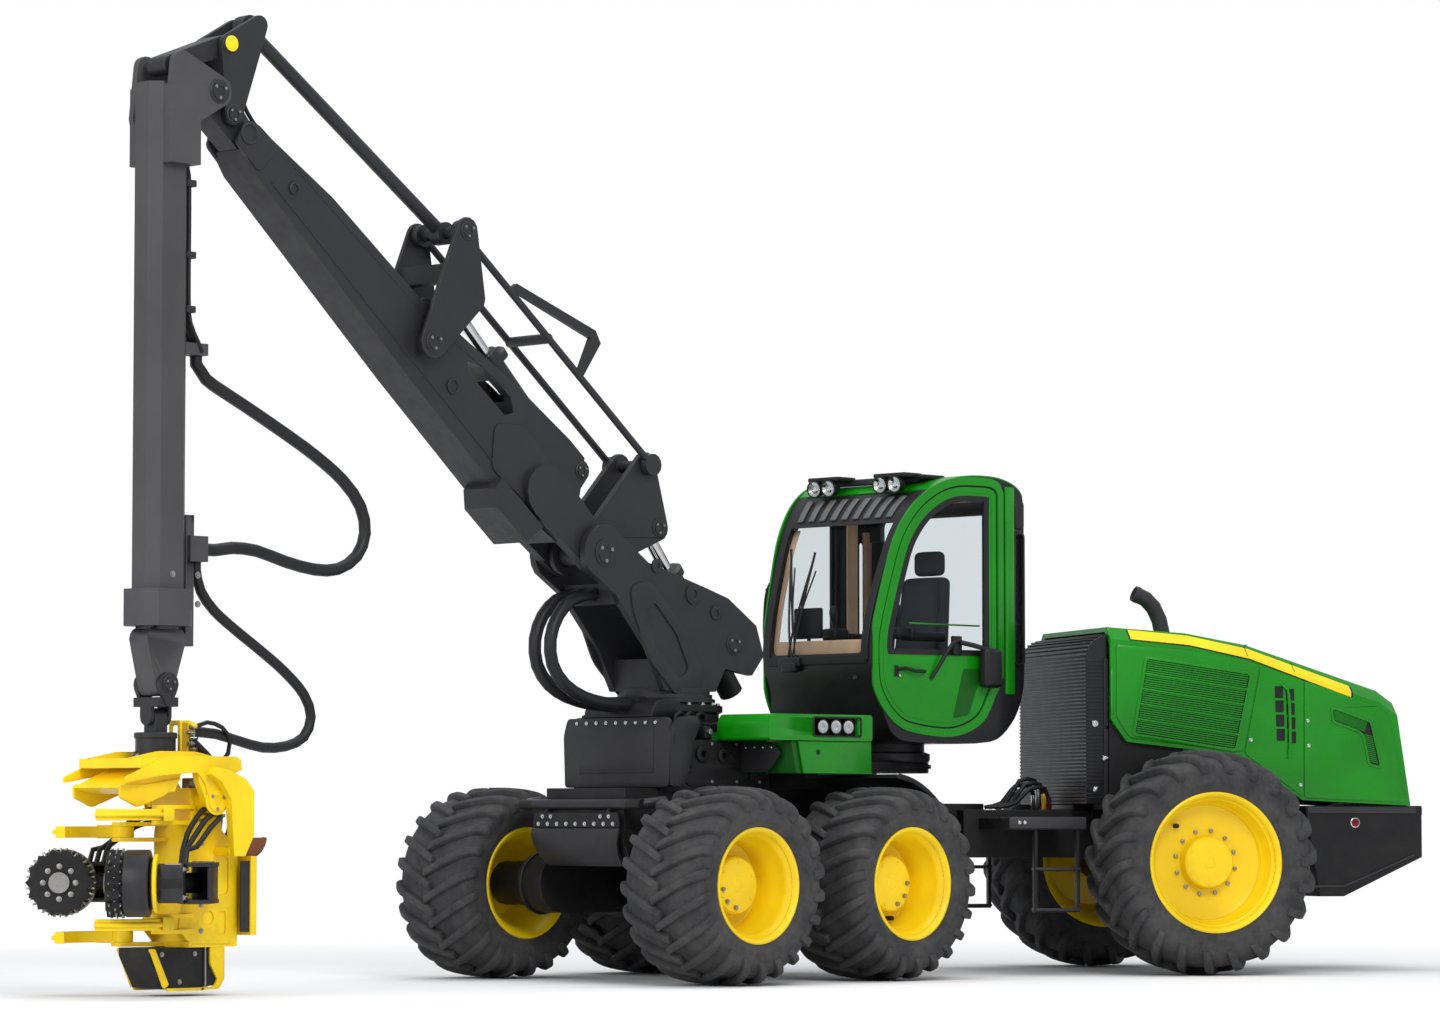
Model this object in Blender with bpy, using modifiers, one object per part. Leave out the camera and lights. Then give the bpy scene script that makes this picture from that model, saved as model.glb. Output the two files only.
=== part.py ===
"""Forestry harvester: a six-wheeled carrier hinged in the middle, with a turning cab, a parallel
crane and a hanging harvesting head. Metres, +Z up, +X towards the front, +Y to the left."""

from math import atan2, cos, degrees, hypot, pi, radians, sin

import bmesh
import bpy
from mathutils import Matrix, Vector
from mathutils.geometry import convex_hull_2d

# Clearances and plate stock
SEAT_GAP = 0.0003
RUNNING_GAP = 0.006
PIN_GAP = 0.0004
OVERRUN = 0.02
PLATE = 0.025
MERGE = 0.0001
SHARPEST_SHARE = 0.5
ROUND_SIDES = 14
TURN_STEPS = 18

# Place of the machine's own datum (ground under the bogies) in the part's frame
DATUM_X = 0.195
DATUM_Y = -0.55

# Front wheels and bogies
FRONT_TYRE_R = 0.655
FRONT_TYRE_W = 0.71
FRONT_RIM_R = 0.355
FRONT_LUG = 0.035
FRONT_LUG_PAIRS = 13
FRONT_TRACK_HALF = 1.10
BOGIE_HALF = 0.75
BOGIE_IN_Y = 0.44
BOGIE_W = 0.24
BOGIE_END_R = 0.20
BOGIE_MID_R = 0.24
HUB_R = 0.15
HUB_RISE = 0.14
HUB_BEVEL = 0.025
RIM_WALL = 0.02
RIM_LIP = 0.03
RIM_DISH = -0.10
BEAD_SHARE = 0.84
TREAD_SHARE = 0.92
SKEW_SHARE = 0.6
DISH_SHARE = 0.80

# Rear wheels
REAR_TYRE_R = 0.79
REAR_TYRE_W = 0.65
REAR_RIM_R = 0.465
REAR_LUG = 0.045
REAR_LUG_PAIRS = 13
REAR_TRACK_HALF = 1.10
REAR_AXLE_BACK = 1.994
REAR_AXLE_R = 0.15
DIFF_R = 0.27
DIFF_W = 0.36

# Front frame
FRAME_HALF_W = 0.38
FRAME_LOW = 0.95
FRAME_HIGH = 1.30
FRAME_NOSE_X = 0.95
FRAME_TAIL_X = -1.60
CRANE_BOX_BACK = -0.35
CRANE_BOX_FRONT = 0.62
CRANE_BOX_HALF_W = 0.46
CRANE_BOX_HIGH = 1.62

# Middle joint
JOINT_X = -2.004
STEER_REST_DEG = -29.63
JOINT_EYE_R = 0.22
JOINT_ROOM = 0.044
JOINT_PIN_R = 0.07
JOINT_PLATE = 0.07
JOINT_LOW = 0.80
JOINT_HIGH = 1.28

# Crane stand and pillar
SLEW_X = 0.20
SLEW_BASE_R = 0.33
SLEW_BASE_HIGH = 1.88
PILLAR_FOOT_R = 0.31
PILLAR_FOOT_H = 0.10
PILLAR_OUT_Y = 0.27
PILLAR_IN_Y = 0.215
CORE_SHARE = 0.22

# Crane pins, in the plane of the crane: lengths and rest angles from the level
BOOM_PIVOT_X = 1.03
BOOM_PIVOT_Z = 2.87
BOOM_LEN = 4.302
FORK_SHARE = 0.14
NOSE_SHARE = 0.90
BOOM_DEG = 39.9
BOOM_PIN_R = 0.08
FORK_TURN_DEG = 60.0
LIFT_FOOT_X = -0.20
LIFT_FOOT_Z = 2.29
CRANK_LEN = 0.803
CRANK_DEG = 129.4
CRANK_LIFT_LEN = 0.661
CRANK_LIFT_DEG = 162.4
ROCKER_FOOT_ALONG = 2.014
ROCKER_FOOT_UP = 0.023
ROCKER_LEN = 0.804
ROCKER_DEG = 111.1
ROCKER_EYE_LEN = 0.477
ROCKER_EYE_DEG = 138.7
JIB_FOOT_ALONG = 0.437
JIB_FOOT_UP = 0.351
JIB_LUG_SINK = 0.10
TIP_FOOT_ALONG = 4.094
TIP_FOOT_UP = 0.017
TIP_LEN = 0.626
TIP_DEG = 109.6
TIP_LINK_LEN = 0.442
TIP_LINK_DEG = 84.8
STICK_EAR_LEN = 0.326
STICK_EAR_DEG = 27.3
PIN_R = 0.038

# Layers across the crane, as distances from its middle plane
CRANK_IN = 0.10
CRANK_OUT = 0.145
FORK_IN = 0.155
FORK_OUT = 0.205
STRUT_IN = 0.165
STRUT_OUT = 0.215
ROCKER_IN = 0.225
ROCKER_OUT = 0.255
BOOM_HALF_W = 0.15
NOSE_HALF_W = 0.09
TIP_IN = 0.10
TIP_OUT = 0.14
EAR_IN = 0.155
EAR_OUT = 0.20

# Crane rods and cylinders
LIFT_BARREL_R = 0.085
LIFT_ROD_R = 0.045
TRUNNION_R = 0.05
LIFT_BARREL_UP = 0.62
LIFT_BARREL_DOWN = 0.41
LIFT_BORE_DOWN = 0.35
JIB_BARREL_R = 0.075
JIB_ROD_R = 0.04
JIB_BARREL_LEN = 1.05
JIB_DEG = 44.0
STRUT_R = 0.035
STRUT_ROD_R = 0.0245
LONG_ROD_R = 0.045
ROD_END_SHARE = 0.03
BRACE_SHARE = 0.45
ROD_EYE_R = 0.075
EYE_HALF_W = 0.05

# Stick and telescope
STICK_BACK_X = 4.475
STICK_FRONT_X = 4.785
STICK_HALF_W = 0.13
STICK_CHAMFER = 0.065
STICK_TOP_Z = 5.66
STICK_LOW_Z = 2.30
STICK_WALL = 0.022
COLLAR_H = 0.21
COLLAR_GROW = 0.035
TELE_IN_Z = 4.75
TELE_SLACK = 0.0005
TIP_PIN_X = 4.64
TIP_PIN_Z = 1.92
TIP_EYE_R = 0.075

# Hoses and what they end in
UPPER_HOSE_R = 0.04
LOWER_HOSE_R = 0.033
BASE_HOSE_R = 0.044
BASE_HOSE_Y = 0.075
HOSE_TOP_Z = 3.98
HOSE_BRACKET_X = 4.29
HOSE_BRACKET_HALF_W = 0.06
HOSE_BAR_X = 4.37
HOSE_BAR_HIGH = 2.98
HOSE_REST_X = 4.28
HOSE_REST_LOW = 2.69
HOSE_REST_HIGH = 2.85
PILLAR_BAR_X = 0.94
PILLAR_BAR_LOW = 2.53
PILLAR_BAR_HIGH = 2.67
MANIFOLD_BACK_X = 0.54
MANIFOLD_FRONT_X = 0.61
MANIFOLD_HALF_W = 0.16
MANIFOLD_HIGH = 1.92

# Hanging knuckle and rotator
KNUCKLE_X = 4.64
SWING_PIN_Z = 1.72
ROTATOR_R = 0.125
STUB_R = 0.10
ROTATOR_TOP = 1.62
ROTATOR_LOW = 1.47

# Harvesting head
HEAD_TILT_X = 4.40
HEAD_TILT_Z = 1.20
YOKE_HALF_W = 0.30
YOKE_TOP = 1.46
ROLLER_R = 0.21
ROLLER_W = 0.26
ROLLER_X = 5.10
ROLLER_Y = 0.33
ROLLER_Z = 0.70
ROLLER_YAW_DEG = 45.0
ARM_PIVOT_X = 4.50
ARM_PIVOT_Y = 0.30
KNIFE_PIVOT_X = 4.735
KNIFE_PIVOT_Y = 0.195
KNIFE_TOP_Z = 1.08
KNIFE_LOW_Z = 0.33
KNIFE_H = 0.07
KNIFE_THICK = 0.06
SAW_BOX_LOW = 0.04
SAW_BOX_HALF_W = 0.15

# Cab
CAB_X = -2.00
CAB_FRONT_HALF_W = 0.52
CAB_BACK_HALF_W = 0.77
CAB_TAPER_END = -2.36
CAB_WALL = 0.05
CAB_LOW = 1.64
CAB_TOP = 3.52
CAB_NOSE_X = -1.31
CAB_TAIL_X = -2.66
WAIST_Z = 2.21
DOOR_GAP = 0.015
PANE = 0.010
PANE_DEPTH = 0.020
PANE_GAP = SEAT_GAP
HINGE_OUT = 0.016
HINGE_R = 0.012
HINGE_PIN_R = 0.006
HINGE_H = 0.04
HINGE_ARM = 0.06
HINGE_LEVELS = (2.30, 3.20)
FRAME_RAIL = 0.07
SEAT_BACK = 0.42
SEAT_FRONT = 0.10
SEAT_HALF_W = 0.25
SEAT_THICK = 0.14
SEAT_LOW = 2.02
SEAT_HIGH = 2.15
SEAT_TOP = 2.85
PEDESTAL_R = 0.33
PEDESTAL_LOW = 1.42

# Rear body
REAR_FRAME_HALF_W = 0.36
REAR_FRAME_LOW = 0.82
REAR_FRAME_HIGH = 1.16
REAR_FRAME_END = -3.50
HOOD_HALF_W = 0.75
HOOD_FRONT = -1.46
HOOD_END = -3.77
HOOD_TOP = 2.46
HOOD_LOW = 1.19
HOOD_WALL = 0.035
INTAKE_FRONT = -1.29
INTAKE_HALF_W = 0.70
INTAKE_LOW = 1.20
INTAKE_HIGH = 2.40
INTAKE_DEPTH = 0.16
ENGINE_FRONT = -1.75
ENGINE_BACK = -2.92
ENGINE_HALF_W = 0.42
ENGINE_HIGH = 2.05
TRAY_HALF_W = 0.74
EXHAUST_R = 0.055
EXHAUST_BACK_X = -2.18
EXHAUST_FRONT_X = -1.97
EXHAUST_Y = -0.10
EXHAUST_LOW = 2.36
EXHAUST_HIGH = 2.74

# Shield, bumper, fenders and deck covers
SHIELD_X = 0.66
SHIELD_HALF_W = 0.52
SHIELD_LOW = FRAME_HIGH + SEAT_GAP
SHIELD_HIGH = 1.78
BUMPER_X = 0.99
BUMPER_Z = 1.19
BUMPER_R = 0.035
BUMPER_HALF_W = 0.58
SKID_BACK_X = 0.60
SKID_FRONT_X = 1.02
SKID_LOW = 0.81
SKID_HALF_W = 0.43
FENDER_R = 0.745
FENDER_START_DEG = 95.0
FENDER_END_DEG = 172.0
FENDER_STEPS = 6
FENDER_OUT_Y = 1.22
COVER_IN_Y = CRANE_BOX_HALF_W + SEAT_GAP
COVER_OUT_Y = 0.95
COVER_BACK_X = -0.86
COVER_FRONT_X = 0.16
COVER_STEP_X = -0.12
COVER_TOP = 1.80
COVER_STEP_Z = 1.62
COVER_LOW = 1.40

# Rear tray, decks, side panels, ladders and the hood's edge
TRAY_BACK_X = -3.85
TRAY_KNEE_X = -3.24
TRAY_TOE_X = -3.05
TRAY_FRONT_X = -2.94
TRAY_LOW = 0.54
DECK_BACK_X = -1.18
DECK_FRONT_X = -0.60
DECK_OUT_Y = 1.00
DECK_LOW = 1.02
DECK_HIGH = 1.10
SIDE_PANEL_Y = 0.708
SIDE_PANEL_THICK = 0.05
SIDE_PANEL_LOW = 1.09
SIDE_PANEL_HIGH = 1.78
SIDE_PANEL_BACK_X = -2.02
SIDE_PANEL_FRONT_X = -1.46
LADDER_BACK_X = -1.14
LADDER_FRONT_X = -0.80
LADDER_LOW = 0.44
LADDER_STEPS = 2
HOOD_EDGE = 0.09

# Eyes, plates and windows of the crane
BOOM_EAR_R = 0.19
EAR_START_DEG = -40.0
EAR_END_DEG = 110.0
EAR_STEPS = 8
CRANK_FOOT_R = 0.14
CRANK_LOBE_R = 0.09
ROCKER_FOOT_R = 0.11
ROCKER_LOBE_R = 0.09
ROCKER_TUBE = 0.12
ROCKER_TUBE_SHARE = 0.62
TIP_FOOT_R = 0.07
TIP_LOBE_R = 0.062
NOSE_R = 0.10
STICK_HEAD_LOW = 5.15
STICK_HEAD_HALF_W = 0.20
CAVITY_TOP = 5.00
TELE_HALF_W = 0.09
KNUCKLE_IN = 0.095
KNUCKLE_OUT = 0.13
SWING_PIN_R = 0.03
SWING_EYE_R = 0.055
SWING_LUG_HALF = 0.05

# Lamp box under the boom's foot and the struts' guard
LAMP_BOX_START = 0.50
LAMP_BOX_END = 0.98
LAMP_BOX_UP = -0.22
LAMP_BOX_DOWN = -0.40
LAMP_BOX_RIGHT_Y = -0.10
LAMP_BOX_LEFT_Y = 0.22
GUARD_OUT = 0.33
GUARD_THICK = 0.035
GUARD_SINK = 0.009
GUARD_INSET = 0.006

# Yoke, spine, arms and saw box
YOKE_THICK = 0.06
YOKE_BACK_X = 4.20
YOKE_FRONT_X = 5.00
TILT_PIN_R = 0.05
ARM_PIN_R = 0.03
SPINE_BACK_X = 4.12
SPINE_FRONT_X = 4.50
SPINE_HALF_W = 0.17
SPINE_TOP = 1.28
SPINE_LOW = 0.30
SPINE_NECK_X = 4.25
SPINE_NECK_Z = 1.02
BACK_PLATE_X = 4.03
BACK_PLATE_HALF_W = 0.25
BACK_PLATE_LOW = 0.37
BACK_PLATE_HIGH = 0.86
WEDGE_BACK_X = 4.60
WEDGE_FRONT_X = 5.12
WEDGE_LOW = 1.255
WEDGE_HALF_W = 0.22
POST_X = 4.38
POST_HIGH = 1.69
SIDE_ARM_SPAN = 0.35
SIDE_ARM_RISE = 0.53
SIDE_ARM_LOW = 0.86
SIDE_ARM_IN = 0.315
SIDE_ARM_OUT = 0.375
SIDE_ARM_THICK = 0.03

# Saw box, spikes, motors and knives
SAW_FRONT_X = 4.80
SAW_TOE_X = 4.69
SAW_BACK_X = 4.22
SPIKES = 14
SPIKE_W = 0.09
SPIKE_SHARE = 0.86
RING_R = 0.155
RING_W = 0.035
ARM_H = 0.10
ARM_R = 0.07
BEAM_R = 0.063
MOTOR_R = 0.12
MOTOR_LEN = 0.20
KNIFE_BEND_R = 0.34
KNIFE_START_DEG = 150.0
KNIFE_END_DEG = 35.0
KNIFE_TAPER_DEG = 10.0
KNIFE_STEPS = 8
KNIFE_CENTRE_X = 4.98

# Cab windows, roof lamps and mirror
WINDSHIELD_HALF_W = 0.44
WINDSHIELD_LOW = 2.25
WINDSHIELD_HIGH = 3.30
REAR_WINDOW_HALF_W = 0.58
REAR_WINDOW_LOW = 2.30
REAR_WINDOW_HIGH = 3.28
TURNTABLE_R = 0.28
ROOF_BAR_X = -1.93
ROOF_BAR_DEPTH = 0.08
ROOF_BAR_HALF_W = 0.41
ROOF_BAR_TOP = 3.54
LAMP_BLOCK_DEPTH = 0.14
LAMP_BLOCK_W = 0.30
LAMP_BLOCK_H = 0.16
LAMP_BLOCK_OUT_Y = 0.47
MIRROR_LOW = 2.02
MIRROR_HIGH = 2.265
MIRROR_LEN = 0.10
MIRROR_DEPTH = 0.10
MIRROR_FRONT_X = -2.16

# Colours: red, green, blue as linear values, then roughness and metallic
PAINTS = {
    "green": ((0.012, 0.235, 0.012), 0.35, 0.0),
    "yellow": ((0.88, 0.62, 0.01), 0.40, 0.0),
    "black": ((0.018, 0.018, 0.020), 0.55, 0.1),
    "crane": ((0.032, 0.032, 0.034), 0.50, 0.2),
    "hose": ((0.020, 0.020, 0.022), 0.60, 0.0),
    "tyre": ((0.035, 0.035, 0.038), 0.85, 0.0),
    "steel": ((0.55, 0.55, 0.56), 0.20, 1.0),
    "glass": ((0.35, 0.42, 0.42), 0.05, 0.0),
    "seat": ((0.03, 0.03, 0.035), 0.80, 0.0),
    "engine": ((0.10, 0.10, 0.10), 0.60, 0.4),
    "lamp": ((0.75, 0.75, 0.72), 0.15, 0.0),
}

for old in list(bpy.data.objects):
    bpy.data.objects.remove(old, do_unlink=True)

PARTS = bpy.data.collections.new("forestry_harvester")
CUTTERS = bpy.data.collections.new("cutters")
bpy.context.scene.collection.children.link(PARTS)
bpy.context.scene.collection.children.link(CUTTERS)
FRAMES = {}
MATERIALS = {}


# Helpers

def paint(name):
    """The Principled material of one finish, made once."""
    if name in MATERIALS:
        return MATERIALS[name]
    colour, roughness, metallic = PAINTS[name]
    material = bpy.data.materials.new(name)
    material.use_nodes = True
    shader = material.node_tree.nodes["Principled BSDF"]
    shader.inputs["Base Color"].default_value = (*colour, 1.0)
    shader.inputs["Roughness"].default_value = roughness
    shader.inputs["Metallic"].default_value = metallic
    MATERIALS[name] = material
    return material


def add_frame(name, parent, place, space="machine", turn_deg=0.0):
    """An empty on a joint's axis. place is in the coordinates of the named space."""
    empty = bpy.data.objects.new("axis_" + name, None)
    PARTS.objects.link(empty)
    base = FRAMES[space]["matrix"] if space in FRAMES else Matrix.Identity(4)
    matrix = base @ Matrix.Translation(Vector(place)) @ Matrix.Rotation(radians(turn_deg), 4, "Z")
    if parent:
        empty.parent = FRAMES[parent]["empty"]
        empty.matrix_local = FRAMES[parent]["matrix"].inverted() @ matrix
    else:
        empty.matrix_local = matrix
    FRAMES[name] = {"empty": empty, "matrix": matrix, "base": base}


def seat(item, frame, finish, local=None):
    """Parent an object to its joint's empty. Its mesh, or local, is in the frame's build space."""
    holder = FRAMES[frame]
    PARTS.objects.link(item)
    item.parent = holder["empty"]
    from_space = holder["matrix"].inverted() @ holder["base"]
    if local is None:
        item.data.transform(from_space)
    else:
        item.matrix_local = from_space @ local
    item.data.materials.append(paint(finish))
    return item


def smooth(mesh):
    """Shade the round faces smooth and keep the edges sharp."""
    mesh.shade_smooth()
    mesh.set_sharp_from_angle(angle=radians(35.0))


def from_bmesh(name, bm, frame, finish):
    bmesh.ops.recalc_face_normals(bm, faces=bm.faces)
    mesh = bpy.data.meshes.new(name)
    bm.to_mesh(mesh)
    bm.free()
    smooth(mesh)
    return seat(bpy.data.objects.new(name, mesh), frame, finish)


def block(name, low, high, frame, finish):
    """A box between two corners."""
    low, high = Vector(low), Vector(high)
    bm = bmesh.new()
    bmesh.ops.create_cube(bm, size=1.0)
    bmesh.ops.scale(bm, vec=high - low, verts=bm.verts)
    bmesh.ops.translate(bm, vec=(low + high) / 2, verts=bm.verts)
    return from_bmesh(name, bm, frame, finish)


def rod(name, start, end, radius, frame, finish, sides=ROUND_SIDES, end_radius=None, turn=0.0):
    """A round bar or cone between two points."""
    start, end = Vector(start), Vector(end)
    run = end - start
    bm = bmesh.new()
    bmesh.ops.create_cone(bm, cap_ends=True, segments=sides, radius1=radius,
                          radius2=radius if end_radius is None else end_radius, depth=run.length)
    lean = run.to_track_quat("Z", "Y").to_matrix().to_4x4() @ Matrix.Rotation(turn, 4, "Z")
    bmesh.ops.transform(bm, matrix=Matrix.Translation((start + end) / 2) @ lean, verts=bm.verts)
    return from_bmesh(name, bm, frame, finish)


def hull(name, points, frame, finish):
    """The closed convex body around some corner points."""
    bm = bmesh.new()
    for point in points:
        bm.verts.new(point)
    made = bmesh.ops.convex_hull(bm, input=bm.verts)
    spare = list({v for v in made["geom_interior"] + made["geom_unused"] if isinstance(v,
                                                                                       bmesh.types.BMVert)})
    bmesh.ops.delete(bm, geom=spare, context="VERTS")
    bmesh.ops.dissolve_limit(bm, angle_limit=radians(0.5), verts=bm.verts, edges=bm.edges)
    return from_bmesh(name, bm, frame, finish)


ACROSS = {
    "Y": Matrix(((1, 0, 0, 0), (0, 0, -1, 0), (0, 1, 0, 0), (0, 0, 0, 1))),
    "Z": Matrix.Identity(4),
    "X": Matrix(((0, 0, 1, 0), (1, 0, 0, 0), (0, 1, 0, 0), (0, 0, 0, 1))),
}
AXIS_PLACE = {"X": Vector((1, 0, 0)), "Y": Vector((0, 1, 0)), "Z": Vector((0, 0, 1))}


def plate(name, outline, low, high, frame, finish, holes=(), across="Y"):
    """A flat outline with holes, given its thickness between two levels of one axis."""
    curve = bpy.data.curves.new(name, "CURVE")
    curve.dimensions = "2D"
    curve.fill_mode = "BOTH"
    curve.extrude = (high - low) / 2
    for ring in (outline, *holes):
        spline = curve.splines.new("POLY")
        spline.points.add(len(ring) - 1)
        for point, (a, b) in zip(spline.points, ring):
            point.co = (a, b, 0.0, 1.0)
        spline.use_cyclic_u = True
    drawn = bpy.data.objects.new(name, curve)
    PARTS.objects.link(drawn)
    bpy.context.view_layer.update()
    mesh = bpy.data.meshes.new_from_object(drawn.evaluated_get(bpy.context.evaluated_depsgraph_get()))
    bpy.data.objects.remove(drawn, do_unlink=True)
    bm = bmesh.new()
    bm.from_mesh(mesh)
    bmesh.ops.remove_doubles(bm, verts=bm.verts, dist=MERGE)
    shift = Matrix.Translation(AXIS_PLACE[across] * ((low + high) / 2))
    bmesh.ops.transform(bm, matrix=shift @ ACROSS[across], verts=bm.verts)
    return from_bmesh(name, bm, frame, finish)


def turned(name, profile, centre, axis, frame, finish, steps=TURN_STEPS):
    """A turned body: (radius, place along the axis) points, spun by a Screw modifier."""
    mesh = bpy.data.meshes.new(name)
    points = [(radius, 0.0, along) for radius, along in profile]
    mesh.from_pydata(points, [(i, i + 1) for i in range(len(points) - 1)], [])
    item = bpy.data.objects.new(name, mesh)
    turn = Vector(axis).to_track_quat("Z", "Y").to_matrix().to_4x4()
    seat(item, frame, finish, Matrix.Translation(Vector(centre)) @ turn)
    spin = item.modifiers.new("spin", "SCREW")
    spin.steps = steps
    spin.render_steps = steps
    spin.use_merge_vertices = True
    spin.merge_threshold = MERGE
    return item


def hose(name, points, radius, frame, finish):
    """A tube along a smooth curve through the route's points."""
    curve = bpy.data.curves.new(name, "CURVE")
    curve.dimensions = "3D"
    curve.bevel_depth = radius
    curve.bevel_resolution = 2
    curve.use_fill_caps = True
    route = smooth_route(points, radius)
    spline = curve.splines.new("POLY")
    spline.points.add(len(route) - 1)
    for point, place in zip(spline.points, route):
        point.co = (*place, 1.0)
    item = bpy.data.objects.new(name, curve)
    return seat(item, frame, finish)


def bent_pipe(name, points, radius, frame, finish):
    """A rigid tube as a closed mesh, so that it can be joined to its neighbours."""
    drawn = hose(name + "_route", points, radius, frame, finish)
    bpy.context.view_layer.update()
    mesh = bpy.data.meshes.new_from_object(drawn.evaluated_get(bpy.context.evaluated_depsgraph_get()))
    placed = bpy.data.objects.new(name, mesh)
    bm = bmesh.new()
    bm.from_mesh(mesh)
    bmesh.ops.remove_doubles(bm, verts=bm.verts, dist=MERGE)
    bmesh.ops.recalc_face_normals(bm, faces=bm.faces)
    bm.to_mesh(mesh)
    bm.free()
    PARTS.objects.link(placed)
    placed.parent = drawn.parent
    placed.matrix_local = Matrix.Identity(4)
    bpy.data.objects.remove(drawn, do_unlink=True)
    return placed


def smooth_route(points, radius):
    """Points a few diameters apart on the Catmull-Rom curve through the given ones."""
    route = []
    places = [Vector(point) for point in points]
    ends = [places[0] * 2 - places[1], *places, places[-1] * 2 - places[-2]]
    for before, start, end, after in zip(ends, ends[1:], ends[2:], ends[3:]):
        pieces = max(1, round((end - start).length / (radius * 5.0)))
        for i in range(pieces):
            t = i / pieces
            route.append(0.5 * (2 * start + (end - before) * t
                                 + (2 * before - 5 * start + 4 * end - after) * t ** 2
                                 + (3 * start - before - 3 * end + after) * t ** 3))
    route.append(places[-1])
    return route


def work_with(target, tool, operation):
    """Apply one object to another with an exact Boolean, and put the tool among the cutters."""
    PARTS.objects.unlink(tool)
    CUTTERS.objects.link(tool)
    tool.hide_render = True
    tool.display_type = "WIRE"
    step = target.modifiers.new(operation.lower(), "BOOLEAN")
    step.operation = operation
    step.object = tool
    step.solver = "EXACT"


def cut(target, *tools):
    for tool in tools:
        work_with(target, tool, "DIFFERENCE")
    return target


def fuse(target, *tools):
    for tool in tools:
        work_with(target, tool, "UNION")
    return target


def keep(target, tool):
    work_with(target, tool, "INTERSECT")
    return target


def arc(centre, radius, start_deg, end_deg, steps):
    """Points on an arc, both ends included."""
    turns = [radians(start_deg + (end_deg - start_deg) * i / steps) for i in range(steps + 1)]
    return [(centre[0] + radius * cos(a), centre[1] + radius * sin(a)) for a in turns]


def circle(centre, radius, sides=ROUND_SIDES, shift_share=0.0):
    """A round outline, turned by a share of one side's angle."""
    start = 360.0 * shift_share / sides
    return arc(centre, radius, start, start + 360.0 * (sides - 1) / sides, sides - 1)


def bore(centre, radius):
    """The hole around a pin: its flats clear the pin's corners at any turn."""
    return circle(centre, (radius + PIN_GAP) / cos(pi / ROUND_SIDES))


def bore_rod(name, start, end, radius, frame, finish):
    """A cutter for a bore around a rod of this radius."""
    turn = pi / ROUND_SIDES
    return rod(name, start, end, (radius + PIN_GAP) / cos(turn), frame, finish, turn=turn)


def bar(start, end, start_r, end_r, steps=8):
    """The outline of a bar with a round end at each of two pins."""
    lean = degrees(atan2(end[1] - start[1], end[0] - start[0]))
    return (arc(end, end_r, lean - 90.0, lean + 90.0, steps)
            + arc(start, start_r, lean + 90.0, lean + 270.0, steps))


def polar(origin, length, angle_deg):
    """The point at a length and an angle from another, in the crane's plane."""
    return (origin[0] + length * cos(radians(angle_deg)), origin[1] + length * sin(radians(angle_deg)))


def between(start, end, share, up=0.0):
    """A point at a share of the way between two, and up square to it."""
    run = Vector(end) - Vector(start)
    side = Vector((-run.y, run.x)).normalized() * up
    return tuple(Vector(start) + run * share + side)


def inset(outline, depth):
    """A convex outline moved in by a depth all round, run anticlockwise."""
    count = len(outline)
    result = []
    for i in range(count):
        before, here, after = Vector(outline[i - 1]), Vector(outline[i]), Vector(outline[(i + 1) % count])
        one = Vector((before.y - here.y, here.x - before.x)).normalized()
        two = Vector((here.y - after.y, after.x - here.x)).normalized()
        middle = (one + two).normalized()
        result.append(tuple(here + middle * (depth / max(middle.dot(one), SHARPEST_SHARE))))
    return result


# Crane pins worked out from the lengths and angles

BOOM_PIVOT = (BOOM_PIVOT_X, BOOM_PIVOT_Z)
BOOM_TIP = polar(BOOM_PIVOT, BOOM_LEN, BOOM_DEG)


def on_boom(along, up):
    return between(BOOM_PIVOT, BOOM_TIP, along / BOOM_LEN, up)


LIFT_FOOT = (LIFT_FOOT_X, LIFT_FOOT_Z)
CRANK_TOP = polar(BOOM_PIVOT, CRANK_LEN, CRANK_DEG)
CRANK_LIFT = polar(BOOM_PIVOT, CRANK_LIFT_LEN, CRANK_LIFT_DEG)
ROCKER_FOOT = on_boom(ROCKER_FOOT_ALONG, ROCKER_FOOT_UP)
ROCKER_TOP = polar(ROCKER_FOOT, ROCKER_LEN, ROCKER_DEG)
ROCKER_EYE = polar(ROCKER_FOOT, ROCKER_EYE_LEN, ROCKER_EYE_DEG)
JIB_FOOT = on_boom(JIB_FOOT_ALONG, JIB_FOOT_UP)
TIP_FOOT = on_boom(TIP_FOOT_ALONG, TIP_FOOT_UP)
TIP_TOP = polar(TIP_FOOT, TIP_LEN, TIP_DEG)
TIP_LINK = polar(TIP_FOOT, TIP_LINK_LEN, TIP_LINK_DEG)
STICK_EAR = polar(BOOM_TIP, STICK_EAR_LEN, STICK_EAR_DEG)
TIP_PIN = (TIP_PIN_X, TIP_PIN_Z)


def at(pin, across=0.0):
    """A pin of the crane's plane as a place in space."""
    return (pin[0], across, pin[1])


def cross_pin(name, pin, half_width, radius, frame, finish="crane"):
    return plate(name, circle(pin, radius, shift_share=0.5), -half_width, half_width, frame, finish)


def pair(name, outline, inner, outer, frame, finish="crane", holes=()):
    """Two like plates, left and right of the crane's middle plane."""
    left = plate(name, outline, inner, outer, frame, finish, holes)
    right = plate(name + "_right", outline, -outer, -inner, frame, finish, holes)
    return left, right


# Frames: every joint's empty

add_frame("machine", None, (DATUM_X, DATUM_Y, 0.0))
FRAMES["machine"]["base"] = FRAMES["machine"]["matrix"]
add_frame("rear", "machine", (JOINT_X, 0.0, 0.0), turn_deg=STEER_REST_DEG)
FRAMES["rear"]["base"] = FRAMES["rear"]["matrix"]

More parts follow.
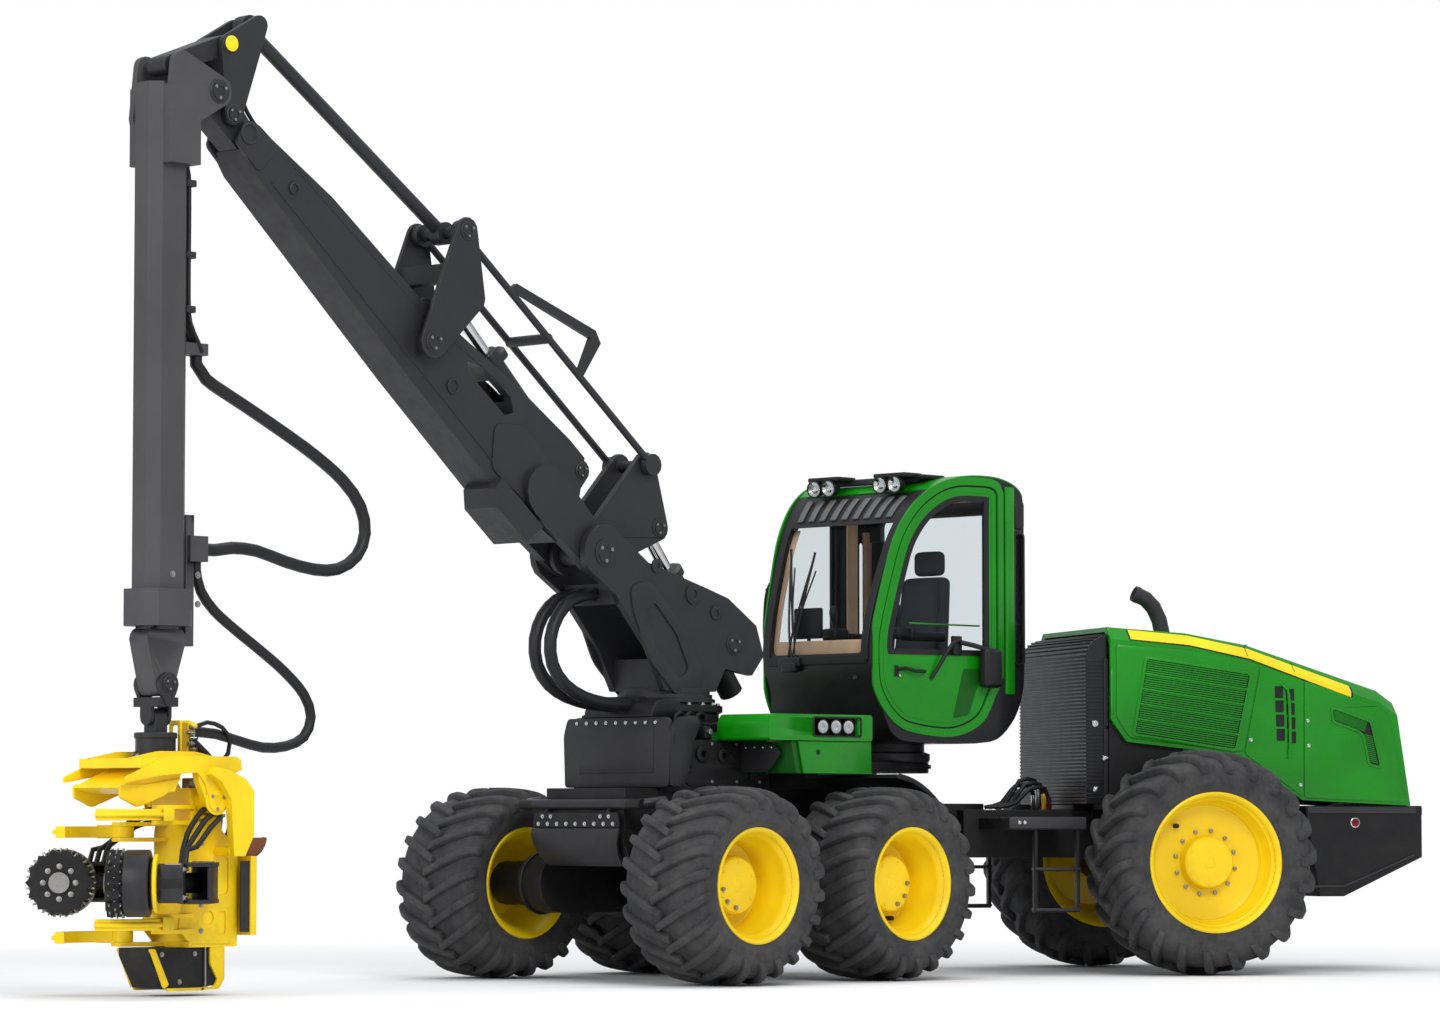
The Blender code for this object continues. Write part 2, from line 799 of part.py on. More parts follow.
SIDES = {"left": 1, "right": -1}
WHEELS = []
for side, sign in SIDES.items():
    for place, x in (("front", BOGIE_HALF), ("middle", -BOGIE_HALF)):
        WHEELS.append((f"{place}_{side}", "machine", x, sign * FRONT_TRACK_HALF, FRONT_TYRE_R))
    WHEELS.append((f"rear_{side}", "rear", -REAR_AXLE_BACK, sign * REAR_TRACK_HALF, REAR_TYRE_R))
for name, space, x, y, radius in WHEELS:
    add_frame("wheel_" + name, space, (x, y, radius), space)

CRANE_FRAMES = (
    # name, parent, pin
    ("crank", "pillar", BOOM_PIVOT),
    ("boom", "crank", BOOM_PIVOT),
    ("rocker", "boom", ROCKER_FOOT),
    ("struts", "rocker", ROCKER_TOP),
    ("long_rod", "rocker", ROCKER_TOP),
    ("tip_crank", "boom", TIP_FOOT),
    ("tip_link", "tip_crank", TIP_LINK),
    ("jib_barrel", "boom", JIB_FOOT),
    ("jib_rod", "jib_barrel", JIB_FOOT),
    ("lift_barrel", "pillar", LIFT_FOOT),
    ("lift_rod", "lift_barrel", LIFT_FOOT),
    ("stick", "boom", BOOM_TIP),
    ("telescope", "stick", TIP_PIN),
    ("knuckle", "telescope", TIP_PIN),
)
add_frame("pillar", "machine", (SLEW_X, 0.0, SLEW_BASE_HIGH))
for name, parent, pin in CRANE_FRAMES:
    add_frame(name, parent, at(pin))
add_frame("rotator", "knuckle", (KNUCKLE_X, 0.0, SWING_PIN_Z))
add_frame("yoke", "rotator", (KNUCKLE_X, 0.0, ROTATOR_LOW))
add_frame("head", "yoke", (HEAD_TILT_X, 0.0, HEAD_TILT_Z))
add_frame("cab", "machine", (CAB_X, 0.0, CAB_LOW))
add_frame("hood", "rear", (HOOD_END, 0.0, HOOD_LOW), "rear")


# Wheels

def tyre(name, frame, centre, sign, radius, width, rim_r, lug, pairs):
    """A tyre ring whose staggered lugs are drawn out of the tread."""
    body_r = radius - lug
    half = width / 2
    profile_shares = (
        # half width share, share of the way from rim to tread
        (BEAD_SHARE, 0.0), (BEAD_SHARE, 0.14), (1.0, 0.50), (0.94, 0.90), (0.47, 0.985), (0.0, 1.0),
    )
    left_side = [(half * a, rim_r + (body_r - rim_r) * b) for a, b in profile_shares]
    ring = left_side + [(-a, r) for a, r in reversed(left_side[:-1])]
    bm = bmesh.new()
    points = [bm.verts.new((r, a, 0.0)) for a, r in ring]
    edges = [bm.edges.new((points[i], points[(i + 1) % len(points)])) for i in range(len(points))]
    steps = pairs * 2
    bmesh.ops.spin(bm, geom=points + edges, cent=(0, 0, 0), axis=(0, 1, 0), angle=2 * pi, steps=steps,
                   use_merge=True)
    bmesh.ops.remove_doubles(bm, verts=bm.verts, dist=MERGE)
    skew = 2 * pi / steps
    for vert in bm.verts:
        reach = hypot(vert.co.x, vert.co.z)
        if reach > rim_r + (body_r - rim_r) * SKEW_SHARE:
            turn = Matrix.Rotation(skew * sign * abs(vert.co.y) / half, 4, "Y")
            vert.co = turn @ vert.co
    tread = rim_r + (body_r - rim_r) * TREAD_SHARE
    for side_sign, odd in ((1, 0), (-1, 1)):
        chosen = []
        for face in bm.faces:
            middle = face.calc_center_median()
            if middle.y * side_sign <= 0 or hypot(middle.x, middle.z) < tread:
                continue
            angle = atan2(middle.z, middle.x) + skew * sign * abs(middle.y) / half
            if int(angle / (2 * pi) * steps + steps * 2) % 2 == odd:
                chosen.append(face)
        drawn = bmesh.ops.extrude_face_region(bm, geom=chosen)
        bmesh.ops.delete(bm, geom=chosen, context="FACES")
        for vert in (v for v in drawn["geom"] if isinstance(v, bmesh.types.BMVert)):
            reach = hypot(vert.co.x, vert.co.z)
            grow = radius / reach
            vert.co.x *= grow
            vert.co.z *= grow
            if abs(vert.co.y) < lug:
                vert.co.y = side_sign * lug / 2
    bmesh.ops.translate(bm, vec=centre, verts=bm.verts)
    return from_bmesh(name, bm, frame, "tyre")


def rim(name, frame, centre, sign, rim_r, width, dish, hub_r, tyre_steps):
    """A dished wheel disc with its barrel and hub, open towards the outside."""
    barrel_r = rim_r * cos(pi / tyre_steps) - SEAT_GAP
    half = width / 2 * BEAD_SHARE
    wall = RIM_WALL
    lip = RIM_LIP
    slope_r = barrel_r * DISH_SHARE
    profile = [
        (0.0, dish + HUB_RISE), (hub_r - HUB_BEVEL, dish + HUB_RISE), (hub_r, dish + HUB_RISE - HUB_BEVEL),
        (hub_r, dish + wall),
        (slope_r, dish + wall), (barrel_r - 2 * wall, half + SEAT_GAP + wall),
        (barrel_r + lip, half + SEAT_GAP + wall), (barrel_r + lip, half + SEAT_GAP),
        (barrel_r, half + SEAT_GAP), (barrel_r, -half - SEAT_GAP), (barrel_r + lip, -half - SEAT_GAP),
        (barrel_r + lip, -half - SEAT_GAP - wall), (barrel_r - 2 * wall, -half - SEAT_GAP - wall),
        (slope_r, dish), (0.0, dish),
    ]
    return turned(name, profile, centre, (0, sign, 0), frame, "yellow")


def build_wheels():
    for name, space, x, y, radius in WHEELS:
        sign = 1 if y > 0 else -1
        rear = space == "rear"
        sizes = (REAR_TYRE_W, REAR_RIM_R, REAR_LUG, REAR_LUG_PAIRS) if rear else (
            FRONT_TYRE_W, FRONT_RIM_R, FRONT_LUG, FRONT_LUG_PAIRS)
        width, rim_r, lug, pairs = sizes
        centre = (x, y, radius)
        tyre("tyre_" + name, "wheel_" + name, centre, sign, radius, width, rim_r, lug, pairs)
        rim("rim_" + name, "wheel_" + name, centre, sign, rim_r, width, RIM_DISH, HUB_R, pairs * 2)


def build_running_gear():
    wheel_z = FRONT_TYRE_R
    disc_y = FRONT_TRACK_HALF + RIM_DISH - SEAT_GAP
    axle = rod("front_axle", (0, -BOGIE_IN_Y - OVERRUN, wheel_z), (0, BOGIE_IN_Y + OVERRUN, wheel_z),
               REAR_AXLE_R, "machine", "black")
    for side, sign in SIDES.items():
        inner, outer = sign * BOGIE_IN_Y, sign * (BOGIE_IN_Y + BOGIE_W)
        low, high = min(inner, outer), max(inner, outer)
        front, back = (BOGIE_HALF, wheel_z), (-BOGIE_HALF, wheel_z)
        bogie = plate("bogie_" + side, bar(back, front, BOGIE_END_R, BOGIE_END_R), low, high, "machine",
                      "black")
        middle = rod(f"bogie_{side}_middle", (0, inner, wheel_z), (0, outer, wheel_z), BOGIE_MID_R,
                     "machine", "black")
        fuse(axle, bogie, middle)
        for place, x in (("front", BOGIE_HALF), ("back", -BOGIE_HALF)):
            fuse(axle, rod(f"bogie_{side}_{place}_stub", (x, outer - sign * OVERRUN, wheel_z),
                           (x, sign * disc_y, wheel_z), HUB_R, "machine", "black"))
    case = rod("front_axle_case", (0, -DIFF_W / 2, wheel_z), (0, DIFF_W / 2, wheel_z), DIFF_R,
               "machine", "black")
    saddle = block("front_axle_saddle", (-DIFF_R / 2, -FRAME_HALF_W, wheel_z),
                   (DIFF_R / 2, FRAME_HALF_W, FRAME_LOW - SEAT_GAP), "machine", "black")
    fuse(axle, case, saddle)

    rear_z = REAR_TYRE_R
    rear_disc = REAR_TRACK_HALF + RIM_DISH - SEAT_GAP
    rear_axle = rod("rear_axle", (-REAR_AXLE_BACK, -rear_disc, rear_z), (-REAR_AXLE_BACK, rear_disc, rear_z),
                    REAR_AXLE_R, "rear", "black")
    rear_case = rod("rear_axle_case", (-REAR_AXLE_BACK, -DIFF_W / 2, rear_z),
                    (-REAR_AXLE_BACK, DIFF_W / 2, rear_z), DIFF_R, "rear", "black")
    rear_cut = block("rear_axle_clear",
                     (-REAR_AXLE_BACK - DIFF_R * 2, -DIFF_W - OVERRUN, REAR_FRAME_LOW - SEAT_GAP),
                     (-REAR_AXLE_BACK + DIFF_R * 2, DIFF_W + OVERRUN, REAR_FRAME_HIGH), "rear", "black")
    fuse(rear_axle, rear_case)
    cut(rear_axle, rear_cut)


# Front frame, covers and middle joint

def build_front_frame():
    frame = block("front_frame", (FRAME_TAIL_X, -FRAME_HALF_W, FRAME_LOW),
                  (FRAME_NOSE_X, FRAME_HALF_W, FRAME_HIGH), "machine", "black")
    tower = block("crane_box", (CRANE_BOX_BACK, -CRANE_BOX_HALF_W, FRAME_HIGH - OVERRUN),
                  (CRANE_BOX_FRONT, CRANE_BOX_HALF_W, CRANE_BOX_HIGH), "machine", "black")
    fuse(frame, tower)
    eye = bar((FRAME_TAIL_X + JOINT_EYE_R, 0), (JOINT_X, 0), FRAME_HALF_W, JOINT_EYE_R)
    for label, low in (("lower", JOINT_LOW), ("upper", JOINT_HIGH - JOINT_PLATE)):
        fuse(frame, plate("joint_" + label, eye, low, low + JOINT_PLATE, "machine", "black", across="Z"))
    web = block("joint_web", (FRAME_TAIL_X - OVERRUN, -FRAME_HALF_W / 2, JOINT_LOW + OVERRUN),
                (FRAME_TAIL_X + FRAME_HALF_W, FRAME_HALF_W / 2, FRAME_HIGH - OVERRUN), "machine", "black")
    pin = plate("joint_pin", circle((JOINT_X, 0), JOINT_PIN_R, shift_share=0.5), JOINT_LOW + OVERRUN,
                JOINT_HIGH - OVERRUN, "machine", "black", across="Z")
    fuse(frame, web, pin)
    base = rod("crane_base", (SLEW_X, 0, CRANE_BOX_HIGH - OVERRUN), (SLEW_X, 0, SLEW_BASE_HIGH - SEAT_GAP),
               SLEW_BASE_R, "machine", "black")
    bumper = rod("front_bumper", (BUMPER_X, -BUMPER_HALF_W, BUMPER_Z), (BUMPER_X, BUMPER_HALF_W, BUMPER_Z),
                 BUMPER_R, "machine", "black")
    mount = block("bumper_mount", (FRAME_NOSE_X - OVERRUN, -SKID_HALF_W + OVERRUN, FRAME_LOW + OVERRUN),
                  (BUMPER_X, SKID_HALF_W - OVERRUN, BUMPER_Z - BUMPER_R / 2), "machine", "black")
    skid_outline = [(SKID_BACK_X, FRAME_LOW + OVERRUN / 2), (SKID_BACK_X, SKID_LOW),
                    (FRAME_NOSE_X, SKID_LOW),
                    (SKID_FRONT_X, FRAME_LOW + PLATE), (SKID_FRONT_X - PLATE, FRAME_LOW + PLATE * 3)]
    skid = plate("skid_plate", skid_outline, -SKID_HALF_W, SKID_HALF_W, "machine", "black")
    fuse(frame, skid)
    wheel = (-BOGIE_HALF, FRONT_TYRE_R)
    arch = (arc(wheel, FENDER_R, FENDER_START_DEG, FENDER_END_DEG, FENDER_STEPS)
            + arc(wheel, FENDER_R - PLATE, FENDER_END_DEG, FENDER_START_DEG, FENDER_STEPS))
    for side, sign in SIDES.items():
        low, high = sorted((sign * (FRAME_HALF_W - OVERRUN), sign * FENDER_OUT_Y))
        fuse(frame, plate("fender_" + side, arch, low, high, "machine", "black"))
    pedestal = plate("cab_pedestal", around(((CAB_X, 0), PEDESTAL_R), ((FRAME_TAIL_X + PEDESTAL_R, 0),
                                                                       PEDESTAL_R)),
                     PEDESTAL_LOW, PEDESTAL_LOW + PLATE * 3, "machine", "black", across="Z")
    leg = block("pedestal_leg", (FRAME_TAIL_X + OVERRUN, -PEDESTAL_R, FRAME_HIGH - OVERRUN),
                (FRAME_TAIL_X + PEDESTAL_R / 2 * 3, PEDESTAL_R, PEDESTAL_LOW + OVERRUN), "machine",
                "black")
    manifold = block("hose_manifold", (MANIFOLD_BACK_X, -MANIFOLD_HALF_W, CRANE_BOX_HIGH - OVERRUN),
                     (MANIFOLD_FRONT_X, MANIFOLD_HALF_W, MANIFOLD_HIGH), "machine", "black")
    return fuse(frame, base, bumper, mount, leg, pedestal, manifold)


def build_front_covers():
    shield_outline = [(CRANE_BOX_FRONT + SEAT_GAP, SHIELD_LOW), (SHIELD_X, SHIELD_LOW),
                      (SHIELD_X, SHIELD_HIGH), (CRANE_BOX_FRONT + SEAT_GAP, SHIELD_HIGH)]
    plate("crane_shield", shield_outline, -SHIELD_HALF_W, SHIELD_HALF_W, "machine", "black")
    cover_outline = [(COVER_BACK_X, COVER_LOW), (COVER_STEP_X, COVER_LOW), (COVER_STEP_X, COVER_STEP_Z),
                     (COVER_FRONT_X, COVER_STEP_Z), (COVER_FRONT_X, COVER_TOP), (COVER_BACK_X, COVER_TOP)]
    for side, sign in SIDES.items():
        low, high = sorted((sign * COVER_IN_Y, sign * COVER_OUT_Y))
        plate("deck_cover_" + side, cover_outline, low, high, "machine", "green")


# Rear body

hood_skirt_shares = (
    # from the tail to the front, from the lower edge to the top
    (0.0, 0.0), (0.368, 0.031), (0.576, 0.283), (0.948, 0.354), (1.0, 0.480),
)
hood_crown_shares = (
    (1.0, 1.0), (0.740, 0.969), (0.541, 0.906), (0.104, 0.654), (0.048, 0.583), (0.0, 0.0),
)

exhaust_shares = ((0.0, 0.0), (0.1, 0.5), (0.48, 0.84), (1.0, 1.0))


def hood_places(shares):
    return [(HOOD_END + a * (HOOD_FRONT - HOOD_END), HOOD_LOW + b * (HOOD_TOP - HOOD_LOW)) for a,
            b in shares]


def hood_body(name, crown, depth):
    """The hood's form with chamfered upper edges, moved in by a depth at its top, sides and tail."""
    points = []
    half = HOOD_HALF_W - depth
    for x, z in crown + [(HOOD_END, FRAME_LOW)]:
        place = max(x, HOOD_END + depth) if x < HOOD_FRONT else HOOD_FRONT + OVERRUN
        points += [(place, sign * half, z - depth - HOOD_EDGE) for sign in (1, -1)]
        points += [(place, sign * (half - HOOD_EDGE), z - depth) for sign in (1, -1)]
    points += [(HOOD_FRONT + OVERRUN, sign * half, FRAME_LOW) for sign in (1, -1)]
    points += [(HOOD_END + depth, sign * half, FRAME_LOW) for sign in (1, -1)]
    return hull(name, points, "hood", "green")


def build_rear_body():
    frame = block("rear_frame", (REAR_FRAME_END, -REAR_FRAME_HALF_W, REAR_FRAME_LOW),
                  (-JOINT_EYE_R * 2 - JOINT_ROOM, REAR_FRAME_HALF_W, REAR_FRAME_HIGH), "rear", "black")
    low = JOINT_LOW + JOINT_PLATE + SEAT_GAP
    high = JOINT_HIGH - JOINT_PLATE - RUNNING_GAP
    eye = plate("rear_joint_eye", bar((-JOINT_EYE_R * 2 - JOINT_ROOM * 2, 0), (0, 0), JOINT_EYE_R,
                                      JOINT_EYE_R), low, high,
                "rear", "black", holes=[bore((0, 0), JOINT_PIN_R)], across="Z")
    fuse(frame, eye)
    block("engine_block", (ENGINE_BACK, -ENGINE_HALF_W, REAR_FRAME_HIGH + SEAT_GAP),
          (ENGINE_FRONT, ENGINE_HALF_W, ENGINE_HIGH), "rear", "engine")
    intake = [(INTAKE_FRONT - INTAKE_DEPTH, INTAKE_LOW), (INTAKE_FRONT, INTAKE_LOW),
              *arc((INTAKE_FRONT - INTAKE_DEPTH, INTAKE_HIGH - INTAKE_DEPTH), INTAKE_DEPTH, 0.0, 90.0, 5)]
    body = plate("radiator_intake", intake, -INTAKE_HALF_W, INTAKE_HALF_W, "rear", "black")
    foot = block("radiator_foot",
                 (INTAKE_FRONT - INTAKE_DEPTH, -REAR_FRAME_HALF_W, REAR_FRAME_HIGH + SEAT_GAP),
                 (INTAKE_FRONT - OVERRUN, REAR_FRAME_HALF_W, INTAKE_LOW + OVERRUN), "rear", "black")
    fuse(body, foot)
    crown = hood_places(hood_crown_shares)
    hood = plate("hood", hood_places(hood_skirt_shares) + crown, -HOOD_HALF_W, HOOD_HALF_W, "hood", "green")
    keep(hood, hood_body("hood_edges", crown, 0.0))
    cut(hood, hood_body("hood_room", crown, HOOD_WALL))
    route = [(EXHAUST_BACK_X + a * (EXHAUST_FRONT_X - EXHAUST_BACK_X), EXHAUST_Y,
              EXHAUST_LOW + b * (EXHAUST_HIGH - EXHAUST_LOW)) for a, b in exhaust_shares]
    exhaust = bent_pipe("exhaust", route, EXHAUST_R, "hood", "black")
    fuse(hood, exhaust)
    tray_top = HOOD_LOW - SEAT_GAP
    tray_outline = [(TRAY_BACK_X, tray_top), (TRAY_BACK_X, REAR_FRAME_LOW), (TRAY_KNEE_X, TRAY_LOW),
                    (TRAY_TOE_X, TRAY_LOW), (TRAY_FRONT_X, tray_top)]
    tray = plate("rear_tray", tray_outline, -TRAY_HALF_W, TRAY_HALF_W, "rear", "black")
    fuse(frame, tray)
    for side, sign in SIDES.items():
        deck_low, deck_high = sorted((sign * (REAR_FRAME_HALF_W - OVERRUN), sign * DECK_OUT_Y))
        fuse(frame, block("side_deck_" + side, (DECK_BACK_X, deck_low, DECK_LOW),
                          (DECK_FRONT_X, deck_high, DECK_HIGH),
                          "rear", "black"))
        inner, outer = sign * (REAR_FRAME_HALF_W - OVERRUN), sign * SIDE_PANEL_Y
        wall = outer - sign * SIDE_PANEL_THICK
        section = [(inner, SIDE_PANEL_LOW), (outer, SIDE_PANEL_LOW), (outer, SIDE_PANEL_HIGH),
                   (wall, SIDE_PANEL_HIGH), (wall, SIDE_PANEL_LOW + SIDE_PANEL_THICK),
                   (inner, SIDE_PANEL_LOW + SIDE_PANEL_THICK)]
        fuse(frame, plate("side_panel_" + side, section, SIDE_PANEL_BACK_X, SIDE_PANEL_FRONT_X, "rear",
                          "black",
                          across="X"))
        ladder = [(LADDER_BACK_X, LADDER_LOW), (LADDER_FRONT_X, LADDER_LOW),
                  (LADDER_FRONT_X, DECK_LOW + OVERRUN),
                  (LADDER_BACK_X, DECK_LOW + OVERRUN)]
        steps = []
        rise = (DECK_LOW - LADDER_LOW) / LADDER_STEPS
        for i in range(LADDER_STEPS):
            low = LADDER_LOW + rise * i + PLATE
            steps.append([(LADDER_BACK_X + PLATE, low), (LADDER_FRONT_X - PLATE, low),
                          (LADDER_FRONT_X - PLATE, low + rise - PLATE),
                          (LADDER_BACK_X + PLATE, low + rise - PLATE)])
        low, high = sorted((sign * (DECK_OUT_Y - PLATE), sign * (DECK_OUT_Y - PLATE * 3)))
        fuse(frame, plate("ladder_" + side, ladder, low, high, "rear", "black", steps))


# Crane


pillar_shares = (
    # forward of the slewing axis, above the base: shares of the boom pivot's place
    (-0.27, 0.0), (0.32, 0.0), (0.51, 0.37), (0.88, 0.72),
)
pillar_back_shares = (
    (0.51, 0.95), (-0.18, 0.79), (-0.42, 0.73), (-0.75, 0.55), (-0.84, 0.34), (-0.70, 0.20), (-0.38, 0.24),
)
boom_shares = (
    # along the boom, square to it: shares of the boom's length
    (0.070, -0.040), (0.21, -0.062), (0.46, -0.056), (0.87, -0.036), (0.908, -0.024),
    (0.908, 0.022), (0.74, 0.044), (0.50, 0.052), (0.44, 0.064), (0.29, 0.088), (0.15, 0.102),
               (0.085, 0.102),
)
boom_window_shares = (
    (0.275, 0.036), (0.375, 0.034), (0.385, 0.046), (0.355, 0.062), (0.285, 0.066), (0.265, 0.052),
)


def around(*lobes):
    """The outline that wraps discs, given as (pin, radius), as a belt would."""
    points = [Vector(point) for pin, radius in lobes for point in circle(pin, radius)]
    return [tuple(points[i]) for i in convex_hull_2d(points)]


def eye(name, pin, radius, low, high, pin_radius, frame, finish="crane"):
    """A round eye plate, bored for a pin of this radius if it has one."""
    holes = [bore(pin, pin_radius)] if pin_radius else ()
    return plate(name, circle(pin, radius), low, high, frame, finish, holes)


def build_pillar():
    reach = BOOM_PIVOT_X - SLEW_X
    rise = BOOM_PIVOT_Z - SLEW_BASE_HIGH
    low = SLEW_BASE_HIGH + PILLAR_FOOT_H - OVERRUN
    front = [(SLEW_X + a * reach, max(low, SLEW_BASE_HIGH + b * rise)) for a, b in pillar_shares]
    back = [(SLEW_X + a * reach, SLEW_BASE_HIGH + b * rise) for a, b in pillar_back_shares]
    outline = front + arc(BOOM_PIVOT, BOOM_EAR_R, EAR_START_DEG, EAR_END_DEG, EAR_STEPS) + back
    left, right = pair("pillar", outline, PILLAR_IN_Y, PILLAR_OUT_Y, "pillar",
                       holes=[bore(LIFT_FOOT, TRUNNION_R)])
    foot = rod("pillar_foot",
               (SLEW_X, 0, SLEW_BASE_HIGH + SEAT_GAP), (SLEW_X, 0, SLEW_BASE_HIGH + PILLAR_FOOT_H),
               PILLAR_FOOT_R, "pillar", "crane")
    core = block("pillar_core", (SLEW_X + pillar_shares[0][0] * reach / 2, -PILLAR_OUT_Y + OVERRUN, low),
                 (SLEW_X + pillar_shares[1][0] * reach, PILLAR_OUT_Y - OVERRUN, low + rise * CORE_SHARE),
                 "pillar", "crane")
    pin = cross_pin("boom_pivot_pin", BOOM_PIVOT, PILLAR_OUT_Y, BOOM_PIN_R, "pillar")
    hose_bar = block("pillar_hose_bar", (PILLAR_BAR_X - PLATE * 4, -PILLAR_IN_Y - OVERRUN, PILLAR_BAR_LOW),
                     (PILLAR_BAR_X, PILLAR_IN_Y + OVERRUN, PILLAR_BAR_HIGH), "pillar", "crane")
    return fuse(left, foot, core, right, pin, hose_bar)


def build_lift():
    along = (Vector(CRANK_LIFT) - Vector(LIFT_FOOT)).normalized()
    foot = Vector(LIFT_FOOT)
    low, high = foot - along * LIFT_BARREL_DOWN, foot + along * LIFT_BARREL_UP
    barrel = rod("lift_barrel", at(low), at(high), LIFT_BARREL_R, "lift_barrel", "crane")
    stub = cross_pin("lift_trunnion", LIFT_FOOT, PILLAR_IN_Y + PLATE, TRUNNION_R, "lift_barrel")
    inner = bore_rod("lift_bore", at(foot - along * LIFT_BORE_DOWN), at(high + along * OVERRUN), LIFT_ROD_R,
                     "lift_barrel", "crane")
    fuse(barrel, stub)
    cut(barrel, inner)
    lift = rod("lift_rod", at(foot + along * OVERRUN), at(Vector(CRANK_LIFT)), LIFT_ROD_R, "lift_rod",
               "steel")
    fuse(lift, eye("lift_rod_eye", CRANK_LIFT, ROD_EYE_R, -EYE_HALF_W, EYE_HALF_W, 0, "lift_rod"))


def build_crank():
    outline = around((BOOM_PIVOT, CRANK_FOOT_R), (CRANK_LIFT, CRANK_LOBE_R), (CRANK_TOP, CRANK_LOBE_R))
    left, right = pair("bell_crank", outline, CRANK_IN, CRANK_OUT, "crank",
                       holes=[bore(BOOM_PIVOT, BOOM_PIN_R)])
    top = cross_pin("crank_top_tube", CRANK_TOP, CRANK_IN + OVERRUN, PIN_R, "crank")
    fuse(left, top, right)


def build_boom():
    outline = [on_boom(a * BOOM_LEN, b * BOOM_LEN) for a, b in boom_shares]
    boom = plate("main_boom", outline, -BOOM_HALF_W, BOOM_HALF_W, "boom", "crane")
    foot_end = on_boom(BOOM_LEN * FORK_SHARE, 0.0)
    foot_outline = around((BOOM_PIVOT, CRANK_FOOT_R), (foot_end, BOOM_EAR_R))
    left, right = pair("boom_foot", foot_outline, BOOM_HALF_W - OVERRUN, FORK_OUT, "boom",
                       holes=[bore(BOOM_PIVOT, BOOM_PIN_R)])
    room = plate("boom_fork_room", around((BOOM_PIVOT, BOOM_EAR_R), (polar(BOOM_PIVOT, CRANK_LEN,
                                                                           BOOM_DEG + FORK_TURN_DEG),
                 BOOM_EAR_R)), -FORK_IN, FORK_IN, "boom", "crane")
    nose = plate("boom_nose", around((BOOM_TIP, NOSE_R), (TIP_FOOT, NOSE_R), (on_boom(BOOM_LEN * NOSE_SHARE,
                                                                                      0), NOSE_R)),
                 -NOSE_HALF_W, NOSE_HALF_W, "boom", "crane")
    tip_pin = cross_pin("boom_tip_pin", BOOM_TIP, EAR_OUT, PIN_R, "boom")
    crank_pin = cross_pin("tip_foot_pin", TIP_FOOT, TIP_OUT, PIN_R, "boom")
    rocker_pin = cross_pin("rocker_foot_pin", ROCKER_FOOT, ROCKER_OUT, PIN_R, "boom")
    rocker_boss = cross_pin("rocker_foot_boss", ROCKER_FOOT, ROCKER_IN - SEAT_GAP, PIN_R + PLATE, "boom")
    fuse(boom, left, right)
    cut(boom, room)
    jib_lug = plate("jib_lug", around((JIB_FOOT, ROD_EYE_R), (on_boom(JIB_FOOT_ALONG, JIB_LUG_SINK),
                                                              ROD_EYE_R)),
                    -BOOM_HALF_W, BOOM_HALF_W, "boom", "crane")
    jib_room = plate("jib_room", around((JIB_FOOT, ROD_EYE_R + PLATE), (polar(JIB_FOOT, JIB_BARREL_LEN,
                                                                              JIB_DEG),
                                                                        ROD_EYE_R + PLATE * 3)),
                     -JIB_BARREL_R - RUNNING_GAP, JIB_BARREL_R + RUNNING_GAP, "boom", "crane")
    fuse(boom, nose, tip_pin, crank_pin, rocker_boss, rocker_pin, jib_lug)
    cut(boom, jib_room)
    jib_pin = cross_pin("jib_foot_pin", JIB_FOOT, JIB_BARREL_R + OVERRUN * 2, PIN_R, "boom")
    window = [on_boom(a * BOOM_LEN, b * BOOM_LEN) for a, b in boom_window_shares]
    cut(boom, plate("boom_window", window, -BOOM_HALF_W - OVERRUN, BOOM_HALF_W + OVERRUN, "boom", "crane"))
    edge = (LAMP_BOX_UP - LAMP_BOX_DOWN) / 2
    lamp_outline = [on_boom(LAMP_BOX_START, LAMP_BOX_UP), on_boom(LAMP_BOX_START + edge / 2,
                                                                  LAMP_BOX_DOWN),
                    on_boom(LAMP_BOX_END - edge, LAMP_BOX_DOWN), on_boom(LAMP_BOX_END, LAMP_BOX_DOWN + edge),
                    on_boom(LAMP_BOX_END, LAMP_BOX_UP)]
    lamp = plate("boom_lamp_box", lamp_outline, LAMP_BOX_RIGHT_Y, LAMP_BOX_LEFT_Y, "boom", "crane")
    fuse(boom, jib_pin, lamp)


def build_rocker():
    outline = around((ROCKER_FOOT, ROCKER_FOOT_R), (ROCKER_TOP, ROCKER_LOBE_R), (ROCKER_EYE, ROCKER_LOBE_R))
    left, right = pair("rocker", outline, ROCKER_IN, ROCKER_OUT, "rocker",
                       holes=[bore(ROCKER_FOOT, PIN_R)])
    middle = between(ROCKER_FOOT, ROCKER_TOP, ROCKER_TUBE_SHARE)
    half = ROCKER_TUBE / 2
    tube = block("rocker_tube", (middle[0] - half, -ROCKER_IN - PLATE / 2, middle[1] - half),
                 (middle[0] + half, ROCKER_IN + PLATE / 2, middle[1] + half), "rocker", "crane")
    pin = cross_pin("rocker_top_pin", ROCKER_TOP, ROCKER_IN + PLATE / 2, PIN_R, "rocker")
    fuse(left, tube, right, pin)

guard_shares = (0.24, 0.25, 0.57, 0.61, 0.62, 0.60, 0.57, 0.28)


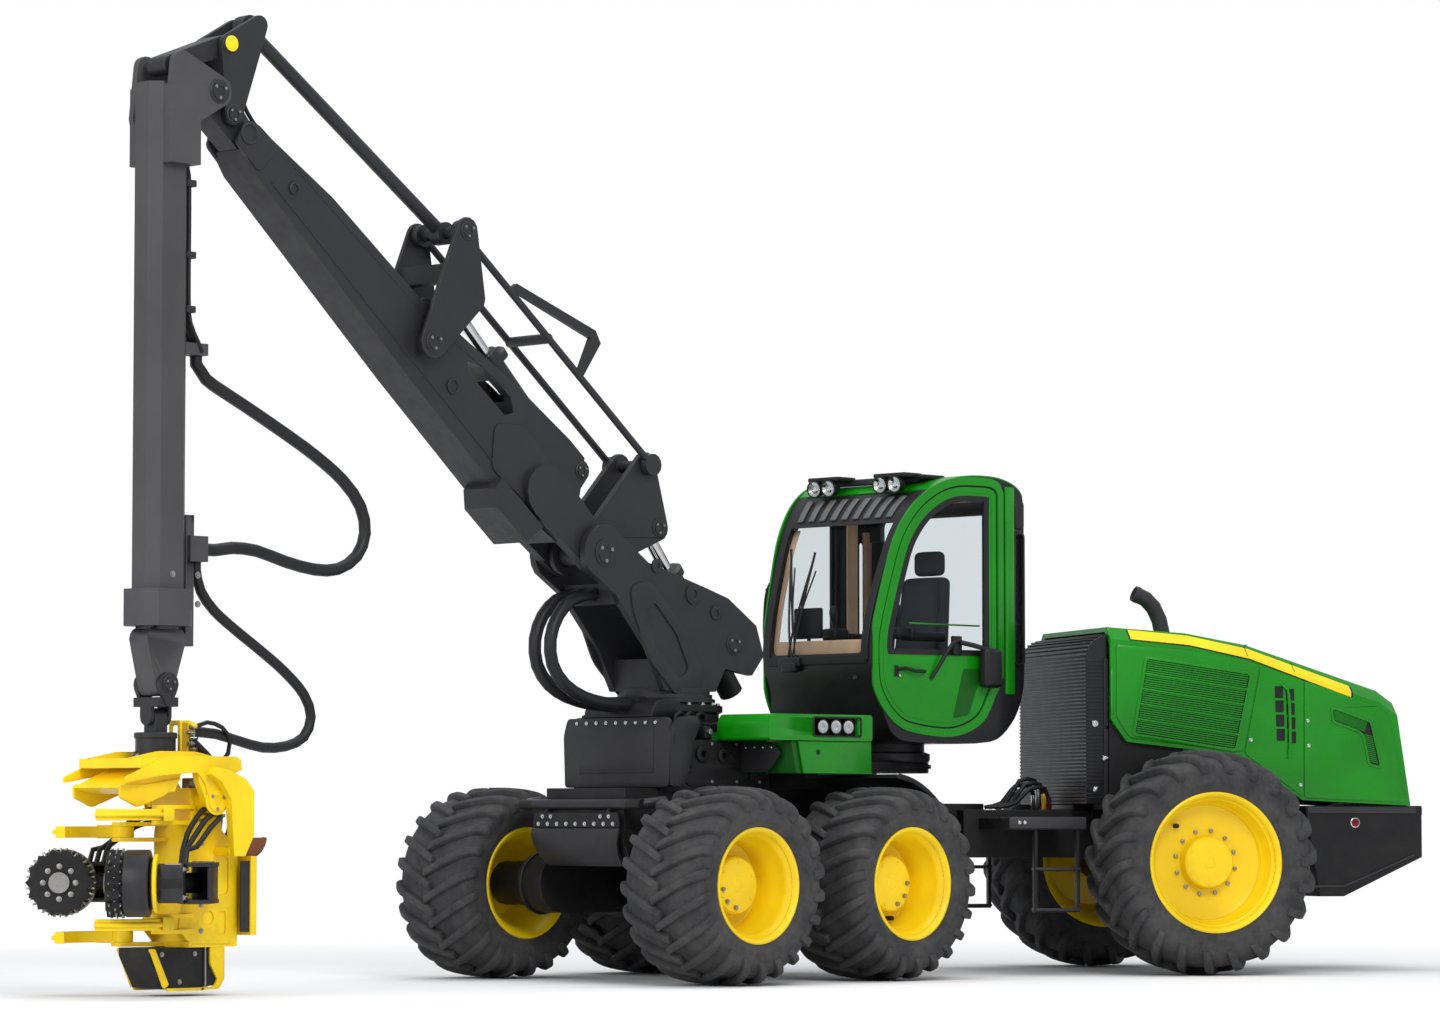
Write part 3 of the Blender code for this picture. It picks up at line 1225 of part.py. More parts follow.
def build_struts():
    middle_y = (STRUT_IN + STRUT_OUT) / 2
    struts = None
    for side, sign in SIDES.items():
        low, high = sorted((sign * STRUT_IN, sign * STRUT_OUT))
        bar_rod = rod("strut_rod_" + side, at(CRANK_TOP, sign * middle_y),
                      at(between(ROCKER_TOP, CRANK_TOP, ROD_END_SHARE),
                      sign * middle_y), STRUT_ROD_R, "struts", "crane", 12)
        top = eye("strut_top_" + side, ROCKER_TOP, ROD_EYE_R, low, high, PIN_R, "struts")
        foot = eye("strut_foot_" + side, CRANK_TOP, ROD_EYE_R, low, high, 0, "struts")
        if struts is None:
            struts = top
            struts.name = "rocker_struts"
            fuse(struts, bar_rod, foot)
        else:
            fuse(struts, top, bar_rod, foot)
    brace = cross_pin("strut_brace", between(ROCKER_TOP, CRANK_TOP, BRACE_SHARE), middle_y + GUARD_INSET, STRUT_R,
                      "struts")
    ups = (-GUARD_SINK, GUARD_THICK * 2, GUARD_OUT, GUARD_OUT - GUARD_THICK, -GUARD_SINK, -GUARD_SINK,
           GUARD_OUT - GUARD_THICK * 2, GUARD_THICK)
    guard = [between(ROCKER_TOP, CRANK_TOP, share, -up) for share, up in zip(guard_shares, ups)]
    fuse(struts, brace, plate("strut_guard", guard, STRUT_IN + GUARD_INSET, STRUT_OUT - GUARD_INSET,
                              "struts", "crane"))


def build_long_rod():
    shaft = rod("long_rod", at(between(ROCKER_TOP, TIP_TOP, ROD_END_SHARE)), at(TIP_TOP), LONG_ROD_R,
                "long_rod", "crane")
    low = eye("long_rod_low", ROCKER_TOP, ROD_EYE_R, -EYE_HALF_W, EYE_HALF_W, 0, "long_rod")
    top = eye("long_rod_top", TIP_TOP, ROD_EYE_R, -EYE_HALF_W, EYE_HALF_W, 0, "long_rod")
    hole = plate("long_rod_bore", bore(ROCKER_TOP, PIN_R), -EYE_HALF_W * 2, EYE_HALF_W * 2, "long_rod",
                 "crane")
    fuse(shaft, low, top)
    cut(shaft, hole)


def build_jib():
    along = (Vector(ROCKER_EYE) - Vector(JIB_FOOT)).normalized()
    foot = Vector(JIB_FOOT)
    end = foot + along * JIB_BARREL_LEN
    barrel = rod("jib_barrel", at(foot), at(end), JIB_BARREL_R, "jib_barrel", "crane")
    base = eye("jib_barrel_eye", JIB_FOOT, ROD_EYE_R, -JIB_BARREL_R, JIB_BARREL_R, 0, "jib_barrel")
    hole = plate("jib_barrel_pin", bore(JIB_FOOT, PIN_R), -JIB_BARREL_R * 2, JIB_BARREL_R * 2, "jib_barrel",
                 "crane")
    inner = bore_rod("jib_bore", at(foot + along * ROD_EYE_R * 2), at(end + along * OVERRUN), JIB_ROD_R,
                     "jib_barrel", "crane")
    fuse(barrel, base)
    cut(barrel, hole, inner)
    jib = rod("jib_rod", at(foot + along * JIB_BARREL_LEN / 2), at(ROCKER_EYE), JIB_ROD_R, "jib_rod",
              "steel")
    fuse(jib, eye("jib_rod_eye", ROCKER_EYE, ROD_EYE_R, -EYE_HALF_W, EYE_HALF_W, 0, "jib_rod"))


def build_tip():
    outline = around((TIP_FOOT, TIP_FOOT_R), (TIP_LINK, TIP_LOBE_R), (TIP_TOP, TIP_LOBE_R))
    left, right = pair("tip_crank", outline, TIP_IN, TIP_OUT, "tip_crank", holes=[bore(TIP_FOOT, PIN_R)])
    pin = cross_pin("tip_link_pin", TIP_LINK, TIP_IN + OVERRUN, PIN_R, "tip_crank")
    fuse(left, pin, right)
    plate("tip_link", bar(TIP_LINK, STICK_EAR, TIP_LOBE_R, TIP_LOBE_R), -NOSE_HALF_W, NOSE_HALF_W,
          "tip_link",
          "crane", holes=[bore(TIP_LINK, PIN_R)])


def box_section(half_x, half_y, chamfer, centre_x):
    """An eight-sided tube section."""
    return [(centre_x + sx * (half_x - (chamfer if first else 0)), sy * (half_y - (0 if first else chamfer)))
            for sx, sy, first in ((1, -1, True), (1, -1, False), (1, 1, False), (1, 1, True),
                                  (-1, 1, True), (-1, 1, False), (-1, -1, False), (-1, -1, True))]


def build_stick():
    centre = (STICK_BACK_X + STICK_FRONT_X) / 2
    half_x = (STICK_FRONT_X - STICK_BACK_X) / 2
    stick = plate("stick", box_section(half_x, STICK_HALF_W, STICK_CHAMFER, centre), STICK_LOW_Z,
                  STICK_TOP_Z,
                  "stick", "crane", across="Z")
    collar = plate("stick_collar", box_section(half_x + COLLAR_GROW, STICK_HALF_W + COLLAR_GROW,
                                               STICK_CHAMFER, centre),
                   STICK_LOW_Z - OVERRUN, STICK_LOW_Z + COLLAR_H, "stick", "crane", across="Z")
    head = block("stick_head", (STICK_BACK_X, -STICK_HEAD_HALF_W, STICK_HEAD_LOW),
                 (STICK_FRONT_X - STICK_CHAMFER, STICK_HEAD_HALF_W, STICK_TOP_Z - OVERRUN), "stick", "crane")
    ears = pair("stick_ear", around((BOOM_TIP, NOSE_R), (STICK_EAR, ROD_EYE_R),
                                    ((centre, STICK_TOP_Z - COLLAR_H), NOSE_R)), EAR_IN, EAR_OUT, "stick",
                holes=[bore(BOOM_TIP, PIN_R)])
    room = plate("stick_room",
                 box_section(half_x - STICK_WALL, STICK_HALF_W - STICK_WALL,
                             STICK_CHAMFER - STICK_WALL / 2,
                                           centre), STICK_LOW_Z - OVERRUN * 2, CAVITY_TOP, "stick", "crane",
                 across="Z")
    hook = block("stick_hose_bracket", (HOSE_BRACKET_X, -HOSE_BRACKET_HALF_W, HOSE_TOP_Z),
                 (STICK_BACK_X + STICK_WALL / 2, HOSE_BRACKET_HALF_W, HOSE_TOP_Z + PLATE * 3), "stick",
                 "crane")
    fuse(stick, collar, head, hook, *ears)
    cut(stick, room)
    slack = STICK_WALL + TELE_SLACK
    inner = plate("telescope",
                  box_section(half_x - slack, STICK_HALF_W - slack, STICK_CHAMFER - slack / 2, centre),
                  STICK_LOW_Z - OVERRUN * 2, TELE_IN_Z, "telescope", "crane", across="Z")
    fork_top = (centre, STICK_LOW_Z - OVERRUN - TIP_EYE_R - RUNNING_GAP)
    fork = plate("telescope_fork", around((TIP_PIN, TIP_EYE_R), ((centre - half_x / 2, fork_top[1]),
                                                                 TIP_EYE_R),
                                          ((centre + half_x / 2, fork_top[1]), TIP_EYE_R)),
                 -TELE_HALF_W, TELE_HALF_W, "telescope", "crane")
    pin = cross_pin("tip_pin", TIP_PIN, KNUCKLE_OUT, PIN_R, "telescope")
    bar_low, bar_back = fork_top[1] - TIP_EYE_R / 2, STICK_BACK_X - COLLAR_GROW - RUNNING_GAP
    hose_bar = block("telescope_hose_bar", (HOSE_BAR_X, -HOSE_BRACKET_HALF_W / 2, bar_low),
                     (bar_back, HOSE_BRACKET_HALF_W / 2, HOSE_BAR_HIGH), "telescope", "crane")
    hose_foot = block("telescope_hose_foot",
                      (HOSE_BAR_X + PLATE / 2, -HOSE_BRACKET_HALF_W / 2 + PLATE / 2,
                                              bar_low + PLATE / 2),
                      (centre, HOSE_BRACKET_HALF_W / 2 - PLATE / 2, STICK_LOW_Z - OVERRUN * 2),
                      "telescope", "crane")
    hose_rest = block("telescope_hose_rest", (HOSE_REST_X, -HOSE_BRACKET_HALF_W, HOSE_REST_LOW),
                      (bar_back - PLATE / 2, HOSE_BRACKET_HALF_W, HOSE_REST_HIGH), "telescope", "crane")
    fuse(inner, fork, pin, hose_bar, hose_foot, hose_rest)


def build_hanger():
    """The cross link between the telescope and the rotator, and the rotator under it."""
    cross_low = SWING_PIN_Z + SWING_EYE_R + RUNNING_GAP
    cross_high = TIP_PIN_Z - TIP_EYE_R - RUNNING_GAP
    upper = around((TIP_PIN, TIP_EYE_R), ((KNUCKLE_X, cross_low + SWING_EYE_R / 2), SWING_EYE_R / 2))
    left, right = pair("knuckle", upper, KNUCKLE_IN, KNUCKLE_OUT, "knuckle", holes=[bore(TIP_PIN, PIN_R)])
    outer = SWING_LUG_HALF + RUNNING_GAP + PLATE
    link = block("knuckle_block", (KNUCKLE_X - outer, -KNUCKLE_OUT + OVERRUN / 2, cross_low),
                 (KNUCKLE_X + outer, KNUCKLE_OUT - OVERRUN / 2, cross_high), "knuckle", "crane")
    cheek = around(((0, SWING_PIN_Z), SWING_EYE_R), ((0, cross_low + OVERRUN / 2), SWING_EYE_R))
    front = plate("knuckle_cheek_front", cheek, KNUCKLE_X + outer - PLATE, KNUCKLE_X + outer, "knuckle",
                  "crane", across="X")
    back = plate("knuckle_cheek_back", cheek, KNUCKLE_X - outer, KNUCKLE_X - outer + PLATE, "knuckle",
                 "crane", across="X")
    crown = block("knuckle_clear", (KNUCKLE_X - outer * 2, -KNUCKLE_IN, cross_high),
                  (KNUCKLE_X + outer * 2, KNUCKLE_IN, TIP_PIN_Z), "knuckle", "crane")
    pin = rod("swing_pin", (KNUCKLE_X - outer, 0, SWING_PIN_Z), (KNUCKLE_X + outer, 0, SWING_PIN_Z),
              SWING_PIN_R,
              "knuckle", "crane")
    fuse(left, link, right, front, back)
    cut(left, crown)
    fuse(left, pin)
    body = rod("rotator", (KNUCKLE_X, 0, ROTATOR_LOW + SEAT_GAP), (KNUCKLE_X, 0, ROTATOR_TOP), ROTATOR_R,
               "rotator",
               "crane")
    lug_outline = around(((0, SWING_PIN_Z), SWING_EYE_R), ((0, ROTATOR_TOP - OVERRUN), SWING_EYE_R))
    lug = plate("rotator_lug", lug_outline, KNUCKLE_X - SWING_LUG_HALF, KNUCKLE_X + SWING_LUG_HALF,
                "rotator", "crane",
                across="X")
    hole = bore_rod("rotator_bore", (KNUCKLE_X - SWING_LUG_HALF * 2, 0, SWING_PIN_Z),
                    (KNUCKLE_X + SWING_LUG_HALF * 2, 0, SWING_PIN_Z), SWING_PIN_R, "rotator", "crane")
    fuse(body, lug)
    cut(body, hole)


# Harvesting head

side_arm_shares = (
    # forward of the spine's back, above the arm's lower end
    (0.31, 0.0), (0.56, 0.0), (0.63, 0.66), (0.86, 0.87), (1.08, 0.95), (0.98, 1.04), (0.66, 1.0),
                   (0.30, 0.90),
    (0.11, 0.76), (0.11, 0.24),
)
KNIFE_LEVELS = (
    # name, side, height share between the lowest and the highest knife
    ("upper_left", 1, 1.0), ("upper_right", -1, 0.86), ("lower_left", 1, 0.11), ("lower_right", -1, 0.0),
)


def build_head():
    yoke = block("head_yoke", (YOKE_BACK_X, -YOKE_HALF_W, YOKE_TOP - YOKE_THICK),
                 (YOKE_FRONT_X, YOKE_HALF_W, YOKE_TOP), "yoke", "yellow")
    arms = pair("yoke_arm", around(((HEAD_TILT_X, HEAD_TILT_Z), TIP_EYE_R), ((HEAD_TILT_X,
                                                                              YOKE_TOP - TIP_EYE_R),
                                   TIP_EYE_R * 2)), YOKE_HALF_W - YOKE_THICK, YOKE_HALF_W, "yoke", "yellow",
                holes=[bore((HEAD_TILT_X, HEAD_TILT_Z), TILT_PIN_R)])
    crown = block("yoke_crown_clear", (YOKE_BACK_X - OVERRUN, -YOKE_HALF_W - OVERRUN, YOKE_TOP),
                  (YOKE_FRONT_X + OVERRUN, YOKE_HALF_W + OVERRUN, YOKE_TOP + TIP_EYE_R * 2), "yoke",
                  "yellow")
    wedge_outline = [(YOKE_BACK_X, YOKE_TOP - YOKE_THICK / 2), (YOKE_BACK_X,
                                                                   YOKE_TOP - YOKE_THICK - PLATE / 2),
                     (WEDGE_BACK_X, YOKE_TOP - YOKE_THICK - PLATE / 2),
                     (WEDGE_BACK_X + YOKE_THICK, WEDGE_LOW),
                     (YOKE_FRONT_X, WEDGE_LOW - PLATE / 2), (WEDGE_FRONT_X, WEDGE_LOW + PLATE),
                     (KNUCKLE_X + ROTATOR_R, YOKE_TOP - YOKE_THICK / 2)]
    wedge = plate("yoke_wedge", wedge_outline, -WEDGE_HALF_W, WEDGE_HALF_W, "yoke", "yellow")
    post = block("coupling_post", (POST_X - YOKE_THICK / 2, -YOKE_THICK / 2, YOKE_TOP - OVERRUN),
                 (POST_X + YOKE_THICK / 2, YOKE_THICK / 2, POST_HIGH), "yoke", "yellow")
    fuse(yoke, *arms)
    cut(yoke, crown)
    fuse(yoke, wedge, post)
    neck = rod("yoke_neck", (KNUCKLE_X, 0, YOKE_TOP - YOKE_THICK / 2),
               (KNUCKLE_X, 0, ROTATOR_LOW - SEAT_GAP),
               STUB_R, "yoke", "yellow")
    fuse(yoke, neck)
    spine_outline = [(SPINE_BACK_X, SPINE_LOW), (SPINE_FRONT_X, SPINE_LOW),
                     (SPINE_FRONT_X, SPINE_TOP), (SPINE_NECK_X, SPINE_TOP), (SPINE_NECK_X, SPINE_NECK_Z),
                     (SPINE_BACK_X, SPINE_NECK_Z - (SPINE_NECK_X - SPINE_BACK_X))]
    spine = plate("head_frame", spine_outline, -SPINE_HALF_W, SPINE_HALF_W, "head", "yellow")
    pin = cross_pin("head_tilt_pin", (HEAD_TILT_X, HEAD_TILT_Z), YOKE_HALF_W, TILT_PIN_R, "head", "yellow")
    boss = cross_pin("head_tilt_boss", (HEAD_TILT_X, HEAD_TILT_Z), YOKE_HALF_W - YOKE_THICK - SEAT_GAP,
                     TIP_EYE_R, "head",
                     "yellow")
    fuse(spine, boss, pin)
    side_arms = pair("head_side_arm", [(SPINE_BACK_X + a * SIDE_ARM_SPAN, SIDE_ARM_LOW + b * SIDE_ARM_RISE)
                                       for a, b in side_arm_shares], SIDE_ARM_IN, SIDE_ARM_OUT, "head",
                     "yellow")
    tie = cross_pin("side_arm_tie", (SPINE_BACK_X + SIDE_ARM_SPAN / 2, SIDE_ARM_LOW + SIDE_ARM_THICK),
                    SIDE_ARM_IN
                    + SIDE_ARM_THICK / 2, SIDE_ARM_THICK, "head", "yellow")
    back = block("head_back_plate", (BACK_PLATE_X, -BACK_PLATE_HALF_W, BACK_PLATE_LOW),
                 (BACK_PLATE_X + PLATE * 2, BACK_PLATE_HALF_W, BACK_PLATE_HIGH), "head", "yellow")
    neck_bar = block("head_back_bar", (BACK_PLATE_X + PLATE, -SPINE_HALF_W / 2, BACK_PLATE_LOW + PLATE),
                     (SPINE_BACK_X + OVERRUN, SPINE_HALF_W / 2, BACK_PLATE_HIGH - SPINE_HALF_W), "head",
                     "yellow")
    fuse(spine, tie, *side_arms, neck_bar, back)
    top = SPINE_LOW - SEAT_GAP
    saw_outline = [(SAW_FRONT_X, top), (SAW_FRONT_X, top - PLATE * 2), (SAW_TOE_X,
                                                                        SAW_BOX_LOW + PLATE / 2),
                   (SAW_TOE_X - PLATE * 4, SAW_BOX_LOW), (SAW_BACK_X + PLATE, SAW_BOX_LOW + PLATE),
                   (SAW_BACK_X, SAW_BOX_LOW + PLATE * 4), (SAW_BACK_X, top)]
    plate("saw_box", saw_outline, -SAW_BOX_HALF_W, SAW_BOX_HALF_W, "head", "black")
    return spine


def build_knives(spine):
    for name, side, share in KNIFE_LEVELS:
        low = KNIFE_LOW_Z + (KNIFE_TOP_Z - KNIFE_LOW_Z) * share
        frame = "knife_" + name
        outer = arc((KNIFE_CENTRE_X, 0), KNIFE_BEND_R, KNIFE_START_DEG, KNIFE_END_DEG, KNIFE_STEPS)
        inner = arc((KNIFE_CENTRE_X, 0), KNIFE_BEND_R - KNIFE_THICK, KNIFE_END_DEG,
                    KNIFE_START_DEG - KNIFE_TAPER_DEG,
                KNIFE_STEPS)
        outline = [(x, side * y) for x, y in outer + inner]
        pivot = (KNIFE_PIVOT_X, side * KNIFE_PIVOT_Y)
        knife = plate(frame, outline, low, low + KNIFE_H, frame, "yellow", across="Z")
        hub = plate(frame + "_hub", circle(pivot, ARM_R), low, low + KNIFE_H, frame, "yellow", across="Z")
        hole = plate(frame + "_bore", bore(pivot, ARM_PIN_R), low - OVERRUN, low + KNIFE_H + OVERRUN, frame,
                     "yellow",
                     across="Z")
        fuse(knife, hub)
        cut(knife, hole)
        for label, level in (("low", low - PLATE - SEAT_GAP), ("high", low + KNIFE_H + SEAT_GAP)):
            shelf = plate(f"{frame}_shelf_{label}", around(((pivot[0], pivot[1]), ARM_R),
                          ((SPINE_FRONT_X - ARM_R * 2, side * ARM_R), ARM_R)), level, level + PLATE, "head",
                          "yellow",
                          across="Z")
            fuse(spine, shelf)
        fuse(spine, plate(frame + "_pin", circle(pivot, ARM_PIN_R, shift_share=0.5), low - PLATE / 2,
                          low + KNIFE_H + PLATE / 2, "head", "yellow", across="Z"))


def spiked(name, start, end, frame):
    """A drum whose edge runs out to a ring of spikes."""
    drum = rod(name, (0, 0, 0), (0, 0, (end - start).length), ROLLER_R, frame, "black", SPIKES * 2)
    run = (end - start).to_track_quat("Z", "Y").to_matrix().to_4x4()
    place = FRAMES[frame]["matrix"].inverted() @ FRAMES[frame]["base"]
    for vert in drum.data.vertices:
        spot = place.inverted() @ vert.co
        count = round(atan2(spot.y, spot.x) / (2 * pi) * SPIKES * 2)
        share = SPIKE_SHARE if count % 2 else 1.0
        vert.co = place @ Matrix.Translation(start) @ run @ Vector((spot.x * share, spot.y * share, spot.z))
    return drum


def build_feed(spine):
    for side, sign in SIDES.items():
        pivot = (ARM_PIVOT_X, sign * ARM_PIVOT_Y)
        centre = Vector((ROLLER_X, sign * ROLLER_Y, ROLLER_Z))
        turn = radians(ROLLER_YAW_DEG)
        axis = Vector((cos(turn), -sign * sin(turn), 0))
        frame = "feed_arm_" + side
        back = centre - axis * (ROLLER_W / 2)
        motor_end = back - axis * MOTOR_LEN
        arm = rod(frame, back - axis * RUNNING_GAP, motor_end, MOTOR_R, frame, "black")
        post = rod(frame + "_post", (*pivot, ROLLER_Z - ARM_H), (*pivot, ROLLER_Z + ARM_H), ARM_R, frame,
                   "black")
        beam = rod(frame + "_beam", (*pivot, ROLLER_Z), motor_end + axis * ARM_R, BEAM_R, frame, "black")
        hole = plate(frame + "_bore", bore(pivot, ARM_PIN_R), ROLLER_Z - ARM_H * 2, ROLLER_Z + ARM_H * 2,
                     frame, "black",
                     across="Z")
        ring = rod(frame + "_ring", back - axis * RUNNING_GAP, back - axis * (RUNNING_GAP + RING_W), RING_R,
                   frame,
                   "black")
        fuse(arm, beam, post, ring)
        cut(arm, hole)
        stub = rod(frame + "_shaft", back - axis * ARM_R, back + axis * (ROLLER_W / 2), MOTOR_R / 2,
                   frame, "black")
        fuse(arm, stub)
        front = centre + axis * (ROLLER_W / 2)
        roller = rod("feed_roller_" + side, back, front - axis * OVERRUN, ROLLER_R * SPIKE_SHARE,
                     "feed_roller_" + side, "black")
        fuse(roller, spiked(f"feed_roller_{side}_spikes", front - axis * SPIKE_W, front,
                            "feed_roller_" + side))
        hollow = bore_rod(f"feed_roller_{side}_bore", back - axis * OVERRUN,
                          back + axis * (ROLLER_W / 2 + RUNNING_GAP), MOTOR_R / 2,
                          "feed_roller_" + side, "black")
        cut(roller, hollow)
        for label, level in (("low", ROLLER_Z - ARM_H - PLATE - SEAT_GAP),
                             ("high", ROLLER_Z + ARM_H + SEAT_GAP)):
            fuse(spine, plate(f"{frame}_shelf_{label}", around((pivot, ARM_R), ((SPINE_FRONT_X - ARM_R * 2,
                                                                                 sign * ARM_R),
                              ARM_R)), level, level + PLATE, "head", "yellow", across="Z"))
        fuse(spine, plate(frame + "_pin", circle(pivot, ARM_PIN_R, shift_share=0.5),
                          ROLLER_Z - ARM_H - PLATE / 2,
                          ROLLER_Z + ARM_H + PLATE / 2, "head", "yellow", across="Z"))


# Cab

cab_profile_shares = (
    # from the tail to the nose, from the floor to the roof
    (0.263, 0.0), (0.788, 0.0), (0.890, 0.053), (1.0, 0.302), (0.978, 0.455), (0.905, 0.635), (0.825, 0.778),
    (0.715, 0.889), (0.562, 0.968), (0.372, 1.0), (0.153, 0.99), (0.022, 0.947), (0.0, 0.852), (0.0, 0.243),
    (0.073, 0.095),
)
door_shares = (
    (0.219, 0.270), (0.277, 0.190), (0.353, 0.095), (0.515, 0.050), (0.769, 0.070), (0.869, 0.120),
               (0.942, 0.212),
    (0.954, 0.349), (0.942, 0.429), (0.869, 0.630), (0.804, 0.767), (0.694, 0.876), (0.544, 0.947),
               (0.380, 0.965),
    (0.219, 0.935),
)


def cab_half_width(x):
    """Half the cab's width, which tapers towards the nose."""
    share = (CAB_NOSE_X - x) / (CAB_NOSE_X - CAB_TAPER_END)
    return CAB_FRONT_HALF_W + (CAB_BACK_HALF_W - CAB_FRONT_HALF_W) * min(max(share, 0.0), 1.0)


def cab_outline(shares):
    return [(CAB_TAIL_X + a * (CAB_NOSE_X - CAB_TAIL_X), CAB_LOW + b * (CAB_TOP - CAB_LOW)) for a,
            b in shares]


def cab_body(name, depth, frame, finish):
    """The cab's closed form, moved in by a depth all round."""
    points = []
    for x, z in inset(cab_outline(cab_profile_shares), depth):
        half = cab_half_width(x) - depth
        points += [(x, half, z), (x, -half, z)]
    return hull(name, points, frame, finish)


def cab_core(name, depth, frame, finish):
    """All of the cab's form that lies deeper than this under its side walls."""
    points = []
    for x, z in cab_outline(cab_profile_shares):
        half = cab_half_width(x) - depth
        points += [(x, half, z), (x, -half, z)]
    return hull(name, points, frame, finish)


def cab_skin(name, outer, inner, frame, finish):
    """A layer of the cab's wall between two depths."""
    skin = cab_body(name, outer, frame, finish)
    return cut(skin, cab_body(name + "_inside", inner, frame, finish))


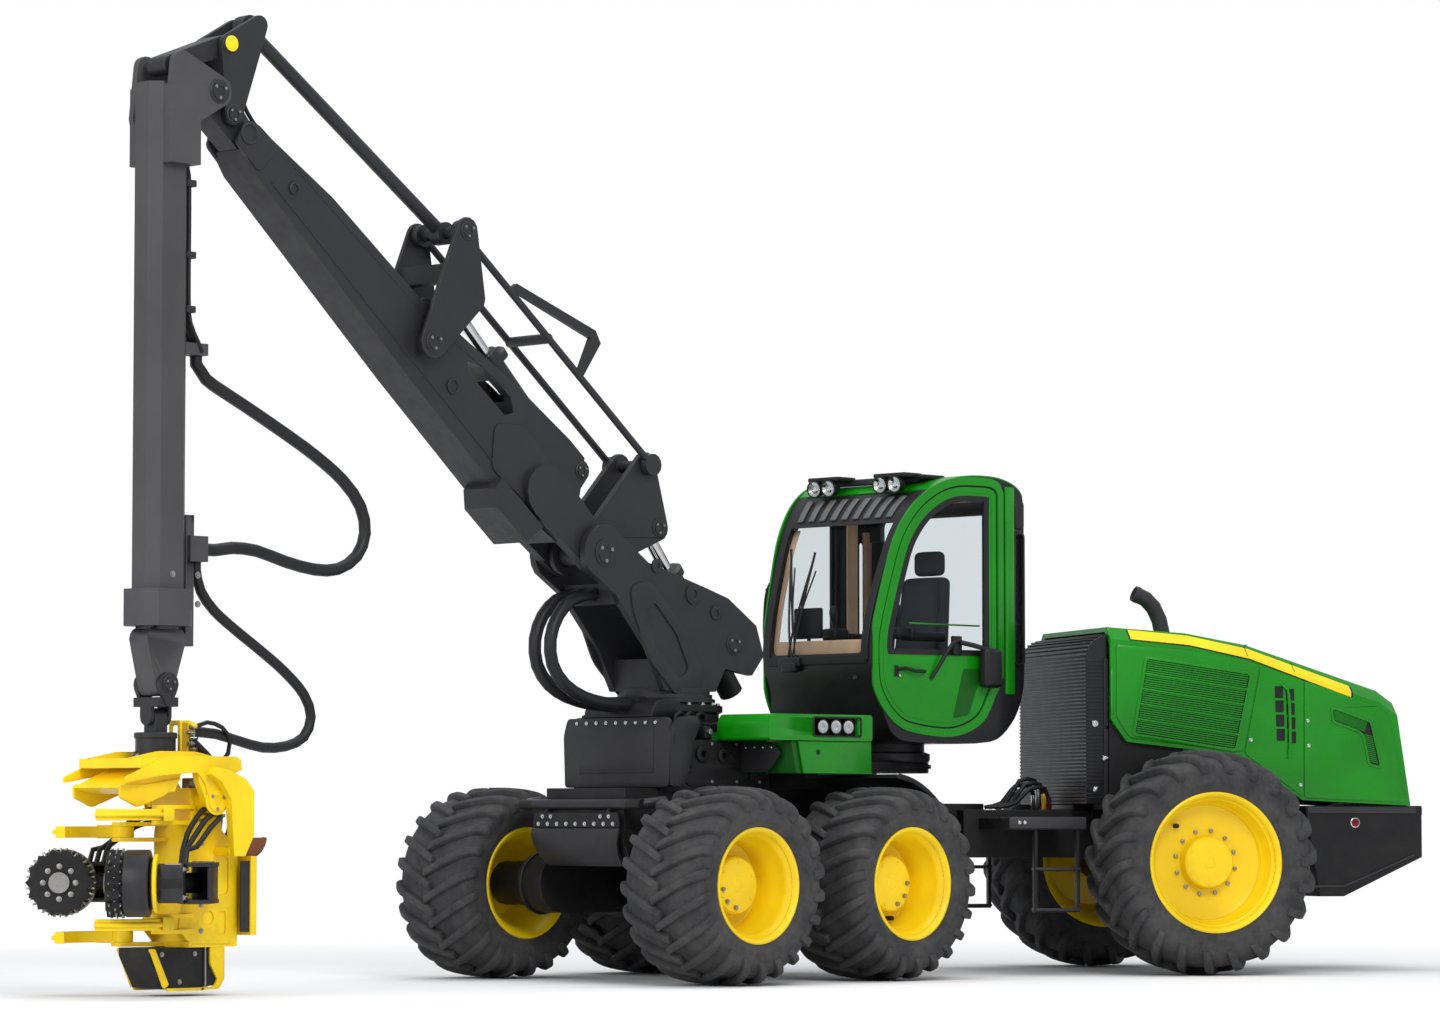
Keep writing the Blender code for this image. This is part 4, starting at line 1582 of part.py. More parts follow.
def build_cab():
    door_hole = cab_outline(door_shares)
    leaf = inset(door_hole, DOOR_GAP)
    window = [(x, max(z, WAIST_Z + FRAME_RAIL)) for x, z in inset(door_hole, FRAME_RAIL)]
    window = [point for i, point in enumerate(window) if point[1] > WAIST_Z + FRAME_RAIL or
              window[i - 1][1] > WAIST_Z + FRAME_RAIL
              or window[(i + 1) % len(window)][1] > WAIST_Z + FRAME_RAIL]
    shell = cab_skin("cab_shell", 0.0, CAB_WALL, "cab", "green")
    far = CAB_BACK_HALF_W * 2
    side_in = CAB_FRONT_HALF_W - CAB_WALL
    doorway = plate("door_hole", door_hole, side_in, far, "cab", "green")
    cut(doorway, cab_core("door_hole_depth", CAB_WALL + RUNNING_GAP, "cab", "green"))
    cut(shell, doorway)
    cut(shell, plate("side_window_hole", window, -far, -side_in, "cab", "green"))
    windshield = [(-WINDSHIELD_HALF_W, WINDSHIELD_LOW), (WINDSHIELD_HALF_W, WINDSHIELD_LOW),
                  (WINDSHIELD_HALF_W, WINDSHIELD_HIGH), (-WINDSHIELD_HALF_W, WINDSHIELD_HIGH)]
    nose_end = CAB_NOSE_X + OVERRUN
    cut(shell, plate("windshield_hole", windshield, CAB_X, nose_end, "cab", "green", across="X"))
    rear_hole = [(-REAR_WINDOW_HALF_W, REAR_WINDOW_LOW), (REAR_WINDOW_HALF_W, REAR_WINDOW_LOW),
                 (REAR_WINDOW_HALF_W, REAR_WINDOW_HIGH), (-REAR_WINDOW_HALF_W, REAR_WINDOW_HIGH)]
    cut(shell, plate("rear_hole", rear_hole, CAB_TAIL_X - OVERRUN, CAB_TAPER_END, "cab", "green",
                     across="X"))
    fuse(shell, rod("cab_turntable", (CAB_X, 0, PEDESTAL_LOW + PLATE * 3 + SEAT_GAP),
                    (CAB_X, 0, CAB_LOW + OVERRUN),
                    TURNTABLE_R, "cab", "black"))
    bar_front = ROOF_BAR_X + ROOF_BAR_DEPTH
    fuse(shell, block("roof_bar", (ROOF_BAR_X, -ROOF_BAR_HALF_W, ROOF_BAR_TOP - ROOF_BAR_DEPTH),
                      (bar_front, ROOF_BAR_HALF_W, ROOF_BAR_TOP), "cab", "green"))
    for side, sign in SIDES.items():
        inner, outer = sorted((sign * (LAMP_BLOCK_OUT_Y - LAMP_BLOCK_W), sign * LAMP_BLOCK_OUT_Y))
        front = bar_front + LAMP_BLOCK_DEPTH
        fuse(shell,
             block("roof_lamps_" + side,
                   (bar_front - OVERRUN, inner, ROOF_BAR_TOP + PLATE / 2 - LAMP_BLOCK_H),
                          (front, outer, ROOF_BAR_TOP + PLATE / 2), "cab", "green"))
    glass_in = PANE_DEPTH + PANE
    panes = (
        ("glass_windshield", windshield, CAB_X, nose_end, "X", "cab"),
        ("glass_rear", rear_hole, CAB_TAIL_X - OVERRUN, CAB_TAPER_END, "X", "cab"),
        ("glass_right", window, -far, -side_in, "Y", "cab"),
        ("glass_door", window, side_in, far, "Y", "door"),
    )
    for name, outline, low, high, across, frame in panes:
        pane = cab_skin(name, PANE_DEPTH, glass_in, frame, "glass")
        keep(pane, plate(name + "_edge", inset(outline, PANE_GAP), low, high, frame, "glass", across=across))
    door = cab_skin("cab_door", 0.0, CAB_WALL, "door", "green")
    keep(door, plate("door_leaf", leaf, side_in, far, "door", "green"))
    cut(door, cab_core("door_depth", CAB_WALL - RUNNING_GAP, "door", "green"))
    hinge_x, hinge_y = CAB_TAIL_X + door_shares[0][0] * (CAB_NOSE_X - CAB_TAIL_X), CAB_BACK_HALF_W + HINGE_OUT
    for label, level in zip(("low", "high"), HINGE_LEVELS):
        lug = around(((hinge_x, hinge_y), HINGE_R), ((hinge_x - HINGE_ARM, CAB_BACK_HALF_W - HINGE_R),
                                                     HINGE_R))
        knuckle = around(((hinge_x, hinge_y), HINGE_R), ((hinge_x + HINGE_ARM,
                                                          CAB_BACK_HALF_W - HINGE_OUT * 2), HINGE_R))
        half = HINGE_H / 2
        for place, start in (("under", level - half - HINGE_H), ("over", level + half)):
            fuse(shell, plate(f"hinge_{label}_{place}", lug, start, start + HINGE_H, "cab", "green",
                              across="Z"))
        fuse(shell, plate(f"hinge_{label}_pin", circle((hinge_x, hinge_y), HINGE_PIN_R, shift_share=0.5),
                          level - HINGE_H, level + HINGE_H, "cab", "green", across="Z"))
        fuse(door, plate(f"hinge_{label}_knuckle", knuckle, level - half + SEAT_GAP, level + half - SEAT_GAP,
                         "door",
                         "green", across="Z"))
        cut(door, plate(f"hinge_{label}_bore", bore((hinge_x, hinge_y), HINGE_PIN_R),
                        level - half - SEAT_GAP,
                        level + half + SEAT_GAP, "door", "green", across="Z"))
    cut(door, plate("door_window", window, side_in, far, "door", "green"))
    mirror_y = cab_half_width(MIRROR_FRONT_X) - PLATE / 2
    fuse(door, block("door_mirror", (MIRROR_FRONT_X - MIRROR_LEN, mirror_y, MIRROR_LOW),
                     (MIRROR_FRONT_X, mirror_y + MIRROR_DEPTH, MIRROR_HIGH), "door", "green"))
    seat_base = block("seat", (CAB_X - SEAT_BACK, -SEAT_HALF_W, SEAT_LOW),
                      (CAB_X + SEAT_FRONT, SEAT_HALF_W, SEAT_HIGH), "cab",
                      "seat")
    seat_back = block("seat_back", (CAB_X - SEAT_BACK, -SEAT_HALF_W, SEAT_LOW + OVERRUN),
                      (CAB_X - SEAT_BACK + SEAT_THICK, SEAT_HALF_W, SEAT_TOP), "cab", "seat")
    pedestal = rod("seat_post", (CAB_X - SEAT_THICK / 2, 0, CAB_LOW + CAB_WALL + SEAT_GAP),
                   (CAB_X - SEAT_THICK / 2, 0, SEAT_LOW + OVERRUN), SEAT_THICK, "cab", "seat")
    fuse(seat_base, pedestal)
    fuse(seat_base, seat_back)


# Hoses that hang free, each a bundle in its sleeve

def build_hoses():
    post_x = POST_X - YOKE_THICK / 2 - SEAT_GAP
    top, low_rest = HOSE_TOP_Z - SEAT_GAP, HOSE_REST_LOW - SEAT_GAP
    upper = [
        (4.34, 0, top), (4.34, 0, 3.93), (4.26, 0, 3.84), (4.12, 0, 3.77), (3.94, 0, 3.69), (3.64, 0, 3.55),
        (3.36, 0, 3.41), (3.12, 0, 3.26), (2.97, 0, 3.10), (2.93, 0, 2.93), (3.00, 0, 2.78), (3.16, 0, 2.69),
        (3.36, 0, 2.68), (3.60, 0, 2.72), (3.84, 0, 2.78), (4.04, 0, 2.79), (4.18, 0, 2.77),
        (HOSE_REST_X - SEAT_GAP, 0, 2.77),
    ]
    lower = [
        (4.33, 0, low_rest), (4.33, 0, 2.64), (4.29, 0, 2.51), (4.18, 0, 2.39), (4.00, 0, 2.27), (3.80, 0, 2.15),
        (3.60, 0, 2.02), (3.44, 0, 1.88), (3.38, 0, 1.74), (3.44, 0, 1.61), (3.59, 0, 1.55), (3.78, 0, 1.54),
        (3.98, 0, 1.58), (4.16, 0, 1.62), (4.28, 0, 1.63), (post_x, 0, 1.63),
    ]
    bundles = [("hose_upper", "stick", UPPER_HOSE_R, upper), ("hose_lower", "telescope", LOWER_HOSE_R,
                                                              lower)]
    for side, sign in SIDES.items():
        y = sign * BASE_HOSE_Y
        start, end = PILLAR_BAR_X + SEAT_GAP, MANIFOLD_FRONT_X + SEAT_GAP
        bundles.append(("base_hose_" + side, "machine", BASE_HOSE_R, [
            (start, y, 2.60), (1.01, y, 2.60), (1.15, y, 2.56), (1.28, y, 2.45), (1.35, y, 2.29),
            (1.33, y, 2.12), (1.22, y, 1.99), (1.05, y, 1.91), (0.85, y, 1.87), (0.70, y, 1.86), (end, y, 1.86),
        ]))
    for name, frame, radius, route in bundles:
        hose(name, route, radius, frame, "hose")


add_frame("door", "cab", (CAB_TAIL_X + door_shares[0][0] * (CAB_NOSE_X - CAB_TAIL_X),
                          CAB_BACK_HALF_W + HINGE_OUT,
                          CAB_LOW))
for name, side, share in KNIFE_LEVELS:
    add_frame("knife_" + name, "head", (KNIFE_PIVOT_X, side * KNIFE_PIVOT_Y, KNIFE_LOW_Z))
for side, sign in SIDES.items():
    add_frame("feed_arm_" + side, "head", (ARM_PIVOT_X, sign * ARM_PIVOT_Y, ROLLER_Z))
    add_frame("feed_roller_" + side, "feed_arm_" + side, (ROLLER_X, sign * ROLLER_Y, ROLLER_Z))

build_wheels()
build_running_gear()
build_front_frame()
build_front_covers()
build_rear_body()
build_pillar()
build_lift()
build_crank()
build_boom()
build_rocker()
build_struts()
build_long_rod()
build_jib()
build_tip()
build_stick()
build_hanger()
SPINE = build_head()
build_knives(SPINE)
build_feed(SPINE)
build_cab()
build_hoses()
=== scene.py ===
"""Looks of the forestry harvester: studio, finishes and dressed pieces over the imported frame."""

from math import atan2, cos, pi, radians, sin

import bpy
from mathutils import Matrix, Vector


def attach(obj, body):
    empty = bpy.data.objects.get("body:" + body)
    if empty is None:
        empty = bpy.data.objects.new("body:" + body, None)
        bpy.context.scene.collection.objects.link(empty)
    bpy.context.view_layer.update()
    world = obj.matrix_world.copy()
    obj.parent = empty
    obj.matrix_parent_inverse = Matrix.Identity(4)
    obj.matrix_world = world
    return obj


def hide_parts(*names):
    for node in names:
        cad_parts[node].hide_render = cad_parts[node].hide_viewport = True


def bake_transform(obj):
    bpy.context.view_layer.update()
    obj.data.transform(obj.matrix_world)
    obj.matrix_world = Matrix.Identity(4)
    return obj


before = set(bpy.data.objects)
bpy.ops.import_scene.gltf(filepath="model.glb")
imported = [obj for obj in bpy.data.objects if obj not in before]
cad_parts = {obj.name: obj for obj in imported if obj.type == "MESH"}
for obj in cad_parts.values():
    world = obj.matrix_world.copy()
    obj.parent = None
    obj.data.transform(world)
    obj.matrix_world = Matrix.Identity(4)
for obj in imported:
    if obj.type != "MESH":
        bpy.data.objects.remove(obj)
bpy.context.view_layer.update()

# The machine's own datum, under the bogies, in the frame's coordinates
DATUM = Vector((0.195, -0.55, 0.0))
JOINT = Vector((-2.004, 0.0, 0.0))
STEER_REST = -29.63
MACHINE = Matrix.Translation(DATUM)
REAR = MACHINE @ Matrix.Translation(JOINT) @ Matrix.Rotation(radians(STEER_REST), 4, "Z")
SIDES = ((1, "left"), (-1, "right"))


# Camera

camera_data = bpy.data.cameras.new("camera")
camera = bpy.data.objects.new("camera", camera_data)
bpy.context.scene.collection.objects.link(camera)
camera_data.sensor_width = 36.0
camera_data.lens = 120.64
camera_data.clip_start = 1.0
camera_data.clip_end = 200.0
AZIMUTH = radians(134.456)
PITCH = radians(3.626)
sight = Vector((-sin(AZIMUTH) * cos(PITCH), cos(AZIMUTH) * cos(PITCH), sin(PITCH)))
camera.location = (23.694, 22.840, 1.060)
camera.rotation_euler = sight.to_track_quat("-Z", "Y").to_euler()
bpy.context.scene.camera = camera
bpy.context.scene.view_settings.view_transform = "Standard"


# Hoses that hang free: each a bundle in its sleeve, from one bracket to the next

def smooth_route(points, radius):
    """Points a few diameters apart on the smooth curve through the given ones."""
    route = []
    places = [Vector(point) for point in points]
    ends = [places[0] * 2 - places[1], *places, places[-1] * 2 - places[-2]]
    for before, start, end, after in zip(ends, ends[1:], ends[2:], ends[3:]):
        pieces = max(1, round((end - start).length / (radius * 5.0)))
        for i in range(pieces):
            t = i / pieces
            route.append(0.5 * (2 * start + (end - before) * t
                                + (2 * before - 5 * start + 4 * end - after) * t ** 2
                                + (3 * start - before - 3 * end + after) * t ** 3))
    route.append(places[-1])
    return route


def curve_through(name, points, radius=0.0, sides=3):
    """An object whose curve runs straight from point to point, round if it has a radius."""
    curve = bpy.data.curves.new(name, "CURVE")
    curve.dimensions = "3D"
    curve.bevel_depth = radius
    curve.bevel_resolution = sides
    curve.use_fill_caps = radius > 0.0
    spline = curve.splines.new("POLY")
    spline.points.add(len(points) - 1)
    for point, place in zip(spline.points, points):
        point.co = (*place, 1.0)
    piece = bpy.data.objects.new(name, curve)
    bpy.context.scene.collection.objects.link(piece)
    return piece


HOSES = {
    # name: body, radius, route
    "hose_upper": ("stick", 0.04, [
        (4.34, 0, 3.9797), (4.34, 0, 3.93), (4.26, 0, 3.84), (4.12, 0, 3.77), (3.94, 0, 3.69),
        (3.64, 0, 3.55),
        (3.36, 0, 3.41), (3.12, 0, 3.26), (2.97, 0, 3.10), (2.93, 0, 2.93), (3.00, 0, 2.78),
        (3.16, 0, 2.69),
        (3.36, 0, 2.68), (3.60, 0, 2.72), (3.84, 0, 2.78), (4.04, 0, 2.79), (4.18, 0, 2.77),
        (4.2797, 0, 2.77)]),
    "hose_lower": ("telescope", 0.033, [
        (4.33, 0, 2.6897), (4.33, 0, 2.64), (4.29, 0, 2.51), (4.18, 0, 2.39), (4.00, 0, 2.27),
        (3.80, 0, 2.15),
        (3.60, 0, 2.02), (3.44, 0, 1.88), (3.38, 0, 1.74), (3.44, 0, 1.61), (3.59, 0, 1.55),
        (3.78, 0, 1.54),
        (3.98, 0, 1.58), (4.16, 0, 1.62), (4.28, 0, 1.63), (4.3497, 0, 1.63)]),
}
for side, y in (("left", 0.075), ("right", -0.075)):
    HOSES["base_hose_" + side] = ("carrier", 0.044, [
        (0.9403, y, 2.60), (1.01, y, 2.60), (1.15, y, 2.56), (1.28, y, 2.45), (1.35, y, 2.29),
        (1.33, y, 2.12),
        (1.22, y, 1.99), (1.05, y, 1.91), (0.85, y, 1.87), (0.70, y, 1.86), (0.6103, y, 1.86)])


def free_hose(name, body, radius, points):
    """The bundle's sleeve along its route."""
    route = [DATUM + point for point in smooth_route(points, radius / 2)]
    piece = curve_through(name + "_sleeve", route, radius, 4)
    piece.data.splines[0].use_smooth = True
    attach(piece, body)
    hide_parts(name)
    return piece


SLEEVES = [free_hose(name, *facts) for name, facts in HOSES.items()]


# Finishes

def nodes_of(name):
    """A new material's node tree and its Principled shader."""
    material = bpy.data.materials.new(name)
    material.use_nodes = True
    tree = material.node_tree
    return material, tree, tree.nodes["Principled BSDF"]


def noise(tree, scale, detail=4.0, roughness=0.55):
    place = tree.nodes.new("ShaderNodeTexCoord")
    grain = tree.nodes.new("ShaderNodeTexNoise")
    grain.inputs["Scale"].default_value = scale
    grain.inputs["Detail"].default_value = detail
    grain.inputs["Roughness"].default_value = roughness
    tree.links.new(place.outputs["Object"], grain.inputs["Vector"])
    return grain.outputs["Fac"]


def spread(tree, value, low, high, start, end):
    """Map a value's range low to high onto start to end."""
    step = tree.nodes.new("ShaderNodeMapRange")
    step.inputs["From Min"].default_value = low
    step.inputs["From Max"].default_value = high
    step.inputs["To Min"].default_value = start
    step.inputs["To Max"].default_value = end
    tree.links.new(value, step.inputs["Value"])
    return step.outputs["Result"]


def mixed(tree, share, first, second):
    """A colour between two, by a share; each is a colour or a socket."""
    blend = tree.nodes.new("ShaderNodeMix")
    blend.data_type = "RGBA"
    tree.links.new(share, blend.inputs[0])
    for socket, colour in ((blend.inputs[6], first), (blend.inputs[7], second)):
        if isinstance(colour, tuple):
            socket.default_value = (*colour, 1.0)
        else:
            tree.links.new(colour, socket)
    return blend.outputs[2]


def bump(tree, shader, height, strength, distance):
    lift = tree.nodes.new("ShaderNodeBump")
    lift.inputs["Strength"].default_value = strength
    lift.inputs["Distance"].default_value = distance
    tree.links.new(height, lift.inputs["Height"])
    tree.links.new(lift.outputs["Normal"], shader.inputs["Normal"])


def painted(name, colour, roughness, coat=0.0, dust=(0.16, 0.13, 0.10), dusty=0.35, metallic=0.0,
            gloss=0.3):
    """Sprayed paint: faint clouds, orange peel, and dust that gathers low down in patches."""
    material, tree, shader = nodes_of(name)
    cloud = noise(tree, 1.7, 5.0)
    shade = mixed(tree, spread(tree, cloud, 0.35, 0.65, 0.0, 1.0), tuple(c * 0.86 for c in colour),
                  tuple(min(1.0, c * 1.08) for c in colour))
    place = tree.nodes.new("ShaderNodeTexCoord")
    split = tree.nodes.new("ShaderNodeSeparateXYZ")
    tree.links.new(place.outputs["Object"], split.inputs["Vector"])
    height = spread(tree, split.outputs["Z"], 0.1, 1.7, dusty, dusty * 0.12)
    patches = tree.nodes.new("ShaderNodeMath")
    patches.operation = "MULTIPLY"
    tree.links.new(height, patches.inputs[0])
    tree.links.new(spread(tree, noise(tree, 6.0, 6.0, 0.7), 0.38, 0.78, 0.0, 1.0),
                   patches.inputs[1])
    tree.links.new(mixed(tree, patches.outputs[0], shade, dust), shader.inputs["Base Color"])
    tree.links.new(spread(tree, noise(tree, 9.0, 6.0, 0.7), 0.3, 0.7, roughness * 0.8,
                          roughness * 1.3),
                   shader.inputs["Roughness"])
    shader.inputs["Metallic"].default_value = metallic
    shader.inputs["Specular IOR Level"].default_value = gloss
    shader.inputs["Coat Weight"].default_value = coat
    shader.inputs["Coat Roughness"].default_value = 0.12
    bump(tree, shader, noise(tree, 180.0, 2.0), 0.06, 0.002)
    return material


def rubber(name, colour, dust):
    material, tree, shader = nodes_of(name)
    patches = spread(tree, noise(tree, 5.0, 8.0, 0.75), 0.38, 0.72, 0.0, 0.75)
    tree.links.new(mixed(tree, patches, colour, dust), shader.inputs["Base Color"])
    tree.links.new(spread(tree, noise(tree, 30.0, 5.0), 0.3, 0.7, 0.72, 0.92),
                   shader.inputs["Roughness"])
    bump(tree, shader, noise(tree, 70.0, 6.0, 0.7), 0.30, 0.004)
    return material


def bare_metal(name, colour, roughness, fine=90.0):
    material, tree, shader = nodes_of(name)
    tree.links.new(mixed(tree, spread(tree, noise(tree, 12.0, 6.0), 0.3, 0.7, 0.0, 1.0),
                         tuple(c * 0.8 for c in colour), colour), shader.inputs["Base Color"])
    tree.links.new(spread(tree, noise(tree, fine, 4.0), 0.3, 0.7, roughness * 0.7, roughness * 1.5),
                   shader.inputs["Roughness"])
    shader.inputs["Metallic"].default_value = 1.0
    return material


def moulded(name, colour, roughness, grain=260.0, lift=0.15):
    """Moulded plastic with a fine leather-like grain."""
    material, tree, shader = nodes_of(name)
    tree.links.new(mixed(tree, spread(tree, noise(tree, 4.0, 5.0), 0.3, 0.7, 0.0, 1.0),
                         tuple(c * 0.8 for c in colour), tuple(min(1.0, c * 1.1) for c in colour)),
                   shader.inputs["Base Color"])
    shader.inputs["Roughness"].default_value = roughness
    shader.inputs["Specular IOR Level"].default_value = 0.3
    cells = tree.nodes.new("ShaderNodeTexVoronoi")
    cells.inputs["Scale"].default_value = grain
    place = tree.nodes.new("ShaderNodeTexCoord")
    tree.links.new(place.outputs["Object"], cells.inputs["Vector"])
    bump(tree, shader, cells.outputs["Distance"], lift, 0.001)
    return material


def clear_pane(name, tint, strength):
    """Tinted safety glass: a sheet that mostly lets light through, with a gloss on it."""
    material, tree, shader = nodes_of(name)
    through = tree.nodes.new("ShaderNodeBsdfTransparent")
    through.inputs["Color"].default_value = (*tint, 1.0)
    join = tree.nodes.new("ShaderNodeMixShader")
    edge = tree.nodes.new("ShaderNodeFresnel")
    edge.inputs["IOR"].default_value = 1.45
    shader.inputs["Base Color"].default_value = (0.02, 0.025, 0.027, 1.0)
    shader.inputs["Roughness"].default_value = 0.03
    # only the outer face is glossy, so a pane seen at a slant still shows what is behind it
    sides = tree.nodes.new("ShaderNodeNewGeometry")
    front = tree.nodes.new("ShaderNodeMath")
    front.operation = "MULTIPLY"
    tree.links.new(spread(tree, edge.outputs["Fac"], 0.0, 1.0, strength, 1.0), front.inputs[0])
    tree.links.new(spread(tree, sides.outputs["Backfacing"], 0.0, 1.0, 1.0, 0.0), front.inputs[1])
    tree.links.new(front.outputs[0], join.inputs["Fac"])
    tree.links.new(through.outputs["BSDF"], join.inputs[1])
    tree.links.new(shader.outputs["BSDF"], join.inputs[2])
    tree.links.new(join.outputs["Shader"], tree.nodes["Material Output"].inputs["Surface"])
    return material


FINISHES = {
    "green": painted("green_paint", (0.003, 0.215, 0.002), 0.30, coat=0.16, dusty=0.10),
    "dark_green": painted("shaded_green_paint", (0.002, 0.085, 0.003), 0.45, dusty=0.10),
    "yellow": painted("yellow_paint", (0.90, 0.62, 0.004), 0.36, coat=0.12, dusty=0.08),
    "head_yellow": painted("worked_yellow", (0.88, 0.60, 0.004), 0.42, dust=(0.10, 0.07, 0.04),
                           dusty=0.40),
    "black": painted("frame_black", (0.0075, 0.0075, 0.0085), 0.46, dust=(0.07, 0.06, 0.05),
                     dusty=0.25, gloss=0.25),
    "crane": painted("crane_charcoal", (0.019, 0.019, 0.022), 0.44, dust=(0.07, 0.065, 0.06),
                     dusty=0.35),
    "stick": painted("stick_charcoal", (0.052, 0.051, 0.054), 0.48, dust=(0.10, 0.09, 0.08),
                     dusty=0.35),
    "shield": painted("worn_plate_black", (0.022, 0.022, 0.026), 0.38, metallic=0.2, dusty=0.15),
    "tray": painted("tray_edge_black", (0.020, 0.020, 0.022), 0.36, coat=0.2, dusty=0.15),
    "deck": painted("worn_deck_black", (0.035, 0.035, 0.037), 0.42, metallic=0.3,
                    dust=(0.09, 0.08, 0.07), dusty=0.4),
    "exhaust": painted("exhaust_black", (0.030, 0.029, 0.031), 0.50, dusty=0.1),
    # near-black: soot with painted shade in the exhaust's mouth, painted shade alone at the back of
    # the lamp recess
    "soot": painted("pipe_soot", (0.003, 0.003, 0.003), 0.9, dusty=0.0),
    "plastic_satin": painted("cab_black", (0.008, 0.008, 0.009), 0.34, coat=0.10, dusty=0.05),
    "visor": painted("visor_grey", (0.085, 0.085, 0.085), 0.35, coat=0.3, dusty=0.1),
    "rust": painted("worn_rust_brown", (0.19, 0.062, 0.025), 0.7, dusty=0.1),
    "amber": painted("amber_reflector", (0.90, 0.50, 0.02), 0.3, coat=0.6, dusty=0.05),
    "tyre": rubber("tyre_rubber", (0.020, 0.020, 0.022), (0.075, 0.072, 0.070)),
    "steel": bare_metal("chromed_rod", (0.62, 0.62, 0.63), 0.14),
    "worn_steel": bare_metal("worn_steel", (0.34, 0.33, 0.32), 0.36),
    "lamp_bowl": bare_metal("lamp_bowl", (0.85, 0.85, 0.84), 0.12),
    "hose": moulded("hose_rubber", (0.010, 0.010, 0.011), 0.45, 500.0, 0.1),
    "plastic": moulded("moulded_black", (0.010, 0.010, 0.011), 0.45),
    "tan": moulded("tan_lining", (0.66, 0.42, 0.26), 0.7),
    "seat": moulded("seat_cloth", (0.045, 0.048, 0.055), 0.85, 700.0, 0.3),
    "pale": moulded("pale_plate", (0.72, 0.72, 0.70), 0.5),
    "glass": clear_pane("safety_glass", (0.93, 0.95, 0.96), 0.03),
    "lens": clear_pane("lamp_lens", (0.96, 0.97, 0.97), 0.10),
    "red": clear_pane("red_reflector", (0.75, 0.05, 0.04), 0.4),
}
for sleeve in SLEEVES:
    sleeve.data.materials.append(FINISHES["hose"])
SLOT_LOOKS = {
    "green": "green", "yellow": "yellow", "black": "black", "crane": "crane", "tyre": "tyre",
    "steel": "steel", "glass": "glass", "seat": "seat", "engine": "worn_steel", "lamp": "steel",
}
for name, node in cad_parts.items():
    for place in node.material_slots:
        look = SLOT_LOOKS.get(place.material.name.split(".")[0])
        if look:
            place.material = FINISHES[look]


# Modelling helpers

# points closer than this are one
SAME_POINT = 0.0001


def deselect():
    if bpy.context.object and bpy.context.object.mode != "OBJECT":
        bpy.ops.object.mode_set(mode="OBJECT")
    bpy.ops.object.select_all(action="DESELECT")


def only(piece):
    """Make one piece the selected and active one."""
    deselect()
    piece.select_set(True)
    bpy.context.view_layer.objects.active = piece
    return piece


def edit(piece, mode="FACE"):
    """Enter edit mode with nothing selected."""
    only(piece)
    bpy.ops.object.mode_set(mode="EDIT")
    bpy.ops.mesh.select_mode(type=mode)
    bpy.ops.mesh.select_all(action="DESELECT")


def pick(piece, test, kind="polygons"):
    """In edit mode, select the faces, edges or vertices that pass a test."""
    bpy.ops.object.mode_set(mode="OBJECT")
    for part in getattr(piece.data, kind):
        if test(part):
            part.select = True
    bpy.ops.object.mode_set(mode="EDIT")


def leave():
    bpy.ops.object.mode_set(mode="OBJECT")


def settle(piece):
    """Put the piece's place, turn and size into its mesh."""
    only(piece)
    bpy.ops.object.transform_apply(location=True, rotation=True, scale=True)
    return piece


def soften(piece, width, segments=2, angle=30.0):
    """Round the edges, and shade smooth between the sharp ones."""
    only(piece)
    if width:
        rounding = piece.modifiers.new("rounding", "BEVEL")
        rounding.width = width
        rounding.segments = segments
        rounding.limit_method = "ANGLE"
        rounding.angle_limit = radians(angle)
        rounding.use_clamp_overlap = True
        bpy.ops.object.modifier_apply(modifier="rounding")
    bpy.ops.object.shade_smooth_by_angle(angle=radians(40.0))
    return piece


def outward(piece):
    edit(piece)
    bpy.ops.mesh.select_all(action="SELECT")
    bpy.ops.mesh.normals_make_consistent(inside=False)
    leave()
    return piece


def as_mesh(piece):
    """A curve object turned into a mesh."""
    only(piece)
    bpy.ops.object.convert(target="MESH")
    return bpy.context.active_object


def welded(piece):
    """Merge doubled points, and turn the faces outward."""
    edit(piece, "VERT")
    bpy.ops.mesh.select_all(action="SELECT")
    bpy.ops.mesh.remove_doubles(threshold=SAME_POINT)
    bpy.ops.mesh.normals_make_consistent(inside=False)
    leave()
    return piece


def box(name, low, high, rounding=0.004, segments=2):
    deselect()
    low, high = Vector(low), Vector(high)
    bpy.ops.mesh.primitive_cube_add(size=1.0, location=(low + high) / 2)
    piece = bpy.context.active_object
    piece.name = name
    bpy.ops.transform.resize(value=tuple(high - low))
    settle(piece)
    return soften(piece, rounding, segments)


def drum(name, start, end, radius, rounding=0.003, sides=32, end_radius=None):
    deselect()
    start, end = Vector(start), Vector(end)
    run = end - start
    bpy.ops.mesh.primitive_cone_add(vertices=sides, radius1=radius,
                                    radius2=radius if end_radius is None else end_radius,
                                    depth=run.length, location=(start + end) / 2,
                                    rotation=run.to_track_quat("Z", "Y").to_euler())
    piece = bpy.context.active_object
    piece.name = name
    settle(piece)
    return soften(piece, rounding, 2, 40.0)


ACROSS = {
    "X": Matrix(((0, 0, 1, 0), (1, 0, 0, 0), (0, 1, 0, 0), (0, 0, 0, 1))),
    "Y": Matrix(((1, 0, 0, 0), (0, 0, -1, 0), (0, 1, 0, 0), (0, 0, 0, 1))),
    "Z": Matrix.Identity(4),
}


